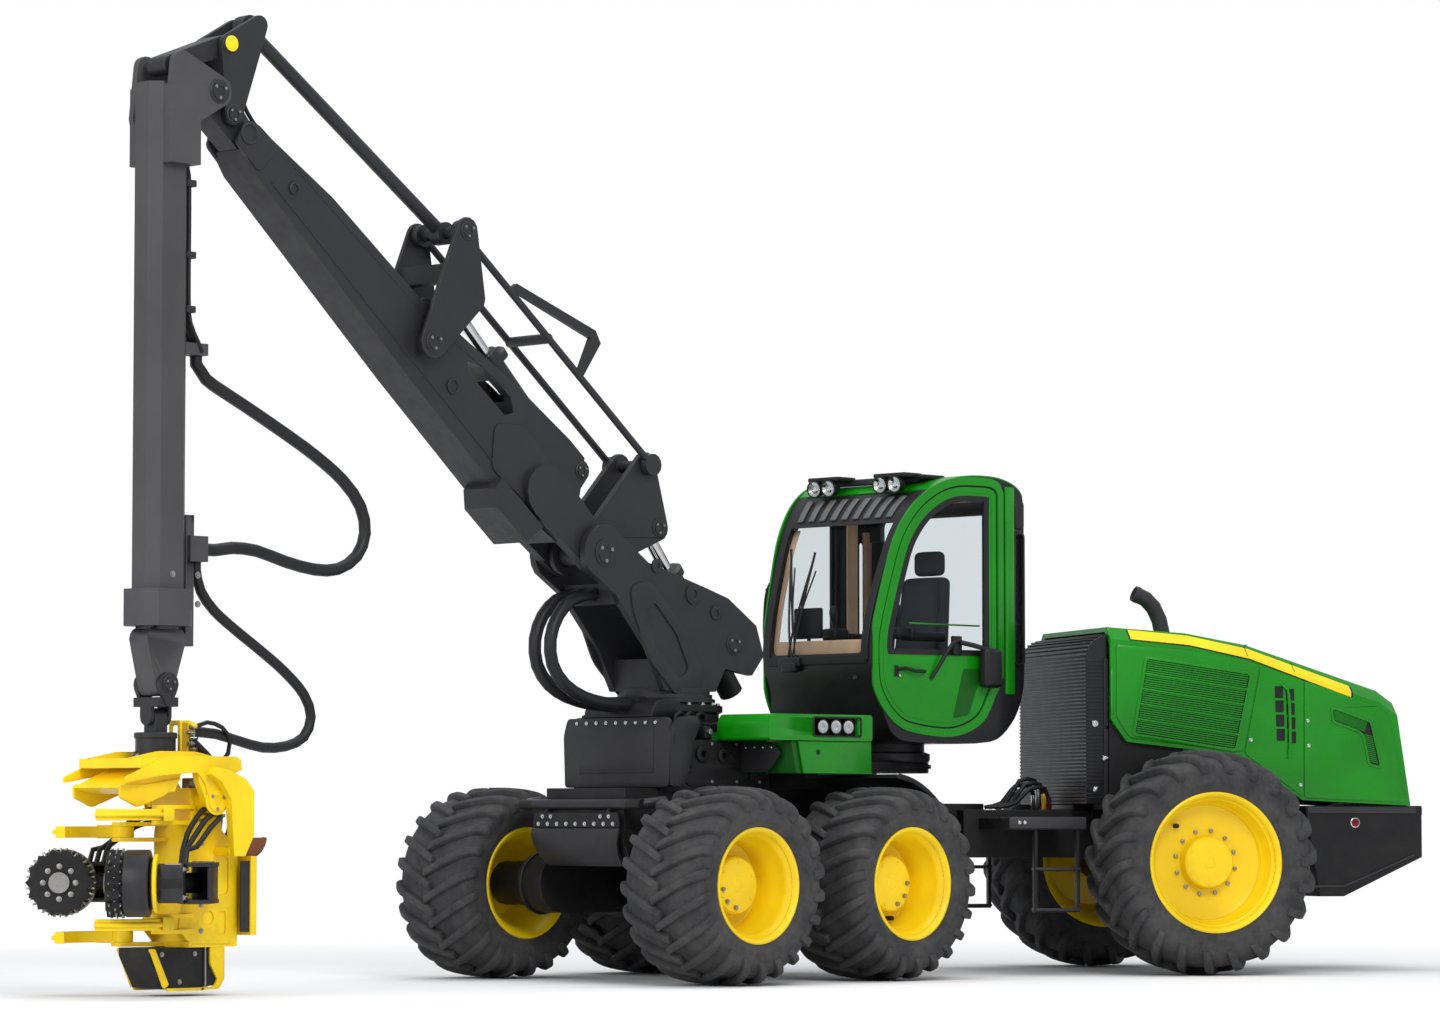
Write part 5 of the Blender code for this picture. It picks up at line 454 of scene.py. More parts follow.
def plate(name, outline, low, high, across="Y", holes=(), rounding=0.003, segments=2):
    """A flat outline as a curve, raised to a plate between two places along one axis."""
    curve = bpy.data.curves.new(name, "CURVE")
    curve.dimensions = "2D"
    curve.fill_mode = "BOTH"
    curve.extrude = abs(high - low) / 2
    for ring in [outline, *holes]:
        spline = curve.splines.new("POLY")
        spline.use_cyclic_u = True
        spline.points.add(len(ring) - 1)
        for point, (a, b) in zip(spline.points, ring):
            point.co = (a, b, 0.0, 1.0)
    piece = bpy.data.objects.new(name, curve)
    bpy.context.scene.collection.objects.link(piece)
    middle = (low + high) / 2
    step = {"X": Vector((middle, 0, 0)), "Y": Vector((0, middle, 0)),
            "Z": Vector((0, 0, middle))}[across]
    piece.matrix_world = Matrix.Translation(step) @ ACROSS[across]
    bpy.context.view_layer.update()
    return soften(welded(settle(as_mesh(piece))), rounding, segments)


def ring_of(centre, radius, sides=24, start=0.0):
    return [(centre[0] + radius * cos(start + 2 * pi * i / sides),
             centre[1] + radius * sin(start + 2 * pi * i / sides))
            for i in range(sides)]


def rounded(outline, radius, steps=4):
    """An outline with its corners turned to arcs."""
    result = []
    count = len(outline)
    for i in range(count):
        before, here = Vector(outline[i - 1]), Vector(outline[i])
        after = Vector(outline[(i + 1) % count])
        back, on = (before - here), (after - here)
        reach = min(radius, back.length * 0.45, on.length * 0.45)
        a, b = here + back.normalized() * reach, here + on.normalized() * reach
        for k in range(steps + 1):
            t = k / steps
            result.append(tuple(a * (1 - t) ** 2 + here * 2 * t * (1 - t) + b * t ** 2))
    return result


def oblong(low, high, radius=0.02):
    return rounded([low, (high[0], low[1]), high, (low[0], high[1])], radius)


def tube(name, points, radius, smooth=True, sides=3):
    """A bent tube or hose along a route, as a mesh with closed ends."""
    places = [Vector(point) for point in points]
    if smooth and len(points) > 2:
        places = smooth_route(points, max(radius, 0.012))
    return soften(welded(as_mesh(curve_through(name, places, radius, sides))), 0.0)


def lathe(name, profile, centre, axis, steps=64):
    """A profile of radius and height turned about an axis through a centre."""
    piece = as_mesh(curve_through(name, [(r, 0.0, h) for r, h in profile]))
    turn = piece.modifiers.new("turn", "SCREW")
    turn.steps = turn.render_steps = steps
    turn.use_merge_vertices = True
    turn.merge_threshold = SAME_POINT
    turn.use_normal_calculate = True
    bpy.ops.object.modifier_apply(modifier="turn")
    piece.matrix_world = Matrix.Translation(Vector(centre)) @ Vector(axis).to_track_quat("Z",
        "Y").to_matrix().to_4x4()
    bpy.context.view_layer.update()
    settle(piece)
    outward(piece)
    only(piece)
    bpy.ops.object.shade_smooth_by_angle(angle=radians(35.0))
    return piece


def copy_of(piece, matrix):
    """A copy with its own mesh, moved by a matrix."""
    twin = piece.copy()
    twin.data = piece.data.copy()
    bpy.context.scene.collection.objects.link(twin)
    twin.data.transform(matrix)
    if matrix.determinant() < 0:
        twin.data.flip_normals()
    return twin


def joined(name, pieces):
    """Several pieces as one object."""
    deselect()
    for piece in pieces:
        piece.select_set(True)
    bpy.context.view_layer.objects.active = pieces[0]
    if len(pieces) > 1:
        bpy.ops.object.join()
    pieces[0].name = name
    return pieces[0]


def repeated(name, piece, matrices):
    """Copies of one piece at several places, as one object; the pattern itself goes."""
    copies = [copy_of(piece, matrix) for matrix in matrices]
    bpy.data.objects.remove(piece, do_unlink=True)
    return joined(name, copies)


def bolts(name, places, direction, radius=0.014, height=0.012):
    """Hexagon bolt heads on washers, standing along a direction."""
    head = drum(name + "_head", (0, 0, 0.002), (0, 0, 0.002 + height), radius, 0.0015, 6)
    washer = drum(name + "_washer", (0, 0, -0.004), (0, 0, 0.003), radius * 1.35, 0.0008, 16)
    one = joined(name + "_one", [head, washer])
    lean = Vector(direction).to_track_quat("Z", "Y").to_matrix().to_4x4()
    return repeated(name, one, [Matrix.Translation(Vector(place)) @ lean for place in places])


def dress(piece, look, body, space=MACHINE):
    """Finish a piece: into the frame's coordinates, with its material, riding on its body."""
    piece.data.transform(space)
    piece.data.materials.clear()
    piece.data.materials.append(FINISHES[look])
    for face in piece.data.polygons:
        face.material_index = 0
    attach(piece, body)
    return piece


def across(piece, look, first, second, start, end):
    """Finish a hose that crosses a joint: into the frame's coordinates, with its material."""
    piece.data.transform(MACHINE)
    piece.data.materials.clear()
    piece.data.materials.append(FINISHES[look])
    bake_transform(piece)
    return piece


# The frame's own pieces that stay: rounded edges and their finishes

KEPT_ROUNDING = {"glass_windshield": 0.0, "glass_rear": 0.0, "glass_right": 0.0, "glass_door": 0.0,
                 "hood": 0.022}
NODE_LOOKS = {"stick": "stick", "telescope": "stick", "saw_box": "black", "head_frame": "yellow",
              "knuckle": "crane",
              "rotator": "crane", "radiator_intake": "plastic_satin"}
for name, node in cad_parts.items():
    if name.startswith(("tyre_", "rim_", "hose_", "base_hose_")):
        continue
    if name in NODE_LOOKS:
        for place in node.material_slots:
            place.material = FINISHES[NODE_LOOKS[name]]
    weld = node.modifiers.new("weld", "WELD")
    weld.merge_threshold = SAME_POINT
    width = KEPT_ROUNDING.get(name, 0.006)
    if width:
        rounding = node.modifiers.new("rounding", "BEVEL")
        rounding.width = width
        rounding.segments = 2
        rounding.limit_method = "ANGLE"
        rounding.angle_limit = radians(28.0)
        rounding.use_clamp_overlap = True
        rounding.harden_normals = False
    evened = node.modifiers.new("evened", "WEIGHTED_NORMAL")
    evened.keep_sharp = True
    for face in node.data.polygons:
        face.use_smooth = True


# Wheels: each has a treaded tyre and a deep yellow rim

TYRES = {
    # radius, half width, rim radius, lug height, lugs a side, sweep of a lug (degrees),
    # lug width at the middle and at the shoulder
    "front": (0.655, 0.355, 0.355, 0.040, 22, 17.0, 0.060, 0.078),
    "rear": (0.790, 0.325, 0.465, 0.050, 22, 16.0, 0.058, 0.080),
}
WHEELS = [
    # name, kind, space, centre, outward side
    ("front_left", "front", MACHINE, (0.75, 1.10, 0.655), 1), ("front_right", "front", MACHINE,
                                                               (0.75, -1.10, 0.655), -1),
    ("middle_left", "front", MACHINE, (-0.75, 1.10, 0.655), 1),
    ("middle_right", "front", MACHINE, (-0.75, -1.10, 0.655), -1),
    ("rear_left", "rear", REAR, (-1.994, 1.10, 0.790), 1), ("rear_right", "rear", REAR,
                                                            (-1.994, -1.10, 0.790), -1),
]


def tyre_curve(radius, half, rim, lug, t):
    """Across and radius of the tyre's skin, from the tread's middle (t 0) to the bead (t 1)."""
    base = radius - lug
    points = [(0.0, base), (half * 0.45, base - 0.004), (half * 0.80, base - 0.020),
              (half * 0.97, base - 0.060),
              (half * 1.0, base - 0.115), (half * 0.985, base - 0.175), (half * 0.93, rim + 0.045),
              (half * 0.86, rim + 0.004)]
    place = t * (len(points) - 1)
    i = min(int(place), len(points) - 2)
    u = place - i
    p = [Vector(points[max(0, min(len(points) - 1, k))]) for k in (i - 1, i, i + 1, i + 2)]
    if i == 0:
        p[0] = Vector((-points[1][0], points[1][1]))
    return 0.5 * (2 * p[1] + (p[2] - p[0]) * u + (2 * p[0] - 5 * p[1] + 4 * p[2] - p[3]) * u ** 2
                  + (3 * p[1] - p[0] - 3 * p[2] + p[3]) * u ** 3)


def tyre_carcass(name, radius, half, rim, lug):
    outer = [tuple(tyre_curve(radius, half, rim, lug, i / 24)) for i in range(25)]
    # two fine rings stand out on the sidewall
    section = [(r, a) for a, r in outer]
    for place, lift in ((17, 0.004), (18, 0.004), (21, 0.003)):
        r, a = section[place]
        section[place] = (r, a + lift)
    ring = section + [(rim - 0.012, half * 0.84), (rim - 0.012, -half * 0.84)] + [(r, -a) for r,
        a in reversed(section)]
    return lathe(name, ring, (0, 0, 0), (0, 0, 1), 96)


def tyre_lug(name, radius, half, rim, lug, sweep, narrow, wide):
    """One lug: a bar drawn out by segments, then laid over the tread and down the shoulder."""
    deselect()
    bpy.ops.mesh.primitive_cube_add(size=1.0, location=(0.05, 0.0, 0.5))
    piece = bpy.context.active_object
    piece.name = name
    bpy.ops.transform.resize(value=(0.1, 1.0, 1.0))
    settle(piece)
    edit(piece)
    pick(piece, lambda face: face.normal.x > 0.9)
    for _ in range(9):
        bpy.ops.mesh.extrude_region_move(TRANSFORM_OT_translate={"value": (0.1, 0.0, 0.0)})
    leave()
    for vert in piece.data.vertices:
        along, side, up = vert.co.x, vert.co.y, vert.co.z
        reach = -0.03 + 0.60 * along
        across, r = tyre_curve(radius, half, rim, lug, abs(reach))
        across = across if reach >= 0 else -across
        ahead = tyre_curve(radius, half, rim, lug, abs(reach) + 0.01)
        slope = (Vector(ahead) - Vector((abs(across), r))).normalized()
        out = Vector((-slope.y, slope.x))
        rise = lug * (1.0 if along < 0.72 else 1.0 - 0.75 * ((along - 0.72) / 0.28) ** 1.5)
        lift = (rise if up > 0.5 else -0.012)
        width = (narrow + (wide - narrow) * along) * (0.80 if up > 0.5 else 1.22)
        turn = -radians(sweep) * sin(along * pi * 0.52) + side * width / radius
        turn -= (0.018 if up > 0.5 else 0.0) * along
        place_a, place_r = across + out.x * lift, r + out.y * lift
        place_r = min(place_r, radius)
        vert.co = (place_r * cos(turn), place_r * sin(turn), place_a)
    outward(piece)
    return soften(piece, 0.007, 2, 32.0)


def tyre_model(kind):
    radius, half, rim, lug, count, sweep, narrow, wide = TYRES[kind]
    one = tyre_lug(kind + "_lug", radius, half, rim, lug, sweep, narrow, wide)
    turns = []
    for i in range(count):
        step = 2 * pi * i / count
        turns.append(Matrix.Rotation(step, 4, "Z"))
        turns.append(Matrix.Rotation(step + pi / count, 4, "Z") @ Matrix.Scale(-1.0, 4, (0, 0, 1)))
    lugs = repeated(kind + "_lugs", one, turns)
    return joined(kind + "_tyre", [tyre_carcass(kind + "_carcass", radius, half, rim, lug), lugs])


def rim_model(kind):
    radius, half, rim, lug, *_ = TYRES[kind]
    edge = half * 0.86
    if kind == "front":
        hub_r, hub_in, floor_in, wall_r = 0.19, 0.175, 0.30, rim * 0.86
    else:
        hub_r, hub_in, floor_in, wall_r = 0.18, 0.105, 0.20, rim * 0.90
    profile = [
        (0.0, edge - hub_in + 0.004), (0.035, edge - hub_in + 0.004), (0.04, edge - hub_in),
        (hub_r - 0.012, edge - hub_in), (hub_r, edge - hub_in - 0.012),
        (hub_r, edge - floor_in + 0.02), (hub_r + 0.012, edge - floor_in),
        (wall_r - 0.05, edge - floor_in),
        (wall_r - 0.02, edge - floor_in + 0.012), (wall_r - 0.012, edge - floor_in + 0.05),
        (wall_r - 0.010, edge - 0.150), (wall_r + 0.006, edge - 0.128),
        (wall_r + 0.012, edge - 0.060),
        (rim - 0.030, edge - 0.034), (rim - 0.016, edge - 0.022), (rim - 0.010, edge - 0.002),
        (rim + 0.004, edge + 0.020), (rim + 0.016, edge + 0.026), (rim + 0.027, edge + 0.022),
        (rim + 0.030, edge + 0.010), (rim + 0.026, edge), (rim - 0.004, edge - 0.004),
        (rim - 0.004, -edge + 0.004), (rim + 0.026, -edge), (rim + 0.030, -edge - 0.012),
        (rim + 0.020, -edge - 0.024),
        (rim - 0.004, -edge - 0.012), (rim - 0.022, -edge + 0.020), (wall_r, -edge + 0.05),
        (wall_r - 0.02, -edge + 0.15), (wall_r - 0.06, edge - floor_in - 0.06),
        (wall_r - 0.09, edge - floor_in - 0.02),
        (0.0, edge - floor_in - 0.02),
    ]
    disc = lathe(kind + "_disc", profile, (0, 0, 0), (0, 0, 1), 72)
    stud = drum(kind + "_nut", (0, 0, -0.01), (0, 0, 0.022), 0.015, 0.002, 6)
    if kind == "front":
        places = [(0.145 * cos(2 * pi * i / 10), 0.145 * sin(2 * pi * i / 10),
                   edge - hub_in) for i in range(3)]
    else:
        places = [(0.225 * cos(2 * pi * i / 12 + 0.13), 0.225 * sin(2 * pi * i / 12 + 0.13),
                   edge - floor_in)
                  for i in range(12)]
    nuts = repeated(kind + "_nuts", stud, [Matrix.Translation(place) for place in places])
    valve_at = (wall_r - 0.055, 0.0, edge - floor_in + 0.03) if kind == "front" else (wall_r - 0.08,
        0.0, edge - floor_in + 0.02)
    valve = drum(kind + "_valve", Vector(valve_at) - Vector((0, 0, 0.04)),
                 Vector(valve_at) + Vector((0, 0, 0.03)), 0.016, 0.004, 16)
    plugs = repeated(kind + "_plugs", drum(kind + "_plug", (0, 0, -0.01), (0, 0, 0.006), 0.011,
                                           0.002, 12),
                     [Matrix.Translation((0.155 * cos(a), 0.155 * sin(a), edge - hub_in)) for a in
                      (0.3, 1.35, 2.4, 3.44, 4.5, 5.5)])
    return disc, nuts, valve, plugs


MODELS = {}
for kind in TYRES:
    MODELS[kind] = (tyre_model(kind), *rim_model(kind))
for name, kind, space, centre, sign in WHEELS:
    radius = TYRES[kind][0]
    # the model's axis is Z with its outer face up; its lugs lead upwards at the front
    lay = Matrix.Translation(centre) @ Matrix.Rotation(radians(-90.0 * sign), 4, "X")
    spin = Matrix.Rotation({"front_left": 0.15, "middle_left": 1.9, "rear_left": -0.85}.get(name,
        0.6) * sign, 4, "Z")
    mirror = Matrix.Identity(4) if sign > 0 else Matrix.Scale(-1.0, 4, (0, 1, 0))
    for model, label, look in zip(MODELS[kind], ("tyre", "rim", "nuts", "valve", "plugs"),
                                  ("tyre", "yellow", "worn_steel", "plastic", "yellow")):
        piece = copy_of(model, lay @ spin @ mirror)
        piece.name = f"{label}_{name}_dressed"
        dress(piece, look, "wheel_" + name, space)
        if label in ("tyre", "rim"):
            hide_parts(f"{label}_{name}")
for models in MODELS.values():
    for model in models:
        bpy.data.objects.remove(model, do_unlink=True)


# Cab: a curved shell in black and green, its door, panes, lamps, wipers and seat

NOSE_X, TAIL_X, CAB_LOW, CAB_TOP = -1.31, -2.66, 1.64, 3.52
# half the cab's width at its tail and nose, what it tapers by and over what length
CAB_HALF, NOSE_HALF, TAPER, TAPER_RUN = 0.77, 0.52, 0.25, 1.05
TAPER_START_X = -2.36
DOOR_BACK_X, DOOR_GLASS_LOW = -2.364, 2.26
CAB_PROFILE = [
    # share of the way from tail to nose, share of the way from floor to roof
    (0.263, 0.0), (0.788, 0.0), (0.890, 0.053), (1.0, 0.302), (0.978, 0.455), (0.905, 0.635),
    (0.825, 0.778),
    (0.715, 0.889), (0.562, 0.968), (0.372, 1.0), (0.153, 0.99), (0.022, 0.947), (0.0, 0.852),
    (0.0, 0.243),
    (0.073, 0.095),
]
DOOR_PROFILE = [
    (0.219, 0.270), (0.277, 0.190), (0.353, 0.095), (0.515, 0.050), (0.769, 0.070), (0.869, 0.120),
    (0.942, 0.212),
    (0.954, 0.349), (0.942, 0.429), (0.869, 0.630), (0.804, 0.767), (0.694, 0.876), (0.544, 0.947),
    (0.380, 0.965),
    (0.219, 0.935),
]


def cab_places(shares):
    return [(TAIL_X + a * (NOSE_X - TAIL_X), CAB_LOW + b * (CAB_TOP - CAB_LOW)) for a, b in shares]


def loop(points, steps=5):
    """A smooth closed curve through an outline's points."""
    result = []
    count = len(points)
    for i in range(count):
        p = [Vector(points[(i + k) % count]) for k in (-1, 0, 1, 2)]
        # a long side stays straight, so its two ends aren't pulled outwards
        for k in range(steps):
            u = k / steps
            span = (p[2] - p[1]).length
            a = (p[2] - p[0]) * 0.5 * min(1.0, 2 * span / ((p[2] - p[0]).length + 1e-6))
            b = (p[3] - p[1]) * 0.5 * min(1.0, 2 * span / ((p[3] - p[1]).length + 1e-6))
            result.append(tuple(p[1] * (2 * u ** 3 - 3 * u ** 2 + 1) + a * (u ** 3 - 2 * u ** 2 + u)
                                + p[2] * (-2 * u ** 3 + 3 * u ** 2) + b * (u ** 3 - u ** 2)))
    return result


def moved_in(outline, depth):
    """A closed outline moved in by a depth (out, if it is negative)."""
    result = []
    count = len(outline)
    pairs = list(zip(outline, [*outline[1:], outline[0]]))
    area = sum(here[0] * after[1] - after[0] * here[1] for here, after in pairs)
    way = 1.0 if area > 0 else -1.0
    for i in range(count):
        before, here = Vector(outline[i - 1]), Vector(outline[i])
        after = Vector(outline[(i + 1) % count])
        one = Vector((before.y - here.y, here.x - before.x)).normalized() * way
        two = Vector((here.y - after.y, after.x - here.x)).normalized() * way
        middle = (one + two).normalized()
        result.append(tuple(here + middle * (depth / max(middle.dot(one), 0.6))))
    return result


def half_width(x):
    return NOSE_HALF + TAPER * min(max((NOSE_X - x) / TAPER_RUN, 0.0), 1.0)


def tapered(piece):
    """Draw a piece that was made as wide as the tail in towards the nose."""
    edit(piece)
    bpy.ops.mesh.select_all(action="SELECT")
    bpy.ops.mesh.bisect(plane_co=(TAPER_START_X, 0, 0), plane_no=(1, 0, 0))
    leave()
    for vert in piece.data.vertices:
        vert.co.y *= half_width(vert.co.x) / CAB_HALF
    return piece


def carve(piece, *tools):
    """Cut tools out of a piece with an exact Boolean; the tools go."""
    for tool in tools:
        only(piece)
        cutting = piece.modifiers.new("cutting", "BOOLEAN")
        cutting.operation = "DIFFERENCE"
        cutting.solver = "EXACT"
        cutting.object = tool
        bpy.ops.object.modifier_apply(modifier="cutting")
        bpy.data.objects.remove(tool, do_unlink=True)
    return piece


profile = loop(cab_places(CAB_PROFILE))
door_line = loop(cab_places(DOOR_PROFILE))
door_line = [(max(x, DOOR_BACK_X), z) for x, z in door_line]
opening = [(x, max(z, DOOR_GLASS_LOW)) for x, z in moved_in(door_line, 0.085)]
clean = []
for point in opening:
    if not clean or (Vector(point) - Vector(clean[-1])).length > 0.012:
        clean.append(point)
opening = clean
quarter = rounded([(-2.645, 2.20), (-2.555, 2.20), (-2.555, 3.13), (-2.645, 3.13)], 0.03)
front_pane = rounded([(-0.66, 2.255), (0.66, 2.255), (0.66, 3.30), (-0.66, 3.30)], 0.06)
rear_pane = rounded([(-0.58, 2.30), (0.58, 2.30), (0.58, 3.28), (-0.58, 3.28)], 0.06)

shell = plate("cab_body", profile, -CAB_HALF, CAB_HALF, rounding=0.0)
core = plate("cab_core", moved_in(profile, 0.045), -0.735, 0.735, rounding=0.0)
doorway = plate("cab_doorway", door_line, 0.60, 1.0, rounding=0.0)
side_hole = plate("cab_side_hole", opening, -1.0, -0.60, rounding=0.0)
quarters = plate("cab_quarters", quarter, -1.0, 1.0, rounding=0.0)
front_hole = plate("cab_front_hole", front_pane, -2.0, -1.0, across="X", rounding=0.0)
rear_hole = plate("cab_rear_hole", rear_pane, -2.9, -2.3, across="X", rounding=0.0)
carve(shell, core, doorway, side_hole, quarters, front_hole, rear_hole)
tapered(shell)
outward(shell)
soften(shell, 0.008, 2, 35.0)
dress(shell, "plastic_satin", "cab")
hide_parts("cab_shell")

# green arch round the door, roof skin, rear pillars
arch_out = moved_in(door_line, -0.062)
arch_out = [(min(max(x, -2.43), -1.325), z) for x, z in arch_out]
arch_out = [p for i,
            p in enumerate(arch_out) if (Vector(p) - Vector(arch_out[i - 1])).length > 0.001]
for sign, side in SIDES:
    low, high = sorted((sign * 0.765, sign * 0.785))
    ring = plate("cab_arch_" + side, arch_out, low, high,
                 holes=[moved_in(door_line, -0.004 if sign > 0 else 0.075)],
                 rounding=0.0)
    tapered(ring)
    soften(outward(ring), 0.006, 3, 30.0)
    dress(ring, "green", "cab")
    post = box("cab_post_" + side, (-2.545, low, 1.98), (-2.448, high, 3.46), 0.006)
    dress(post, "green", "cab")
    rim = plate("cab_quarter_frame_" + side, moved_in(quarter, -0.012), low, high,
                holes=[moved_in(quarter, 0.004)],
                rounding=0.004)
    dress(rim, "plastic", "cab")
    pane = plate("cab_quarter_pane_" + side, quarter, sign * 0.752, sign * 0.758, rounding=0.0)
    dress(pane, "glass", "cab")
    lining = box("cab_quarter_lining_" + side, (-2.64, sign * 0.70 - 0.012, 2.15),
                 (-2.56, sign * 0.70 + 0.012, 3.2), 0.004)
    dress(lining, "tan", "cab")


def run_lengths(route):
    """How far along a route each of its places lies."""
    lengths = [0.0]
    for a, b in zip(route, route[1:]):
        lengths.append(lengths[-1] + (Vector(b) - Vector(a)).length)
    return lengths


def skin_strip(name, t0, t1, y0, y1, lift, thick, look, cuts=24, round_by=0.003):
    """A strip laid on the cab's outer curve, from one share of the profile's run to another."""
    lengths = run_lengths(profile)
    whole = lengths[-1]
    outer, inner = [], []
    for k in range(cuts + 1):
        goal = (t0 + (t1 - t0) * k / cuts) * whole
        i = max(j for j in range(len(lengths)) if lengths[j] <= goal + 1e-9)
        i = min(i, len(profile) - 2)
        u = (goal - lengths[i]) / max(lengths[i + 1] - lengths[i], 1e-9)
        here = Vector(profile[i]).lerp(Vector(profile[i + 1]), u)
        along = (Vector(profile[i + 1]) - Vector(profile[i])).normalized()
        out = Vector((along.y, -along.x))
        outer.append(tuple(here + out * (lift + thick)))
        inner.append(tuple(here + out * lift))
    strip = plate(name, outer + inner[::-1], y0, y1, rounding=0.0)
    tapered(strip)
    soften(outward(strip), round_by, 2, 40.0)
    return dress(strip, look, "cab")


def run_share(x, z):
    """The share of the cab's profile where it passes nearest to a place."""
    lengths = run_lengths(profile)
    near = min(range(len(profile)), key=lambda i: (Vector(profile[i]) - Vector((x, z))).length)
    return lengths[near] / lengths[-1]


AT_SILL = run_share(-1.31, 2.225)
AT_VISOR = run_share(-1.62, 3.20)
AT_ROOF = run_share(-1.80, 3.39)
AT_TAIL = run_share(-2.64, 3.40)
skin_strip("cab_roof_skin", AT_ROOF, AT_TAIL, -0.765, 0.765, -0.001, 0.012, "green", cuts=30)
skin_strip("cab_roof_seam", run_share(-2.30, 3.52), run_share(-2.30, 3.52) + 0.002, -0.70, 0.70,
           0.009, 0.004, "dark_green",
           cuts=2)
skin_strip("cab_sill", AT_SILL - 0.004, AT_SILL + 0.006, -0.72, 0.72, 0.0, 0.014, "plastic", cuts=4)
for sign, side in SIDES:
    low, high = sorted((sign * 0.655, sign * 0.745))
    skin_strip("windshield_edge_" + side, AT_SILL, AT_ROOF, low, high, 0.0, 0.012, "plastic",
               cuts=30)
skin_strip("visor", AT_VISOR - 0.004, AT_ROOF - 0.004, -0.66, 0.66, 0.004, 0.006, "plastic",
           cuts=12)
for i in range(9):
    y = -0.56 + 0.14 * i
    skin_strip(f"visor_rib_{i}", AT_VISOR + 0.004, AT_ROOF - 0.014, y - 0.035, y + 0.035, 0.010,
               0.014, "visor", cuts=10,
               round_by=0.008)

# panes
windshield = skin_strip("windshield_pane", AT_SILL + 0.004, AT_VISOR, -0.665, 0.665, -0.020, 0.006,
                        "glass", cuts=30,
                        round_by=0.0)
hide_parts("glass_windshield")
rear_glass = plate("rear_pane", rear_pane, -2.648, -2.642, across="X", rounding=0.0)
dress(rear_glass, "glass", "cab")
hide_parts("glass_rear")
for sign, side, body in ((1, "door", "cab_door"), (-1, "right", "cab")):
    pane = plate("pane_" + side, moved_in(opening, -0.012), *sorted((sign * 0.752, sign * 0.746)),
                 rounding=0.0)
    tapered(pane)
    outward(pane)
    dress(pane, "glass", body)
    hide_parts("glass_" + side)
    seal = plate("seal_" + side, moved_in(opening, -0.014), *sorted((sign * 0.758, sign * 0.778)),
                 holes=[moved_in(opening, 0.028)], rounding=0.0)
    tapered(seal)
    soften(outward(seal), 0.004, 2)
    dress(seal, "plastic", body)

# door
leaf_line = moved_in(door_line, 0.009)
leaf = plate("door_leaf", leaf_line, 0.738, 0.776, holes=[opening], rounding=0.0)
tapered(leaf)
soften(outward(leaf), 0.007, 3, 35.0)
dress(leaf, "green", "cab_door")
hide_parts("cab_door")
gasket = plate("door_gasket", moved_in(door_line, 0.001), 0.720, 0.760,
               holes=[moved_in(door_line, 0.014)], rounding=0.0)
tapered(gasket)
dress(outward(gasket), "plastic", "cab_door")
press = plate("door_pressing", moved_in(leaf_line, 0.030), 0.774, 0.780,
              holes=[moved_in(leaf_line, 0.040)], rounding=0.0)
tapered(press)
soften(outward(press), 0.002, 2)
dress(press, "green", "cab_door")


def on_door(x, out=0.0):
    return half_width(x) + out


# dark screen in the door's lower rear
screen = [(-1.985, 1.80), (-2.12, 1.83), (-2.235, 2.155), (-2.075, 2.155)]
panel = plate("door_screen", rounded(screen, 0.02), 0.774, 0.7785, rounding=0.0)
tapered(panel)
dress(outward(panel), "dark_green", "cab_door")
# handle, its lock and the catch lever
for piece, look in (
    (tube("door_handle", [(-1.54, on_door(-1.54, -0.005), 2.14), (-1.56, on_door(-1.56, 0.045),
        2.15),
                          (-1.64, on_door(-1.64, 0.055), 2.13), (-1.72, on_door(-1.72, 0.045),
                              2.13),
                          (-1.74, on_door(-1.74, -0.005), 2.13)], 0.013), "plastic"),
    (box("door_handle_plate", (-1.60, on_door(-1.60, -0.01), 2.09), (-1.50, on_door(-1.50, 0.012),
        2.17), 0.008), "plastic"),
    (drum("door_lock", (-1.545, on_door(-1.545, 0.0), 2.10), (-1.545, on_door(-1.545, 0.016), 2.10),
          0.014), "steel"),
    (tube("door_hose", [(-1.80, on_door(-1.80, 0.010), 2.08), (-1.83, on_door(-1.83, 0.03), 2.14),
                        (-1.88, on_door(-1.88, 0.05), 2.24), (-1.93, on_door(-1.93, 0.07), 2.33),
                        (-2.00, on_door(-2.0, 0.06), 2.36)], 0.014), "plastic"),
    (box("mirror_base", (-2.055, on_door(-2.05, -0.012), 2.25), (-1.965, on_door(-1.96, 0.045),
        2.385), 0.010), "plastic"),
    (tube("mirror_arm", [(-2.03, on_door(-2.03, 0.03), 2.34), (-2.10, on_door(-2.1, 0.07), 2.32),
                         (-2.20, 0.83, 2.29), (-2.27, 0.845, 2.27)], 0.018), "plastic"),
    (box("mirror_case", (-2.325, 0.775, 2.02), (-2.155, 0.865, 2.30), 0.03, 4), "plastic"),
    (box("mirror_case_edge", (-2.315, 0.845, 2.035), (-2.165, 0.872, 2.285), 0.012, 3), "plastic"),
):
    dress(piece, look, "cab_door")

# far mirror: a thin hoop with green ends
hoop = tube("far_mirror_hoop", [(-1.60, -0.58, 2.84), (-1.60, -0.70, 2.82), (-1.60, -0.765, 2.72),
                                (-1.60, -0.785, 2.55),
                                (-1.60, -0.785, 2.40), (-1.60, -0.74, 2.30), (-1.60, -0.58, 2.27)],
                                0.012)
dress(hoop, "plastic", "cab")
glass_back = box("far_mirror_back", (-1.612, -0.775, 2.36), (-1.594, -0.705, 2.76), 0.006)
dress(glass_back, "plastic", "cab")
face = box("far_mirror_face", (-1.616, -0.768, 2.37), (-1.611, -0.712, 2.75), 0.002)
dress(face, "steel", "cab")
for z in (2.84, 2.27):
    end = drum(f"far_mirror_end_{round(z * 100)}", (-1.60, -0.57, z), (-1.60, -0.66, z - 0.004),
               0.022, 0.006)
    dress(end, "green", "cab")


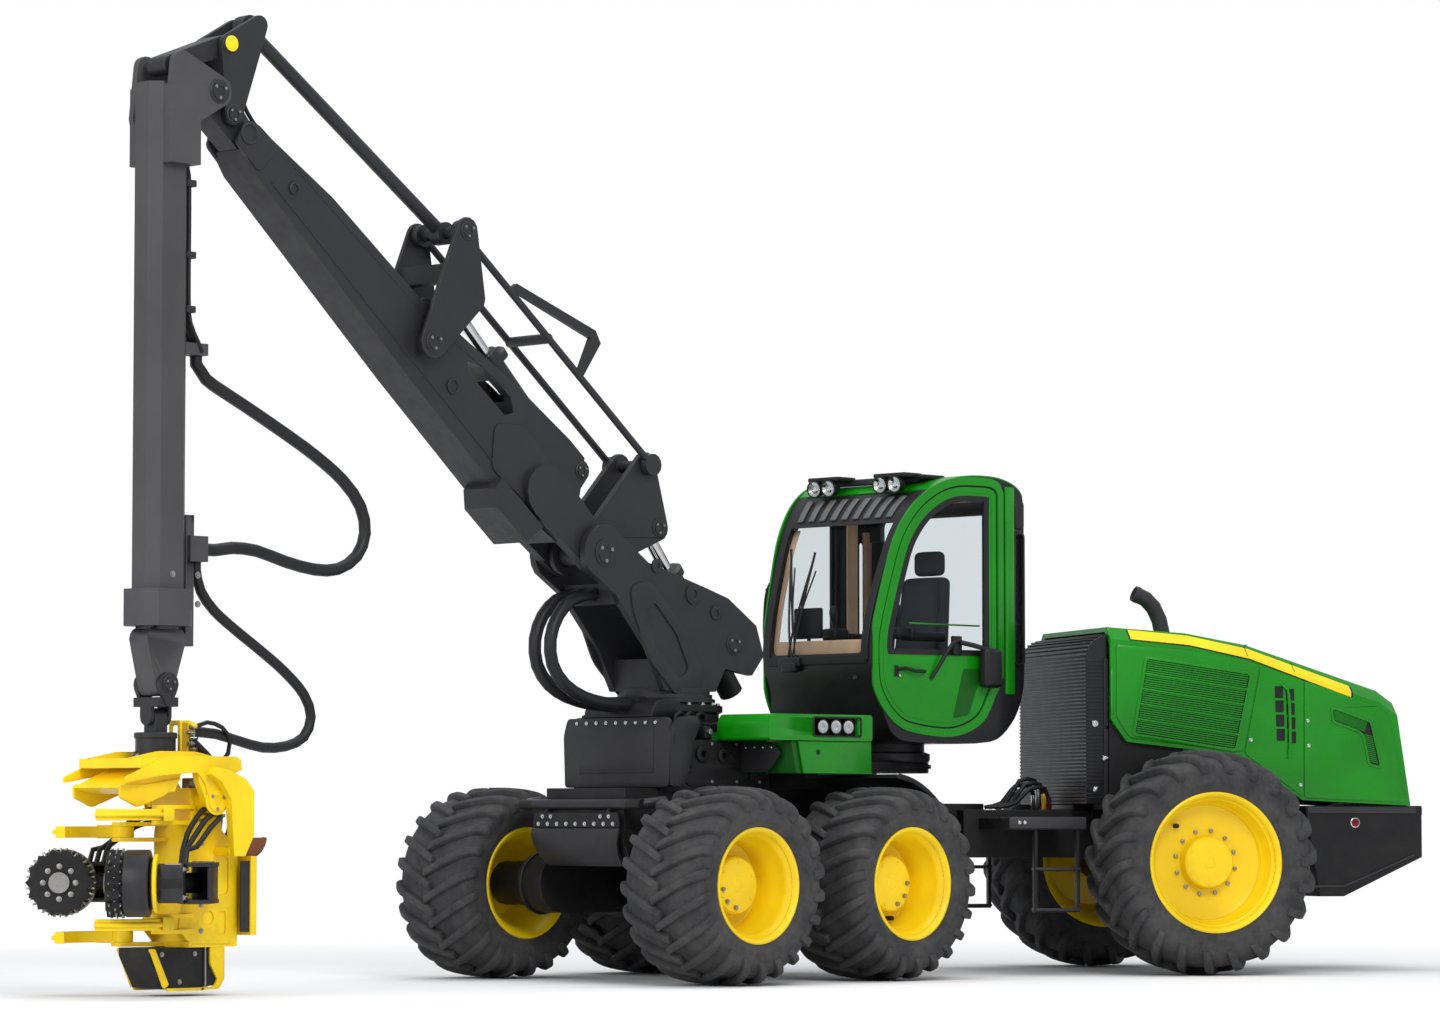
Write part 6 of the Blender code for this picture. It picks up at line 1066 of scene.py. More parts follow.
def lamp(name, place, sight, radius, depth, body, space=MACHINE):
    """A round work lamp: housing, chrome bowl and a clear lens."""
    place, sight = Vector(place), Vector(sight).normalized()
    back = place - sight * depth
    house = lathe(name + "_house", [(0.0, 0.0), (radius * 0.6, 0.0), (radius * 0.95, depth * 0.35),
                                    (radius * 1.12, depth * 0.8),
                                    (radius * 1.15, depth * 1.02), (radius, depth * 1.02),
                                    (radius * 0.97, depth * 0.9),
                                    (0.0, depth * 0.86)], back, sight, 32)
    dress(house, "plastic", body, space)
    bowl = lathe(name + "_bowl", [(0.0, depth * 0.87), (radius * 0.3, depth * 0.875),
                                  (radius * 0.34, depth * 0.95),
                                  (radius * 0.55, depth * 0.885), (radius * 0.95, depth * 0.98),
                                  (radius * 0.95, depth * 0.865),
                                  (0.0, depth * 0.865)], back, sight, 32)
    dress(bowl, "lamp_bowl", body, space)
    lens = lathe(name + "_lens", [(0.0, depth * 1.06), (radius * 0.6, depth * 1.045),
                                  (radius * 0.97, depth * 0.99),
                                  (radius * 0.97, depth * 0.975), (0.0, depth * 0.985)], back,
                                  sight, 32)
    dress(lens, "lens", body, space)


# roof bar with two pairs of lamps
for y0, y1 in ((-0.46, -0.18), (0.18, 0.46)):
    shelf = box("lamp_shelf_" + ("left" if y0 > 0 else "right"), (-1.91, y0 - 0.01, 3.515),
                (-1.72, y1 + 0.01, 3.545), 0.008)
    dress(shelf, "plastic", "cab")
    for y in (y0 + 0.07, y1 - 0.07):
        lamp(f"roof_lamp_{round(y * 100 + 100)}", (-1.70, y, 3.46), (1.0, 0.10, -0.12), 0.054, 0.10,
             "cab")
for piece, look in (
    (box("roof_rail", (-1.935, -0.44, 3.485), (-1.875, 0.44, 3.53), 0.012), "crane"),
    (box("roof_bridge", (-2.10, 0.16, 3.505), (-1.86, 0.52, 3.535), 0.01), "plastic"),
    (box("rear_lamp_left", (-2.66, 0.66, 3.16), (-2.56, 0.785, 3.36), 0.02, 3), "plastic"),
):
    dress(piece, look, "cab")

# front panel below the windshield: the wipers and their motors, a catch and a seam
for piece, look in (
    (box("wiper_motor_low", (-1.325, -0.30, 2.13), (-1.255, -0.17, 2.20), 0.015, 3), "plastic"),
    (box("wiper_motor_high", (-1.33, -0.34, 2.17), (-1.27, -0.14, 2.24), 0.015, 3), "plastic"),
    (drum("panel_catch", (-1.36, 0.36, 2.08), (-1.318, 0.36, 2.085), 0.016), "crane"),
    (tube("panel_seam", [(-1.318, -0.48, 2.18), (-1.318, 0.48, 2.18)], 0.004, smooth=False),
     "plastic"),
):
    dress(piece, look, "cab")
for i, (foot, top) in enumerate((((-1.288, -0.22, 2.22), (-1.420, -0.33, 2.93)),
                                 ((-1.288, -0.26, 2.20), (-1.395, -0.10, 2.90)))):
    foot, top = Vector(foot), Vector(top)
    arm = tube(f"wiper_arm_{i}", [foot, foot.lerp(top, 0.3) + Vector((0.03, 0, 0)),
                                  foot.lerp(top, 0.7) + Vector((0.028, 0, 0)),
                                  top + Vector((0.018, 0, 0))], 0.008)
    dress(arm, "plastic", "cab")
    twin = tube(f"wiper_guide_{i}", [foot + Vector((0, 0.035, 0)),
                                     foot.lerp(top, 0.5) + Vector((0.03, 0.034, 0)),
                                     top + Vector((0.012, 0.03, -0.05))], 0.006)
    dress(twin, "plastic", "cab")
    low, high = foot.lerp(top, 0.30), foot.lerp(top, 1.12)
    blade = tube(f"wiper_blade_{i}", [low + Vector((0.012, 0.02, 0.0)),
                                      low.lerp(high, 0.5) + Vector((0.020, 0.01, 0)),
                                      high + Vector((0.010, -0.01, 0.0))], 0.009)
    dress(blade, "plastic", "cab")

# tan lining inside the windshield and beside the door, and the roof's lining
for sign, side in SIDES:
    low, high = sorted((sign * 0.60, sign * 0.70))
    skin_strip("lining_" + side, AT_SILL, AT_VISOR, low, high, -0.058, 0.012, "tan", cuts=24)
skin_strip("lining_sill", AT_SILL - 0.01, AT_SILL + 0.028, -0.62, 0.62, -0.060, 0.014, "tan",
           cuts=6)
skin_strip("lining_roof", AT_VISOR + 0.03, AT_TAIL, -0.68, 0.68, -0.062, 0.010, "tan", cuts=20)
for sign, side in SIDES:
    low, high = sorted((sign * 0.655, sign * 0.675))
    dress(box("post_lining_" + side, (-2.455, low, 2.25), (-2.345, high, 3.36), 0.008), "tan",
          "cab")

# inside: seat with its arms, levers, console and screen
base = box("seat_pan", (-2.40, -0.24, 2.05), (-1.90, 0.24, 2.17), 0.05, 4)
cushion = box("seat_cushion", (-2.36, -0.235, 2.15), (-1.88, 0.235, 2.27), 0.055, 5)
back = box("seat_backrest", (-2.47, -0.235, 2.22), (-2.34, 0.235, 2.84), 0.055, 5)
for vert in back.data.vertices:
    vert.co.x -= (vert.co.z - 2.22) * 0.12
    vert.co.y *= 1.0 - 0.16 * max(0.0, (vert.co.z - 2.5)) / 0.34
head = box("seat_headrest", (-2.56, -0.13, 2.85), (-2.46, 0.13, 3.03), 0.045, 5)
for piece in (cushion, back, head):
    only(piece)
    fine = piece.modifiers.new("fine", "SUBSURF")
    fine.levels = fine.render_levels = 1
    bpy.ops.object.modifier_apply(modifier="fine")
    dress(piece, "seat", "cab")
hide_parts("seat")
for sign, side in SIDES:
    bolster = tube("seat_welt_" + side, [(-2.345, sign * 0.215, 2.30), (-2.37, sign * 0.205, 2.55),
                                         (-2.405, sign * 0.18, 2.80)],
                   0.010)
    dress(bolster, "plastic", "cab")
    arm = box("armrest_" + side, (-2.30, sign * 0.31 - 0.05, 2.36), (-1.88, sign * 0.31 + 0.05,
        2.43), 0.025, 4)
    dress(arm, "plastic", "cab")
    pod = box("lever_pod_" + side, (-1.92, sign * 0.31 - 0.07, 2.37), (-1.76, sign * 0.31 + 0.07,
        2.46), 0.025, 4)
    dress(pod, "plastic", "cab")
    lever = lathe("lever_" + side, [(0.0, 0.0), (0.014, 0.0), (0.014, 0.05), (0.026, 0.08),
                                    (0.030, 0.13), (0.020, 0.17), (0.0, 0.175)],
                  (-1.83, sign * 0.31, 2.45), (0.1, 0, 1), 24)
    dress(lever, "plastic", "cab")
dress(base, "plastic", "cab")
for piece, look in (
    (drum("seat_column", (-2.12, 0, 1.70), (-2.12, 0, 2.07), 0.13, 0.01), "plastic"),
    (box("console", (-1.66, -0.30, 1.72), (-1.46, 0.30, 2.20), 0.04, 4), "plastic"),
    (box("dash", (-1.72, -0.38, 2.18), (-1.44, 0.38, 2.28), 0.03, 4), "plastic"),
    (box("screen", (-1.60, -0.46, 2.38), (-1.56, -0.20, 2.60), 0.012), "plastic"),
    (drum("screen_post", (-1.585, -0.33, 2.22), (-1.585, -0.33, 2.40), 0.014), "plastic"),
    (box("side_box", (-2.32, 0.40, 1.95), (-1.70, 0.60, 2.28), 0.03, 4), "plastic"),
    (box("green_rail", (-2.36, 0.60, 2.462), (-1.62, 0.615, 2.474), 0.003), "green"),
):
    dress(piece, look, "cab")

# underside: the slewing ring
ring = lathe("cab_ring", [(0.0, 0.0), (0.33, 0.0), (0.34, 0.02), (0.34, 0.06), (0.30, 0.075),
                          (0.30, 0.13), (0.36, 0.15), (0.36, 0.17),
                          (0.0, 0.17)], (-2.0, 0, 1.497), (0, 0, 1), 48)
dress(ring, "crane", "cab")


# Rear unit: hood panels, grilles, stripe, exhaust, intake fins, tray, deck and steps

def between(quad, u, v):
    """A place in a four-cornered outline: u along its top, v down its side."""
    a, b, c, d = (Vector(corner) for corner in quad)
    return tuple((a.lerp(b, u)).lerp(d.lerp(c, u), v))


def mirrored(piece, look, body, name):
    """Dress a piece of the left side, and its twin on the right."""
    twin = copy_of(piece, Matrix.Scale(-1, 4, (0, 1, 0)))
    twin.name = name
    dress(twin, look, body, REAR)
    return dress(piece, look, body, REAR)


# the hood's side, the outer faces laid on it, the near-black plates of painted shade behind its
# openings, and the chamfer of its shoulder
HOOD_SIDE, SKIN_IN, SKIN_OUT, RIM_OUT = 0.75, 0.7495, 0.7590, 0.7640
SHADE_PLATE_IN, SHADE_PLATE_OUT, SLAT_IN = 0.7496, 0.7512, 0.7505
CHAMFER = 0.09
GRILLE = [(-1.731, 2.236), (-2.520, 2.128), (-2.400, 1.590), (-1.636, 1.698)]
front_panel = [(-1.500, 2.335), (-2.061, 2.296), (-2.505, 2.222), (-2.590, 2.195), (-2.460, 1.575),
               (-1.600, 1.668),
               (-1.500, 1.815)]
middle_panel = [(-2.603, 2.190), (-2.925, 2.090), (-2.918, 1.255), (-2.474, 1.560)]
tail_panel = [(-2.938, 2.086), (-3.505, 1.905), (-3.590, 1.842), (-3.715, 1.215), (-2.931, 1.245)]
vent = [(-3.150, 1.890), (-3.445, 1.790), (-3.520, 1.470), (-3.435, 1.490), (-3.395, 1.695),
        (-3.345, 1.735), (-3.160, 1.795)]
slots = []
for column in range(2):
    for row in range(4):
        x, z = -2.705 - 0.085 * column - 0.004 * row, 2.045 - 0.102 * row - 0.018 * column
        slots.append(oblong((x - 0.066, z - 0.086), (x, z), 0.008))

for name, outline, holes in (
    ("front", front_panel, [rounded(GRILLE, 0.03)]),
    ("middle", middle_panel, slots),
    ("tail", tail_panel, [rounded(vent, 0.015)]),
):
    skin = plate("hood_panel_" + name, rounded(outline, 0.03), SKIN_IN, SKIN_OUT, holes=holes,
                 rounding=0.0035)
    mirrored(skin, "green", "hood", "hood_panel_right_" + name)
# near-black plates behind the grille, the vent and the slots: painted shade of the hood's inside
for name, outline in (("grille", GRILLE), ("vent", vent)):
    back = plate(f"hood_{name}_back", outline, SHADE_PLATE_IN, SHADE_PLATE_OUT, rounding=0.0)
    mirrored(back, "plastic", "hood", f"hood_{name}_back_right")
back = plate("hood_slots_back", [(-2.69, 2.07), (-2.90, 2.05), (-2.90, 1.60), (-2.69, 1.62)],
             SHADE_PLATE_IN, SHADE_PLATE_OUT, rounding=0.0)
mirrored(back, "plastic", "hood", "hood_slots_back_right")
for name, outline, depth in (("grille_rim", GRILLE, -0.018), ("vent_rim", vent, -0.014)):
    rim = plate("hood_" + name, rounded(moved_in(outline, depth), 0.03), 0.7585, 0.7640,
                holes=[rounded(moved_in(outline, 0.004), 0.02)], rounding=0.002)
    mirrored(rim, "green", "hood", f"hood_{name}_right")

# louvres: five rows of slats, with a bar between the rows
slats, bars = [], []
for row in range(5):
    for k in range(6):
        v0 = (row + (k + 0.55) / 6.9) / 5.0
        v1 = v0 + 0.62 / 6.9 / 5.0
        slats.append([between(GRILLE, 0.012, v0), between(GRILLE, 0.988, v0), between(GRILLE, 0.988,
            v1),
                      between(GRILLE, 0.012, v1)])
    if row:
        bars.append([between(GRILLE, 0.0, row / 5.0 - 0.012),
                     between(GRILLE, 1.0, row / 5.0 - 0.012),
                     between(GRILLE, 1.0, row / 5.0 + 0.014),
                     between(GRILLE, 0.0, row / 5.0 + 0.014)])
louvres = plate("hood_louvres", slats[0], SLAT_IN, SKIN_OUT, holes=slats[1:], rounding=0.0015,
                segments=1)
mirrored(louvres, "green", "hood", "hood_louvres_right")
row_bars = plate("hood_row_bars", bars[0], SLAT_IN, RIM_OUT, holes=bars[1:], rounding=0.004)
mirrored(row_bars, "green", "hood", "hood_row_bars_right")
fins = []
for k in range(9):
    t = k / 9.0 + 0.02
    a, b = Vector((-3.165, 1.878)).lerp(Vector((-3.165, 1.808)),
                                        t), Vector((-3.42, 1.792)).lerp(Vector((-3.40, 1.722)), t)
    fins.append([tuple(a), tuple(b), tuple(b - Vector((0, 0.0045))),
                 tuple(a - Vector((0, 0.0045)))])
for k in range(14):
    t = k / 14.0
    a, b = Vector((-3.40, 1.705)).lerp(Vector((-3.44, 1.50)),
                                       t), Vector((-3.462, 1.69)).lerp(Vector((-3.505, 1.485)), t)
    fins.append([tuple(a), tuple(b), tuple(b - Vector((0, 0.007))), tuple(a - Vector((0, 0.007)))])
vent_fins = plate("hood_vent_fins", fins[0], SLAT_IN, 0.7575, holes=fins[1:], rounding=0.0)
mirrored(vent_fins, "green", "hood", "hood_vent_fins_right")

grip = tube("hood_grip", [(-2.755, 0.752, 2.065), (-2.758, 0.785, 2.060), (-2.800, 0.800, 2.020),
                          (-2.815, 0.800, 1.85),
                          (-2.815, 0.800, 1.60), (-2.805, 0.790, 1.535), (-2.775, 0.752, 1.520)],
                          0.011, sides=5)
grip.data.transform(Matrix.Translation((0, -0.027, 0)))
mirrored(grip, "green", "hood", "hood_grip_right")
places = [(-2.96, 0.7595, 1.80), (-2.965, 0.7595, 1.62), (-2.52, 0.7595, 1.66),
          (-2.90, 0.7595, 1.34)]
for sign, side in SIDES:
    catches = bolts("hood_catches_" + side, [(x, sign * y, z) for x, y, z in places], (0, sign, 0),
                    0.010, 0.006)
    dress(catches, "steel", "hood", REAR)

# the chamfer along the hood's shoulder carries a blank yellow stripe with black borders
CROWN = [(-1.46, 2.46), (-2.061, 2.421), (-2.520, 2.341), (-3.530, 2.021), (-3.659, 1.930)]


def crown_at(x):
    for (x0, z0), (x1, z1) in zip(CROWN, CROWN[1:]):
        if x1 <= x <= x0:
            return z0 + (z1 - z0) * (x - x0) / (x1 - x0)
    return CROWN[-1][1]


def ribbon(name, x0, x1, low0, high0, low1, high1, lift, thick, look):
    """A band laid on the shoulder's slope, between two shares of its width at each end."""
    cuts = 14
    edges_low, edges_high = [], []
    reach = CHAMFER * 2 ** 0.5
    for k in range(cuts + 1):
        t = k / cuts
        x = x0 + (x1 - x0) * t
        for edge, start, end in ((edges_low, low0, low1), (edges_high, high0, high1)):
            share = start + (end - start) * t
            edge.append((x, share * reach))
    band = plate(name, edges_low + edges_high[::-1], 0.0, thick, across="Z", rounding=0.0)
    edit(band)
    for x, _ in CROWN[1:-1]:
        bpy.ops.mesh.select_all(action="SELECT")
        bpy.ops.mesh.bisect(plane_co=(x, 0, 0), plane_no=(1, 0, 0))
    bpy.ops.mesh.select_all(action="SELECT")
    bpy.ops.mesh.bisect(plane_co=(0, 0, 0), plane_no=(0, 1, 0))
    leave()
    for vert in band.data.vertices:
        x, run, height = vert.co
        out = lift + height
        if run >= 0.0:
            # up the slope from its lower corner, square to it by the lift
            y = HOOD_SIDE - run / 2 ** 0.5 + out / 2 ** 0.5
            z = crown_at(x) - CHAMFER + run / 2 ** 0.5 + out / 2 ** 0.5
        else:
            y = HOOD_SIDE + out
            z = crown_at(x) - CHAMFER + run + out * 0.4
        vert.co = (x, y, z)
    outward(band)
    only(band)
    bpy.ops.object.shade_smooth_by_angle(angle=radians(25.0))
    return mirrored(band, look, "hood", name + "_right")


ribbon("stripe", -1.615, -3.30, 0.10, 0.86, -0.28, 0.50, 0.002, 0.0022, "yellow")
ribbon("stripe_border", -1.605, -3.315, 0.04, 0.86, -0.36, 0.50, 0.0006, 0.0020, "plastic")
for i, x in enumerate((-2.50, -2.86)):
    ribbon(f"stripe_cut_{i}", x, x - 0.006, 0.0, 0.80, 0.0, 0.80, 0.0040, 0.0008, "plastic")

# exhaust; its open end is a near-black disc in the mouth: soot, and painted shade of the pipe's
# inside
outer = [(-2.185, -0.1, 2.36), (-2.175, -0.1, 2.46), (-2.155, -0.1, 2.55), (-2.11, -0.1, 2.64),
         (-2.05, -0.1, 2.70),
         (-1.965, -0.1, 2.737)]
pipe = tube("exhaust_pipe", outer, 0.058, sides=8)
end, before = Vector(outer[-1]), Vector(outer[-2])
aim = (end - before).normalized()
dress(pipe, "exhaust", "hood", REAR)
mouth = lathe("exhaust_mouth", [(0.0, -0.0015), (0.046, -0.0015), (0.048, 0.006), (0.0585, 0.006),
                                (0.0605, -0.02), (0.0585, -0.04),
                                (0.0, -0.04)], end, aim, 32)
dress(mouth, "exhaust", "hood", REAR)
# the near-black disc across the mouth: soot and painted shade
throat = lathe("exhaust_throat_shade", [(0.0, 0.0), (0.046, 0.0), (0.046, 0.0025), (0.0, 0.0025)], end,
               aim, 32)
dress(throat, "soot", "hood", REAR)
collar = lathe("exhaust_collar", [(0.0, 0.0), (0.105, 0.0), (0.10, 0.02), (0.07, 0.03),
                                  (0.066, 0.07), (0.0, 0.07)],
               (-2.183, -0.1, 2.385), (0.0, 0, 1), 40)
dress(collar, "plastic", "hood", REAR)
# the seam across the hood's top, and the lips at its front corners
seam = box("hood_top_seam", (-2.535, -0.655, 2.335), (-2.522, 0.655, 2.3445), 0.001)
dress(seam, "plastic", "hood", REAR)
for sign, side in SIDES:
    lip = tube("hood_front_lip_" + side, [(-1.468, sign * 0.66, 2.452), (-1.468, sign * 0.735,
        2.375), (-1.470, sign * 0.745, 1.84)],
               0.012, smooth=False)
    dress(lip, "green", "hood", REAR)

# intake: fins all over its front and round its top edge
rib = box("intake_rib", (-0.004, -0.695, -0.0065), (0.010, 0.695, 0.0065), 0.004, 2)
turns = []
for i in range(40):
    turns.append(Matrix.Translation((-1.290, 0, 1.225 + 0.0262 * i)))
for i in range(8):
    angle = radians(4 + 12.0 * i)
    turns.append(Matrix.Translation((-1.45 + 0.16 * cos(angle), 0, 2.24 + 0.16 * sin(angle)))
                 @ Matrix.Rotation(-angle, 4, "Y"))
ribs = repeated("intake_ribs", rib, turns)
dress(ribs, "plastic", "rear_unit", REAR)
side_rib = box("intake_side_rib", (-1.445, 0.699, -0.0055), (-1.296, 0.7045, 0.0055), 0.002, 1)
side_ribs = repeated("intake_side_ribs", side_rib,
                     [Matrix.Translation((0, 0, 1.245 + 0.0262 * i)) for i in range(38)])
mirrored(side_ribs, "plastic", "rear_unit", "intake_side_ribs_right")
for z0, z1, name in ((1.20, 1.74, "low"), (1.75, 2.24, "high")):
    strip = plate("intake_edge_" + name, oblong((-1.452, z0 + 0.005), (-1.420, z1 - 0.005), 0.01),
                  0.699, 0.712, rounding=0.003)
    mirrored(strip, "plastic", "rear_unit", f"intake_edge_{name}_right")
for sign, side in SIDES:
    studs = bolts("side_panel_bolts_" + side, [(-1.355, sign * 0.7085, 1.77),
                                               (-1.432, sign * 0.7085, 1.524),
                                                (-1.36, sign * 0.7085, 1.30)], (0, sign, 0), 0.017,
                                                0.009)
    dress(studs, "steel", "rear_unit", REAR)

# tray: folded rim, red reflectors, tail lamps and the tail plate's bolts
for sign, side in SIDES:
    low, high = sorted((sign * 0.738, sign * 0.752))
    rim = box("tray_rim_" + side, (-3.80, low, 1.135), (-2.955, high, 1.182), 0.006, 3)
    dress(rim, "tray", "rear_unit", REAR)
    seat = lathe("tray_reflector_seat_" + side, [(0.0, 0.0), (0.036, 0.0), (0.036, 0.008),
                                                 (0.031, 0.011), (0.0, 0.011)],
                 (-3.325, sign * 0.74, 1.068), (0, sign, 0), 32)
    dress(seat, "steel", "rear_unit", REAR)
    disc = lathe("tray_reflector_" + side, [(0.0, 0.0), (0.029, 0.0), (0.029, 0.006),
                                            (0.020, 0.009), (0.0, 0.0095)],
                 (-3.325, sign * 0.7505, 1.068), (0, sign, 0), 32)
    dress(disc, "red", "rear_unit", REAR)
    fold = plate("tray_fold_" + side, [(-2.995, 0.62), (-3.235, 0.62), (-3.79, 0.845),
                                       (-3.79, 0.830), (-3.238, 0.605), (-2.995, 0.605)],
                 low, high, rounding=0.003)
    dress(fold, "tray", "rear_unit", REAR)
back_bar = box("tray_back_rim", (-3.862, -0.72, 1.12), (-3.845, 0.72, 1.18), 0.006)
dress(back_bar, "tray", "rear_unit", REAR)
rows = bolts("tray_back_bolts", [(-3.851, y, 0.98) for y in (-0.6, -0.2, 0.2, 0.6)], (-1, 0, 0),
             0.015, 0.008)
dress(rows, "steel", "rear_unit", REAR)
for sign, side in SIDES:
    cup = lathe("tail_lamp_cup_" + side, [(0.0, 0.0), (0.058, 0.0), (0.058, 0.012), (0.050, 0.016),
                                          (0.0, 0.016)],
                (-3.85, sign * 0.56, 1.07), (-1, 0, 0), 32)
    dress(cup, "plastic", "rear_unit", REAR)
    lamp_face = lathe("tail_lamp_" + side, [(0.0, 0.0), (0.048, 0.0), (0.048, 0.006), (0.0, 0.010)],
                      (-3.865, sign * 0.56, 1.07),
                      (-1, 0, 0), 32)
    dress(lamp_face, "red", "rear_unit", REAR)

# decks beside the middle joint: raised treads, edge rails, steps and bolts
for sign, side in SIDES:
    lug = box("deck_lug", (-0.016, -0.004, 0.0), (0.016, 0.004, 0.005), 0.002, 1)
    spots = []
    for i in range(9):
        for k in range(8):
            lean = radians(45 if (i + k) % 2 else -45)
            spots.append(Matrix.Translation((-1.13 + 0.06 * i, sign * (0.42 + 0.072 * k),
                                             1.099)) @ Matrix.Rotation(lean, 4, "Z"))
    treads = repeated("deck_treads_" + side, lug, spots)
    dress(treads, "deck", "rear_unit", REAR)
    rail = box("deck_edge_" + side, (-1.175, sign * 1.0 - 0.008, 1.03), (-0.605, sign * 1.0 + 0.004,
        1.108), 0.004)
    dress(rail, "deck", "rear_unit", REAR)
    for i in range(2):
        z = 0.452 + 0.285 * i
        low, high = sorted((sign * 0.90, sign * 0.998))
        step = box(f"step_{side}_{i}", (-1.138, low, z), (-0.802, high, z + 0.018), 0.005)
        dress(step, "deck", "rear_unit", REAR)
    marks = bolts("deck_bolts_" + side, [(-0.72, sign * 1.004, 1.07), (-0.68, sign * 1.004, 1.07)],
                  (0, sign, 0), 0.009, 0.006)
    dress(marks, "steel", "rear_unit", REAR)

# joint: short hoses and couplings ahead of the intake
for i, (y, z, tone) in enumerate(((-0.10, 1.27, "steel"), (0.0, 1.31, "steel"),
                                  (0.12, 1.28, "amber"), (0.22, 1.25, "red"))):
    fitting = drum(f"joint_coupling_{i}", (-1.18, y, 1.165), (-1.17, y + 0.02, z), 0.020, 0.005, 16)
    dress(fitting, tone, "rear_unit", REAR)
    loop_hose = tube(f"joint_hose_{i}", [(-1.17, y + 0.02, z - 0.01), (-1.14, y + 0.03, z + 0.06),
                                         (-1.02, y + 0.04, z + 0.06),
                                         (-0.92, y + 0.03, 1.21), (-0.80, y, 1.178)], 0.016)
    dress(loop_hose, "hose", "rear_unit", REAR)


# Front unit: shield, bumper, scoop, deck covers with lamps, side beams and fenders

shield_out = rounded([(-0.50, 1.305), (0.50, 1.305), (0.515, 1.66), (0.475, 1.775), (-0.475, 1.775),
                      (-0.515, 1.66)], 0.03)
shield = plate("shield_plate", shield_out, 0.612, 0.664, across="X", rounding=0.006)
dress(shield, "shield", "carrier")
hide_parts("crane_shield")
dress(box("shield_pressing_0", (0.660, -0.36, 1.40), (0.668, 0.36, 1.72), 0.003), "shield",
      "carrier")
for sign, side in SIDES:
    cheek = plate("shield_cheek_" + side, rounded([(0.655, 1.31), (0.655, 1.70), (0.58, 1.775),
                                                   (0.42, 1.79), (0.36, 1.74), (0.44, 1.60),
                                                   (0.47, 1.42), (0.52, 1.31)], 0.03),
                  *sorted((sign * 0.498, sign * 0.512)), rounding=0.004)
    dress(cheek, "shield", "carrier")
heads = bolts("shield_bolts", [(0.667, -0.38 + 0.095 * i, 1.742) for i in range(9)], (1, 0, 0),
              0.010, 0.007)
dress(heads, "steel", "carrier")
# hood over the hoses that come out ahead of the crane's foot
cowl = plate("crane_cowl", [(0.655, 1.775), (0.645, 1.83), (0.60, 1.885), (0.52, 1.905),
                            (0.40, 1.895), (0.34, 1.86), (0.33, 1.775)],
             -0.33, 0.33, rounding=0.012, segments=3)
dress(cowl, "black", "carrier")
ring = lathe("slew_ring", [(0.0, 0.0), (0.375, 0.0), (0.385, 0.015), (0.385, 0.05), (0.37, 0.065),
                           (0.37, 0.12), (0.395, 0.135),
                           (0.395, 0.175), (0.36, 0.185), (0.0, 0.185)], (0.2, 0, 1.685), (0, 0, 1),
                           56)
dress(ring, "black", "carrier")
studs = bolts("slew_bolts", [(0.2 + 0.365 * cos(2 * pi * i / 20), 0.365 * sin(2 * pi * i / 20),
                              1.868) for i in range(20)],
              (0, 0, 1), 0.014, 0.011)
dress(studs, "worn_steel", "carrier")
# valves and pipes behind the shield's open side
for sign, side in SIDES:
    for i, (x, y, z, w, h) in enumerate(((0.50, 0.40, 1.68, 0.09, 0.13), (0.38, 0.41, 1.70, 0.07,
        0.10), (0.27, 0.44, 1.68, 0.06, 0.08))):
        dress(box(f"valve_{side}_{i}", (x - w / 2, sign * y - 0.045, z - h / 2),
                  (x + w / 2, sign * y + 0.045, z + h / 2), 0.008),
              "plastic" if i != 1 else "worn_steel", "carrier")
        cap = drum(f"valve_cap_{side}_{i}", (x, sign * (y + 0.04), z), (x, sign * (y + 0.075), z),
                   0.022, 0.004, 6)
        dress(cap, "worn_steel", "carrier")
    for i in range(3):
        x = 0.55 - 0.10 * i
        pipe = tube(f"valve_hose_{side}_{i}", [(x, sign * 0.44, 1.74), (x - 0.01, sign * 0.45,
            1.79), (x - 0.06, sign * 0.43, 1.81),
                                               (x - 0.12, sign * 0.40, 1.80),
                                               (x - 0.16, sign * 0.36, 1.76)], 0.012)
        dress(pipe, "hose", "carrier")

    # side beam with its bosses and round holes
    outline = rounded([(-0.30, 1.315), (0.44, 1.315), (0.55, 1.42), (0.55, 1.55), (0.44, 1.625),
                       (-0.30, 1.625)], 0.03)
    holes = [ring_of((0.32, 1.53), 0.042, 24), ring_of((0.12, 1.52), 0.036, 24),
             oblong((-0.16, 1.36), (0.06, 1.44), 0.03)]
    beam = plate("side_beam_" + side, outline, *sorted((sign * 0.459, sign * 0.474)), holes=holes,
                 rounding=0.004)
    dress(beam, "black", "carrier")
    for i, (x, z, r) in enumerate(((0.32, 1.53, 0.042), (0.12, 1.52, 0.036), (0.46, 1.44, 0.030))):
        boss = lathe(f"beam_boss_{side}_{i}", [(r * 0.62, 0.0), (r * 1.35, 0.0), (r * 1.35, 0.016),
                                               (r * 1.1, 0.022), (r * 0.62, 0.022),
                                               (r * 0.62, 0.0)], (x, sign * 0.473, z), (0, sign, 0),
                                               32)
        dress(boss, "black", "carrier")
    rows = bolts("beam_bolts_" + side, [(x, sign * 0.474, z) for x in (-0.24, -0.02, 0.22,
        0.42) for z in (1.345, 1.60)
                                        if not (x > 0.4 and z < 1.4)], (0, sign, 0), 0.010, 0.007)
    dress(rows, "worn_steel", "carrier")

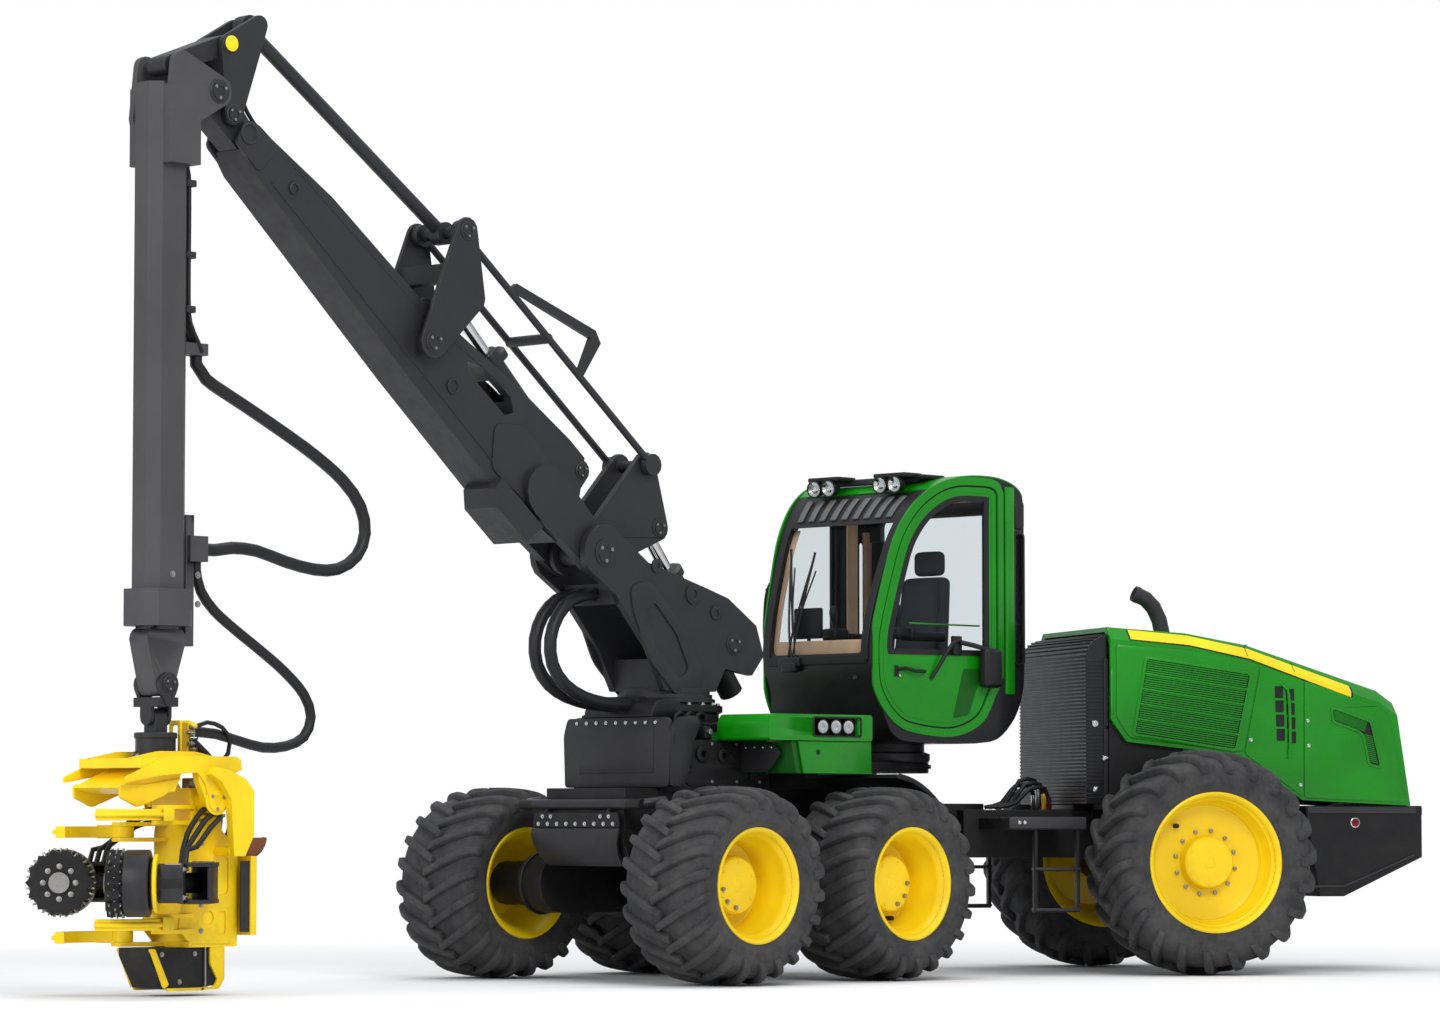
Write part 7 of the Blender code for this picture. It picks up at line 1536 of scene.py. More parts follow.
# bumper tube with turned ends, its bracket and the scoop below it
bar_route = [(0.80, 0.60, 1.21), (0.90, 0.595, 1.20), (0.975, 0.54, 1.19), (0.99, 0.44, 1.19),
             (0.99, 0.0, 1.19)]
bar_route = bar_route + [(x, -y, z) for x, y, z in bar_route[-2::-1]]
dress(tube("bumper_bar", bar_route, 0.0365, sides=6), "shield", "carrier")
for y in (-0.30, 0.30):
    bracket = plate(f"bumper_bracket_{round(y * 10)}",
                    rounded([(0.945, 1.00), (1.035, 1.03), (1.035, 1.155), (0.945, 1.20)], 0.015),
                    y - 0.012, y + 0.012, rounding=0.003)
    dress(bracket, "black", "carrier")
strap = plate("scoop_strap", rounded([(-0.42, 1.035), (0.42, 1.035), (0.40, 1.135), (-0.40, 1.135)],
                                     0.02), 1.028, 1.044, across="X",
              rounding=0.003)
dress(strap, "black", "carrier")
heads = bolts("scoop_bolts", [(1.045, y, 1.110) for y in (-0.32, -0.24, 0.24, 0.32)]
                 + [(1.045, -0.36 + 0.09 * i, 1.060) for i in range(9)], (1, 0, 0), 0.011, 0.008)
dress(heads, "steel", "carrier")
scoop_line = [(1.052, 1.03), (1.060, 0.99), (1.055, 0.93), (1.02, 0.85), (0.965, 0.79),
              (0.93, 0.775), (0.93, 0.79), (0.955, 0.805),
              (1.005, 0.865), (1.035, 0.935), (1.040, 0.99), (1.036, 1.03)]
scoop = plate("scoop", scoop_line, -0.42, 0.42, rounding=0.003)
for vert in scoop.data.vertices:
    vert.co.y *= 0.86 + 0.14 * min(max((vert.co.z - 0.775) / 0.22, 0.0), 1.0)
dress(scoop, "shield", "carrier")

# deck covers: folded lids over the lower side panels, lamps in the left one's recess
for sign, side in SIDES:
    body = plate("cover_lid_" + side, rounded([(-0.862, 1.622), (0.158, 1.622), (0.160, 1.74),
                                               (0.125, 1.80), (-0.862, 1.802)], 0.025),
                 *sorted((sign * 0.462, sign * 0.952)), rounding=0.012, segments=3)
    recess = box("lamp_recess", (-0.74, 0.90, 1.660), (-0.28, 1.0, 1.775), 0.0)
    if sign > 0:
        carve(body, recess)
    else:
        bpy.data.objects.remove(recess, do_unlink=True)
    dress(body, "green", "carrier")
    lower = plate("cover_side_" + side, rounded([(-0.862, 1.402), (-0.185, 1.402), (-0.135, 1.618),
                                                 (-0.862, 1.618)], 0.015),
                  *sorted((sign * 0.60, sign * 0.940)), rounding=0.006, segments=2)
    dress(lower, "green", "carrier")
    front = plate("cover_front_" + side, rounded([(-0.17, 1.402), (-0.125, 1.402), (-0.075, 1.618),
                                                  (-0.13, 1.618)], 0.006),
                  *sorted((sign * 0.465, sign * 0.932)), rounding=0.004)
    dress(front, "dark_green", "carrier")
    if sign > 0:
        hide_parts("deck_cover_left")
    else:
        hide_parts("deck_cover_right")
    flap = plate("mud_plate_" + side, rounded([(sign * 0.48, 1.41), (sign * 0.74, 1.41),
                                               (sign * 0.86, 1.54), (sign * 0.80, 1.60),
                                               (sign * 0.48, 1.60)], 0.04), -0.060, -0.048,
                                               across="X", rounding=0.003)
    dress(flap, "shield", "carrier")
    flap_bolts = bolts("mud_plate_bolts_" + side,
                       [(-0.047, sign * (0.53 + 0.08 * i), 1.575) for i in range(4)], (1, 0, 0),
                       0.009, 0.006)
    dress(flap_bolts, "steel", "carrier")
    low, high = sorted((sign * 0.48, sign * 0.93))
    for i, x in enumerate((-0.30, -0.58)):
        seam = box(f"lid_seam_{side}_{i}", (x - 0.004, low, 1.7985), (x + 0.004, high, 1.8035),
                   0.001)
        dress(seam, "dark_green", "carrier")
    knob = drum("cover_catch_" + side, (-0.33, sign * 0.935, 1.545), (-0.33, sign * 0.945, 1.545),
                0.018, 0.003)
    dress(knob, "plastic", "carrier")
    bead = tube("cover_edge_" + side, [(-0.862, sign * 0.942, 1.404), (-0.185, sign * 0.942, 1.404),
                                       (-0.135, sign * 0.942, 1.616)], 0.006,
               smooth=False)
    dress(bead, "green", "carrier")
# near-black back wall of the lamp recess: painted shade
back = box("recess_back", (-0.74, 0.895, 1.660), (-0.28, 0.905, 1.775), 0.002)
dress(back, "soot", "carrier")
for name, x, y in (("front", -0.375, 0.946), ("middle", -0.505, 0.946), ("back", -0.635, 0.940)):
    lamp("deck_lamp_" + name, (x, y, 1.718), (0.12, 1, 0), 0.045, 0.04, "carrier")
frame_edge = plate("recess_edge", oblong((-0.752, 1.648), (-0.268, 1.787), 0.02), 0.948, 0.956,
                   holes=[oblong((-0.74, 1.660), (-0.28, 1.775), 0.012)],
                   rounding=0.003)
dress(frame_edge, "plastic", "carrier")

# fenders over the middle wheels: a rolled edge
for sign, side in SIDES:
    edge = [(-0.75 + 0.741 * cos(radians(a)), sign * 1.208,
             0.655 + 0.741 * sin(radians(a))) for a in range(98, 170, 6)]
    dress(tube("fender_edge_" + side, edge, 0.014), "plastic", "carrier")
    # panel behind the deck cover, with a blank amber plate
    panel = plate("frame_panel_" + side, rounded([(-1.60, 1.02), (-0.90, 1.30), (-0.90, 1.40),
                                                  (-1.22, 1.42), (-1.60, 1.34)], 0.03),
                  *sorted((sign * 0.378, sign * 0.396)), rounding=0.004)
    dress(panel, "black", "carrier")
    tag = box("frame_reflector_" + side, (-1.47, min(sign * 0.392, sign * 0.402), 1.20),
              (-1.43, max(sign * 0.392, sign * 0.402), 1.31), 0.004)
    dress(tag, "amber", "carrier")
    rods = tube("joint_rod_" + side, [(-1.42, sign * 0.30, 1.33), (-1.70, sign * 0.29, 1.31),
                                      (-1.90, sign * 0.26, 1.27)], 0.018)
    dress(rods, "plastic", "carrier")
base = lathe("pedestal_rim", [(0.24, 0.0), (0.345, 0.0), (0.35, 0.015), (0.345, 0.03), (0.24, 0.03),
                              (0.24, 0.0)], (-2.0, 0, 1.452),
             (0, 0, 1), 48)
dress(base, "black", "carrier")

# bogies: flanges behind the wheels
for sign, side in SIDES:
    for i, x in enumerate((-0.75, 0.75)):
        flange = lathe(f"bogie_flange_{side}_{i}", [(0.09, 0.0), (0.21, 0.0), (0.215, 0.012),
                                                    (0.205, 0.030), (0.12, 0.040), (0.09, 0.040),
                                                   (0.09, 0.0)], (x, sign * 0.62, 0.655),
                                                   (0, sign, 0), 40)
        dress(flange, "black", "carrier")


# Crane: pin caps, bolts, welded seams, plates, clamps, hoses along the booms and rod glands

PINS = [
    # body, place across and up, half width, radius
    ("pillar", (1.03, 2.87), 0.270, 0.075), ("boom", (4.330, 5.630), 0.200, 0.062),
    ("rocker", (2.271, 4.930), 0.255, 0.052), ("rocker", (2.560, 4.180), 0.255, 0.060),
    ("tip_crank", (4.160, 5.509), 0.140, 0.050), ("tip_crank", (4.200, 5.949), 0.140, 0.046),
    ("pillar", (-0.2, 2.29), 0.270, 0.060), ("bell_crank", (0.400, 3.070), 0.145, 0.050),
    ("boom", (1.14, 3.42), 0.150, 0.044), ("telescope", (4.64, 1.92), 0.130, 0.042),
    ("yoke", (4.40, 1.20), 0.300, 0.070),
]
for i, (body, (x, z), half, radius) in enumerate(PINS):
    for sign, side in SIDES:
        cap = lathe(f"pin_cap_{i}_{side}", [(0.0, 0.0), (radius * 1.25, 0.0),
                                            (radius * 1.25, 0.006), (radius * 1.12, 0.010),
                                            (radius, 0.010),
                                            (radius * 0.96, 0.018), (radius * 0.5, 0.019),
                                            (radius * 0.46, 0.014), (0.0, 0.014)],
                    (x, sign * (half - 0.001), z), (0, sign, 0), 36)
        turns = [2 * pi * k / 3 + 0.6 for k in range(3)]
        spots = [(x + radius * 0.72 * cos(a), sign * (half + 0.017),
                  z + radius * 0.72 * sin(a)) for a in turns]
        heads = bolts(f"pin_bolts_{i}_{side}", spots, (0, sign, 0), radius * 0.13, 0.005)
        look = "yellow" if body == "yoke" else "crane"
        dress(cap, look, body)
        dress(heads, "worn_steel", body)

# boom: weld seams, side and tip plates, bosses and lugs
BOOM_FOOT, BOOM_TIP = Vector((1.03, 2.87)), Vector((4.33, 5.63))
ALONG = (BOOM_TIP - BOOM_FOOT).normalized()
UP_OF = Vector((-ALONG.y, ALONG.x))


def boom_at(along, up):
    place = BOOM_FOOT + ALONG * along + UP_OF * up
    return (place.x, place.y)


for sign, side in SIDES:
    seam = tube("boom_seam_" + side,
                [(*boom_at(0.62, -0.16)[:1], sign * 0.150, boom_at(0.62, -0.16)[1]),
                                      (boom_at(3.60, -0.10)[0], sign * 0.150,
                                       boom_at(3.60, -0.10)[1])], 0.007, smooth=False)
    dress(seam, "crane", "boom")
    seam = tube("boom_top_seam_" + side,
                [(boom_at(1.30, 0.30)[0], sign * 0.149, boom_at(1.30, 0.30)[1]),
                                          (boom_at(2.10, 0.17)[0], sign * 0.149,
                                           boom_at(2.10, 0.17)[1]),
                                          (boom_at(3.60, 0.11)[0], sign * 0.149,
                                           boom_at(3.60, 0.11)[1])], 0.006, smooth=False)
    dress(seam, "crane", "boom")
    plate_line = rounded([boom_at(0.45, -0.13), boom_at(1.05, -0.20), boom_at(1.22, 0.05),
                          boom_at(1.02, 0.22), boom_at(0.55, 0.18)], 0.06)
    patch = plate("boom_side_plate_" + side, plate_line, *sorted((sign * 0.148, sign * 0.160)),
                  rounding=0.004)
    dress(patch, "crane", "boom")
    tip_line = rounded([boom_at(3.72, -0.13), boom_at(3.98, -0.11), boom_at(4.02, 0.05),
                        boom_at(3.92, 0.10), boom_at(3.70, 0.11)], 0.04)
    tip = plate("boom_tip_plate_" + side, tip_line, *sorted((sign * 0.128, sign * 0.158)),
                rounding=0.005)
    dress(tip, "crane", "boom")
    for k, (a, u, r) in enumerate(((3.94, 0.0, 0.055), (3.45, 0.0, 0.030), (1.65, -0.02, 0.040))):
        x, z = boom_at(a, u)
        boss = lathe(f"boom_boss_{side}_{k}", [(0.0, 0.0), (r * 1.3, 0.0), (r * 1.3, 0.012),
                                               (r, 0.016), (r * 0.9, 0.006), (0.0, 0.006)],
                     (x, sign * (0.156 if k == 0 else 0.149), z), (0, sign, 0), 32)
        dress(boss, "crane", "boom")
    lug_line = rounded([boom_at(1.95, 0.17), boom_at(2.22, 0.15), boom_at(2.18, 0.29),
                        boom_at(2.02, 0.30)], 0.03)
    lug = plate("boom_lug_" + side, lug_line, *sorted((sign * 0.100, sign * 0.120)), rounding=0.004)
    dress(lug, "crane", "boom")

# pressure pipes clipped on the boom's back
for i, y in enumerate((-0.070, -0.024, 0.022, 0.068)):
    run = [(boom_at(a, u)[0], y, boom_at(a, u)[1]) for a, u in ((1.70, 0.285), (2.0, 0.225),
                                                                (2.6, 0.185), (3.3, 0.150),
                                                                (3.70, 0.130))]
    dress(tube(f"boom_pipe_{i}", run, 0.015), "hose", "boom")
for i, (a, u) in enumerate(((1.86, 0.250), (2.55, 0.190), (3.10, 0.163), (3.62, 0.138))):
    x, z = boom_at(a, u)
    clamp = box(f"boom_clamp_{i}", (-0.028, -0.10, -0.026), (0.028, 0.10, 0.024), 0.006)
    clamp.data.transform(Matrix.Translation((x, 0, z)) @ Matrix.Rotation(-atan2(ALONG.y, ALONG.x),
        4, "Y"))
    dress(clamp, "crane", "boom")
# hoses over the crane's elbow
for i, y in enumerate((-0.05, 0.0, 0.05)):
    run = [(boom_at(3.70, 0.130)[0], y, boom_at(3.70, 0.130)[1]), (3.98, y, 5.55), (4.05, y, 5.70),
           (4.02, y, 5.80)]
    dress(tube(f"elbow_hose_{i}", run, 0.014), "hose", "boom")

# stick: bolts, hose clips and hoses, and a disc on the link at its top
for sign, side in SIDES:
    rows = bolts("stick_bolts_" + side, [(4.42, sign * 0.131, 2.42), (4.62, sign * 0.131, 2.42),
                                         (4.42, sign * 0.131, 2.60),
                                         (4.62, sign * 0.131, 2.60)], (0, sign, 0), 0.016, 0.010)
    dress(rows, "worn_steel", "stick")
for z, x in ((5.05, 4.455), (4.60, 4.455), (4.26, 4.455)):
    clip = box(f"stick_clip_{round(z * 100)}", (x - 0.045, -0.085, z - 0.022),
               (x + 0.03, 0.085, z + 0.022), 0.006)
    dress(clip, "crane", "stick")
for i, y in enumerate((-0.055, -0.018, 0.020, 0.057)):
    run = [(4.470, y, 5.16), (4.455, y, 5.10), (4.450, y, 4.90), (4.450, y, 4.35), (4.435, y, 4.18),
           (4.37, y, 4.06), (4.34, y, 4.00)]
    dress(tube(f"stick_hose_{i}", run, 0.015), "hose", "stick")
disc = lathe("tip_link_disc", [(0.0, 0.0), (0.050, 0.0), (0.050, 0.005), (0.040, 0.008),
                               (0.0, 0.008)], (4.200, 0.160, 5.949), (0, 1, 0), 32)
dress(disc, "yellow", "tip_crank")

# pillar: cast arches, bosses and the flange at its foot
for sign, side in SIDES:
    arch = plate("pillar_arch_" + side, rounded([(0.36, 1.92), (0.62, 2.16), (0.78, 2.50),
                                                 (0.80, 2.66), (0.62, 2.70), (0.30, 2.40),
                                                 (0.10, 2.10), (0.12, 1.92)], 0.06),
                                                 *sorted((sign * 0.262, sign * 0.282)),
                 holes=[rounded([(0.34, 2.04), (0.56, 2.24), (0.66, 2.50), (0.58, 2.56),
                                 (0.36, 2.34), (0.24, 2.10)], 0.05)], rounding=0.005)
    dress(arch, "crane", "pillar")
    for k, (x, z, r) in enumerate(((0.20, 2.62, 0.050), (-0.02, 2.50, 0.035), (0.55, 2.80, 0.035))):
        boss = lathe(f"pillar_boss_{side}_{k}", [(0.0, 0.0), (r * 1.4, 0.0), (r * 1.4, 0.012),
                                                 (r, 0.018), (r * 0.55, 0.018), (r * 0.5, 0.010),
                                                 (0.0, 0.010)], (x, sign * 0.269, z), (0, sign, 0),
                                                 32)
        dress(boss, "crane", "pillar")
foot = lathe("pillar_flange", [(0.0, 0.0), (0.345, 0.0), (0.345, 0.022), (0.325, 0.030),
                               (0.325, 0.055), (0.0, 0.055)], (0.2, 0, 1.884),
             (0, 0, 1), 56)
dress(foot, "crane", "pillar")

# cylinders: the glands that their rods come out of
for name, body, foot_pin, eye_pin, length, radius in (
    ("lift", "lift_barrel", (-0.2, 2.29), (0.400, 3.070), 0.60, 0.095),
    ("jib", "jib_barrel", (1.14, 3.42), (2.005, 4.40), 0.98, 0.072),
):
    start, stop = Vector((foot_pin[0], 0, foot_pin[1])), Vector((eye_pin[0], 0, eye_pin[1]))
    run = (stop - start).normalized()
    place = start + run * length
    gland = lathe(name + "_gland", [(radius * 0.45, -0.03), (radius * 1.12, -0.03),
                                    (radius * 1.12, 0.02), (radius * 0.9, 0.035),
                                    (radius * 0.45, 0.035), (radius * 0.45, -0.03)], place, run, 36)
    dress(gland, "crane", body)


# Harvesting head: roller spikes, motors, guards, hoses, couplings, saw box edges

def yellow_plate(name, outline, low, high, across, body="head", holes=(), rounding=0.005):
    return dress(plate(name, outline, low, high, across=across, holes=holes, rounding=rounding),
                 "head_yellow", body)


# tilting yoke: folded sides, a lip and a crown pressed over it
for sign, side in SIDES:
    low, high = sorted((sign * 0.296, sign * 0.314))
    yellow_plate("yoke_side_" + side, rounded([(4.20, 1.395), (4.24, 1.475), (4.80, 1.475),
                                               (5.115, 1.345), (5.115, 1.31), (4.84, 1.355),
                                               (4.56, 1.375), (4.50, 1.31), (4.47, 1.22),
                                               (4.43, 1.165), (4.36, 1.165), (4.33, 1.24),
                                               (4.30, 1.36)],
                                              0.02), low, high, "Y", "yoke")
    yellow_plate("yoke_cheek_" + side, rounded([(4.62, 1.34), (4.90, 1.30), (5.10, 1.30),
                                                (5.10, 1.22), (4.96, 1.16), (4.74, 1.24)], 0.02),
                 *sorted((sign * 0.215, sign * 0.235)), "Y", "yoke")
for i, y in enumerate((-0.20, 0.20)):
    yellow_plate(f"yoke_rib_{i}", rounded([(4.26, 1.46), (4.50, 1.505), (4.78, 1.505),
                                           (5.02, 1.46)], 0.02), y - 0.012, y + 0.012, "Y", "yoke")
collar = lathe("rotator_collar", [(0.0, 0.0), (0.155, 0.0), (0.155, 0.018), (0.135, 0.026),
                                  (0.135, 0.045), (0.0, 0.045)], (4.64, 0, 1.461),
               (0, 0, 1), 40)
dress(collar, "crane", "yoke")
studs = bolts("rotator_bolts", [(4.64 + 0.142 * cos(2 * pi * i / 12), 0.142 * sin(2 * pi * i / 12),
                                 1.480) for i in range(12)],
              (0, 0, 1), 0.011, 0.008)
dress(studs, "worn_steel", "yoke")
band = lathe("rotator_band", [(0.0, 0.0), (0.128, 0.0), (0.134, 0.008), (0.134, 0.030),
                              (0.128, 0.038), (0.0, 0.038)], (4.64, 0, 1.585),
             (0, 0, 1), 40)
dress(band, "crane", "rotator")

# coupling post with its rows of couplings
for k in range(6):
    z = 1.49 + 0.034 * k
    for sign, side in SIDES:
        cup = lathe(f"coupling_{k}_{side}", [(0.0, 0.0), (0.014, 0.0), (0.014, 0.016),
                                             (0.018, 0.018), (0.018, 0.034), (0.013, 0.038),
                                             (0.013, 0.052),
                                             (0.0, 0.052)], (4.41 - 0.016 * (k % 2), sign * 0.028,
                                                             z), (-0.55, sign, 0), 20)
        dress(cup, "worn_steel" if k % 3 else "steel", "yoke")
yellow_plate("post_frame", rounded([(-0.055, 1.46), (0.055, 1.46), (0.055, 1.70), (-0.055, 1.70)],
                                   0.015), 4.475, 4.490, "X", "yoke",
             holes=[oblong((-0.030, 1.49), (0.030, 1.67), 0.015)])
dress(tube("post_arm", [(4.47, 0.03, 1.685), (4.455, 0.09, 1.690), (4.43, 0.14, 1.66)], 0.012),
      "head_yellow", "yoke")

# rollers: rings of spikes, a plain drum, a yellow ring behind, a motor and its arm's box
for sign, side in SIDES:
    axis = Vector((0.70710678, -sign * 0.70710678, 0))
    centre = Vector((5.10, sign * 0.33, 0.70))
    back = centre - axis * 0.13
    frame_turn = axis.to_track_quat("Z", "Y").to_matrix().to_4x4()
    spike = drum("spike", (0.186, 0, 0), (0.214, 0, 0), 0.011, 0.001, 6, 0.004)
    spots = []
    for ring_no in range(3):
        for k in range(18):
            spots.append(Matrix.Translation(centre + axis * (0.036 + 0.034 * ring_no)) @ frame_turn
                         @ Matrix.Rotation(2 * pi * (k + 0.5 * (ring_no % 2)) / 18, 4, "Z"))
    dress(repeated("roller_spikes_" + side, spike, spots), "worn_steel", "feed_roller_" + side)
    shell = lathe("roller_drum_" + side, [(0.125, 0.0), (0.196, 0.0), (0.204, 0.008),
                                          (0.204, 0.140), (0.198, 0.150), (0.125, 0.150),
                                          (0.125, 0.0)],
                  back + axis * 0.002, axis, 56)
    dress(shell, "shield", "feed_roller_" + side)
    front = lathe("roller_face_" + side, [(0.0, 0.0), (0.06, 0.0), (0.064, 0.006), (0.064, 0.022),
                                          (0.0, 0.022)], centre + axis * 0.128, axis, 32)
    dress(front, "worn_steel", "feed_roller_" + side)
    spots = [Vector((0.10 * cos(2 * pi * k / 8), 0.10 * sin(2 * pi * k / 8), 0)) for k in range(8)]
    face_bolts = bolts("roller_bolts_" + side,
                       [tuple(centre + axis * 0.130 + frame_turn.to_3x3() @ spot)
                        for spot in spots], axis, 0.013, 0.009)
    dress(face_bolts, "worn_steel", "feed_roller_" + side)
    ring = lathe("roller_ring_" + side, [(0.08, 0.0), (0.172, 0.0), (0.178, 0.006), (0.178, 0.020),
                                         (0.170, 0.026), (0.08, 0.026), (0.08, 0.0)],
                 back - axis * 0.046, axis, 48)
    dress(ring, "head_yellow", "feed_arm_" + side)
    # motor: a squared body with a blank pale plate and bolts
    motor = box("feed_motor_" + side, (-0.115, -0.115, 0.0), (0.115, 0.115, 0.145), 0.02, 3)
    motor.data.transform(Matrix.Translation(back - axis * 0.205) @ frame_turn)
    dress(motor, "shield", "feed_arm_" + side)
    tagged = box("motor_plate_" + side, (-0.03, 0.112, 0.02), (0.03, 0.118, 0.12), 0.002)
    tagged.data.transform(Matrix.Translation(back - axis * 0.205) @ frame_turn)
    dress(tagged, "pale", "feed_arm_" + side)
    ends = bolts("motor_bolts_" + side,
                 [tuple(back - axis * 0.205 + frame_turn.to_3x3() @ Vector((a * 0.085, b * 0.085,
                     0.0)))
                                         for a in (-1, 1) for b in (-1, 1)], -axis, 0.013, 0.012)
    dress(ends, "worn_steel", "feed_arm_" + side)
    arm_line = rounded([(4.435, sign * 0.245), (4.60, sign * 0.225), (4.86, sign * 0.50),
                        (4.88, sign * 0.62), (4.72, sign * 0.645),
                        (4.44, sign * 0.385)], 0.03)
    for level, (z0, z1) in enumerate(((0.575, 0.600), (0.800, 0.825))):
        dress(plate(f"arm_plate_{side}_{level}", arm_line, z0, z1, across="Z", rounding=0.005),
              "shield", "feed_arm_" + side)
    wall = plate("arm_wall_" + side, [(4.445, sign * 0.375), (4.46, sign * 0.360),
                                      (4.735, sign * 0.625), (4.72, sign * 0.640)], 0.59, 0.81,
                                      across="Z",
                      rounding=0.003)
    dress(wall, "shield", "feed_arm_" + side)
    post = lathe("arm_post_" + side, [(0.0, 0.0), (0.062, 0.0), (0.068, 0.008), (0.068, 0.030),
                                      (0.0, 0.030)], (4.50, sign * 0.30, 0.801), (0, 0, 1), 32)
    dress(post, "worn_steel", "feed_arm_" + side)
    # hoses from the head to the motor
    for k in range(3):
        y = 0.12 + 0.045 * k
        run = [(4.30, sign * (y - 0.02), 1.12), (4.34, sign * (y + 0.06), 1.16 - 0.03 * k),
               (4.50, sign * (y + 0.16), 1.14 - 0.05 * k),
               (4.66, sign * (y + 0.22), 1.00 - 0.04 * k), (4.72 + 0.02 * k, sign * (y + 0.25),
                                                            0.90),
                                                            (4.74 + 0.02 * k, sign * (y + 0.26),
                                                             0.815)]
        dress(tube(f"motor_hose_{side}_{k}", run, 0.017), "hose", "head")

# frame: folded cheeks, vent slats, valve blocks and the dark back plate
for sign, side in SIDES:
    low, high = sorted((sign * 0.168, sign * 0.182))
    yellow_plate("spine_cheek_" + side, rounded([(4.14, 0.32), (4.50, 0.32), (4.60, 0.42),
                                                 (4.56, 0.60), (4.50, 0.66), (4.50, 1.02),
                                                 (4.46, 1.14),
                                                 (4.32, 1.20), (4.26, 1.02), (4.14, 0.92)], 0.03),
                                                 low, high, "Y",
                 holes=[oblong((4.20, 0.62), (4.34, 0.86), 0.04), ring_of((4.36, 0.48), 0.045, 20),
                        oblong((4.22, 0.38), (4.28, 0.52), 0.02)])
    heads = bolts("cheek_bolts_" + side, [(4.42, sign * 0.183, z) for z in (0.40, 0.56, 0.94,
        1.08)], (0, sign, 0), 0.013, 0.009)
    dress(heads, "worn_steel", "head")
    for k in range(3):
        z = 1.19 - 0.045 * k
        yellow_plate(f"vent_slat_{side}_{k}",
                     rounded([(4.27, z), (4.44, z - 0.01), (4.44, z + 0.012), (4.27, z + 0.022)],
                             0.005),
                            *sorted((sign * 0.17, sign * 0.232)), "Y")
guard = plate("back_guard", rounded([(-0.235, 0.37), (0.235, 0.37), (0.235, 0.80), (0.17, 0.86),
                                     (-0.17, 0.86), (-0.235, 0.80)], 0.03),
              4.018, 4.034, across="X", rounding=0.005)
dress(guard, "shield", "head")
wall = box("back_guard_side", (4.03, 0.228, 0.39), (4.15, 0.240, 0.83), 0.004)
mate = copy_of(wall, Matrix.Scale(-1, 4, (0, 1, 0)))
mate.name = "back_guard_side_right"
dress(wall, "shield", "head")
dress(mate, "shield", "head")
for k, (x, y, z, w, h) in enumerate(((4.30, 0.0, 1.285, 0.16, 0.05), (4.36, 0.08, 1.31, 0.07, 0.06),
                                     (4.28, -0.09, 1.31, 0.06, 0.07))):
    dress(box(f"valve_block_{k}", (x - w / 2, y - 0.06, z - h / 2),
              (x + w / 2, y + 0.06, z + h / 2), 0.008), "worn_steel", "head")
# hoses that loop down from the couplings to the frame's back
for k, (y, reach) in enumerate(((-0.10, 0.02), (-0.04, 0.06), (0.03, 0.04), (0.09, 0.0))):
    run = [(4.39, y * 0.6, 1.52 + 0.02 * k), (4.30, y * 0.8, 1.50), (4.17 - reach, y, 1.36),
           (4.05 - reach, y * 1.2, 1.16), (4.04 - reach / 2, y * 1.3, 1.00),
           (4.10, y * 1.2, 0.90), (4.15, y, 0.86)]
    across(tube(f"head_hose_{k}", run, 0.019), "hose", "yoke", "head", (4.36, 0.0, 1.48),
           (4.06, 0.0, 1.02))
loop_hose = [(4.38, 0.05, 1.66), (4.28, 0.06, 1.69), (4.15, 0.05, 1.66), (4.07, 0.03, 1.58),
             (4.06, 0.0, 1.50), (4.12, -0.02, 1.42), (4.20, -0.02, 1.36)]
dress(tube("head_hose_loop", loop_hose, 0.014), "hose", "yoke")
signal = [(4.36, 0.10, 1.44), (4.28, 0.16, 1.40), (4.27, 0.20, 1.30), (4.30, 0.21, 1.22),
          (4.33, 0.20, 1.16)]
dress(tube("signal_lead", signal, 0.010), "pale", "yoke")

# rust-brown half disc behind the head, with its black rim
sector = [(3.985 + 0.125 * cos(radians(a)), 0.985 + 0.125 * sin(radians(a))) for a in range(185,
    356, 10)]
dress(plate("guard_disc", sector, 0.10, 0.14, rounding=0.006), "rust", "head")
rim_line = [(x, 0.12, z) for x, z in sector]
dress(tube("guard_disc_rim", rim_line, 0.016, smooth=False), "shield", "head")
# delimbing knives: sharpened edges and hub caps
for name, side, z in (("upper_left", 1, 1.08), ("upper_right", -1, 0.975),
                      ("lower_left", 1, 0.4125), ("lower_right", -1, 0.33)):
    cap = lathe("knife_cap_" + name, [(0.0, 0.0), (0.062, 0.0), (0.066, 0.008), (0.066, 0.018),
                                      (0.040, 0.022), (0.0, 0.022)],
                (4.735, side * 0.195, z + 0.068), (0, 0, 1), 28)
    dress(cap, "worn_steel", "knife_" + name)
    edge = []
    for a in range(35, 146, 10):
        edge.append((4.98 + 0.345 * cos(radians(a)), side * 0.345 * sin(radians(a)), z + 0.035))
    rim = tube("knife_rib_" + name, edge, 0.016)
    dress(rim, "head_yellow", "knife_" + name)
    lug_line = rounded([(4.70, side * 0.25), (4.78, side * 0.25), (4.84, side * 0.33),
                        (4.74, side * 0.315)], 0.01)
    lug = plate("knife_lug_" + name, lug_line, z - 0.004, z + 0.078, across="Z", rounding=0.004)
    dress(lug, "head_yellow", "knife_" + name)

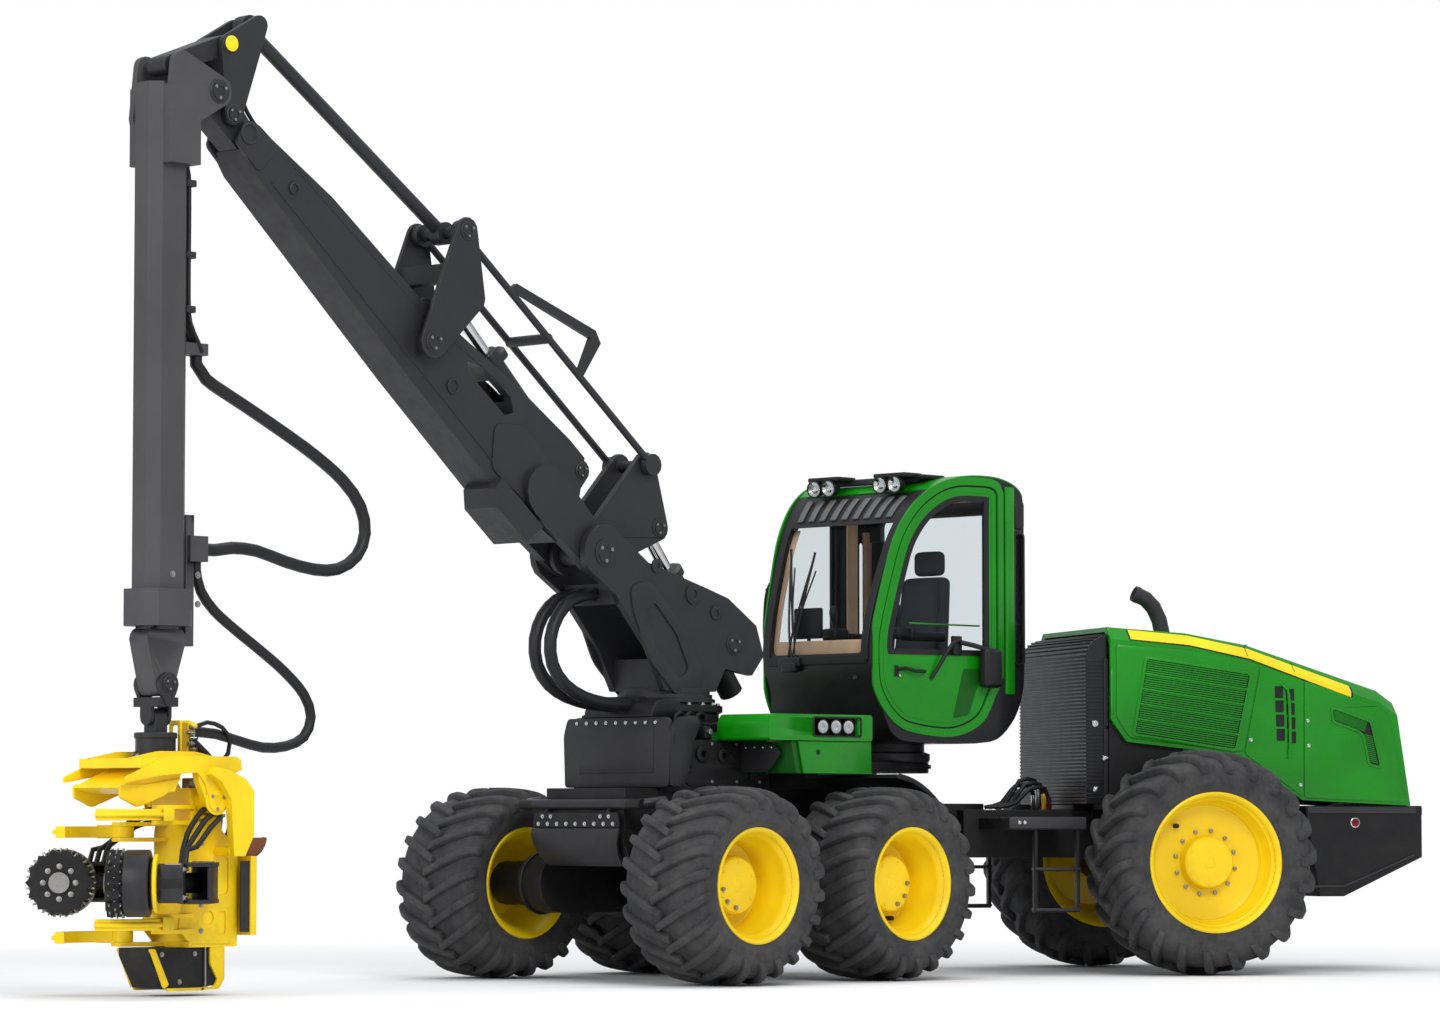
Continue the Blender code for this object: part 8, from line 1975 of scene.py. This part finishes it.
# saw box: yellow edges, sills, seams, bolts and a hoop, and the frame's two lips above it
for sign, side in SIDES:
    low, high = sorted((sign * 0.148, sign * 0.166))
    yellow_plate("saw_edge_front_" + side, rounded([(4.805, 0.295), (4.765, 0.295), (4.655, 0.075),
                                                    (4.69, 0.05)], 0.01), low, high, "Y")
    yellow_plate("saw_edge_back_" + side, rounded([(4.215, 0.30), (4.33, 0.30), (4.33, 0.20),
                                                   (4.27, 0.10), (4.30, 0.055), (4.40, 0.05),
                                                   (4.40, 0.036),
                                                   (4.26, 0.04), (4.215, 0.10)], 0.012), low, high,
                                                   "Y")
    yellow_plate("saw_sill_" + side, rounded([(4.38, 0.052), (4.68, 0.052), (4.66, 0.034),
                                              (4.38, 0.034)], 0.004), low, high, "Y")
    seam = box("saw_seam_" + side, (4.36, low + 0.001, 0.06), (4.372, high - 0.001, 0.30), 0.002)
    dress(seam, "worn_steel", "head")
    heads = bolts("saw_bolts_" + side, [(4.44, sign * 0.151, 0.26), (4.70, sign * 0.151, 0.26),
                                        (4.56, sign * 0.151, 0.09)], (0, sign, 0), 0.012, 0.008)
    dress(heads, "worn_steel", "head")
hoop = tube("saw_hoop", [(4.22, 0.0, 0.27), (4.17, 0.0, 0.24), (4.15, 0.0, 0.17), (4.17, 0.0, 0.10),
                         (4.23, 0.0, 0.06), (4.30, 0.0, 0.055)], 0.018)
dress(hoop, "head_yellow", "head")
LIP_X = 4.50
for k, z in enumerate((0.30, 0.60)):
    yellow_plate(f"frame_lip_{k}", rounded([(-0.19, z), (0.19, z), (0.19, z + 0.035),
                                            (-0.19, z + 0.035)], 0.008), LIP_X - 0.002,
                                            LIP_X + 0.018, "X")


# Studio

def studio():
    """A pale floor that fades into a white surround, under large soft lamps."""
    material, tree, shader = nodes_of("studio_floor")
    shader.inputs["Base Color"].default_value = (0.80, 0.80, 0.80, 1.0)
    shader.inputs["Roughness"].default_value = 0.9
    bump(tree, shader, noise(tree, 40.0, 3.0), 0.02, 0.002)
    # away from the machine, the floor turns to plain white for the camera and in reflections alone
    place = tree.nodes.new("ShaderNodeTexCoord")
    reach = tree.nodes.new("ShaderNodeVectorMath")
    reach.operation = "LENGTH"
    tree.links.new(place.outputs["Object"], reach.inputs[0])
    far = spread(tree, reach.outputs["Value"], 5.0, 11.0, 0.0, 1.0)
    seen = tree.nodes.new("ShaderNodeLightPath")
    any_ray = tree.nodes.new("ShaderNodeMath")
    any_ray.operation = "MAXIMUM"
    tree.links.new(seen.outputs["Is Camera Ray"], any_ray.inputs[0])
    tree.links.new(seen.outputs["Is Glossy Ray"], any_ray.inputs[1])
    share = tree.nodes.new("ShaderNodeMath")
    share.operation = "MULTIPLY"
    tree.links.new(any_ray.outputs[0], share.inputs[0])
    tree.links.new(far, share.inputs[1])
    plain = tree.nodes.new("ShaderNodeEmission")
    blend = tree.nodes.new("ShaderNodeMixShader")
    tree.links.new(share.outputs[0], blend.inputs["Fac"])
    tree.links.new(shader.outputs["BSDF"], blend.inputs[1])
    tree.links.new(plain.outputs["Emission"], blend.inputs[2])
    tree.links.new(blend.outputs["Shader"], tree.nodes["Material Output"].inputs["Surface"])
    bpy.ops.object.select_all(action="DESELECT")
    bpy.ops.mesh.primitive_plane_add(size=90.0, location=(0.0, 0.0, 0.0))
    floor = bpy.context.active_object
    floor.name = "studio_floor"
    floor.data.materials.append(material)

    world = bpy.data.worlds.new("studio")
    bpy.context.scene.world = world
    world.use_nodes = True
    tree = world.node_tree
    shade = tree.nodes["Background"]
    shade.inputs["Color"].default_value = (0.92, 0.95, 1.0, 1.0)
    shade.inputs["Strength"].default_value = 0.75
    # the camera itself sees plain white behind the machine, with no more light from it
    white = tree.nodes.new("ShaderNodeBackground")
    white.inputs["Color"].default_value = (1.0, 1.0, 1.0, 1.0)
    path = tree.nodes.new("ShaderNodeLightPath")
    pick_one = tree.nodes.new("ShaderNodeMixShader")
    tree.links.new(path.outputs["Is Camera Ray"], pick_one.inputs["Fac"])
    tree.links.new(shade.outputs["Background"], pick_one.inputs[1])
    tree.links.new(white.outputs["Background"], pick_one.inputs[2])
    tree.links.new(pick_one.outputs["Shader"], tree.nodes["World Output"].inputs["Surface"])

    for name, place, power, size in (
        ("key", (8.0, 14.0, 12.0), 1500.0, 7.0),
        ("fill", (16.0, 0.0, 6.0), 700.0, 8.0),
        ("top", (0.0, 0.0, 15.0), 900.0, 10.0),
    ):
        lamp_data = bpy.data.lights.new(name, "AREA")
        lamp_data.energy = power
        lamp_data.size = size
        lamp = bpy.data.objects.new(name, lamp_data)
        bpy.context.scene.collection.objects.link(lamp)
        lamp.location = place
        lamp.rotation_euler = (Vector((0.0, 0.0, 1.5)) - Vector(place)).to_track_quat("-Z",
            "Y").to_euler()


studio()
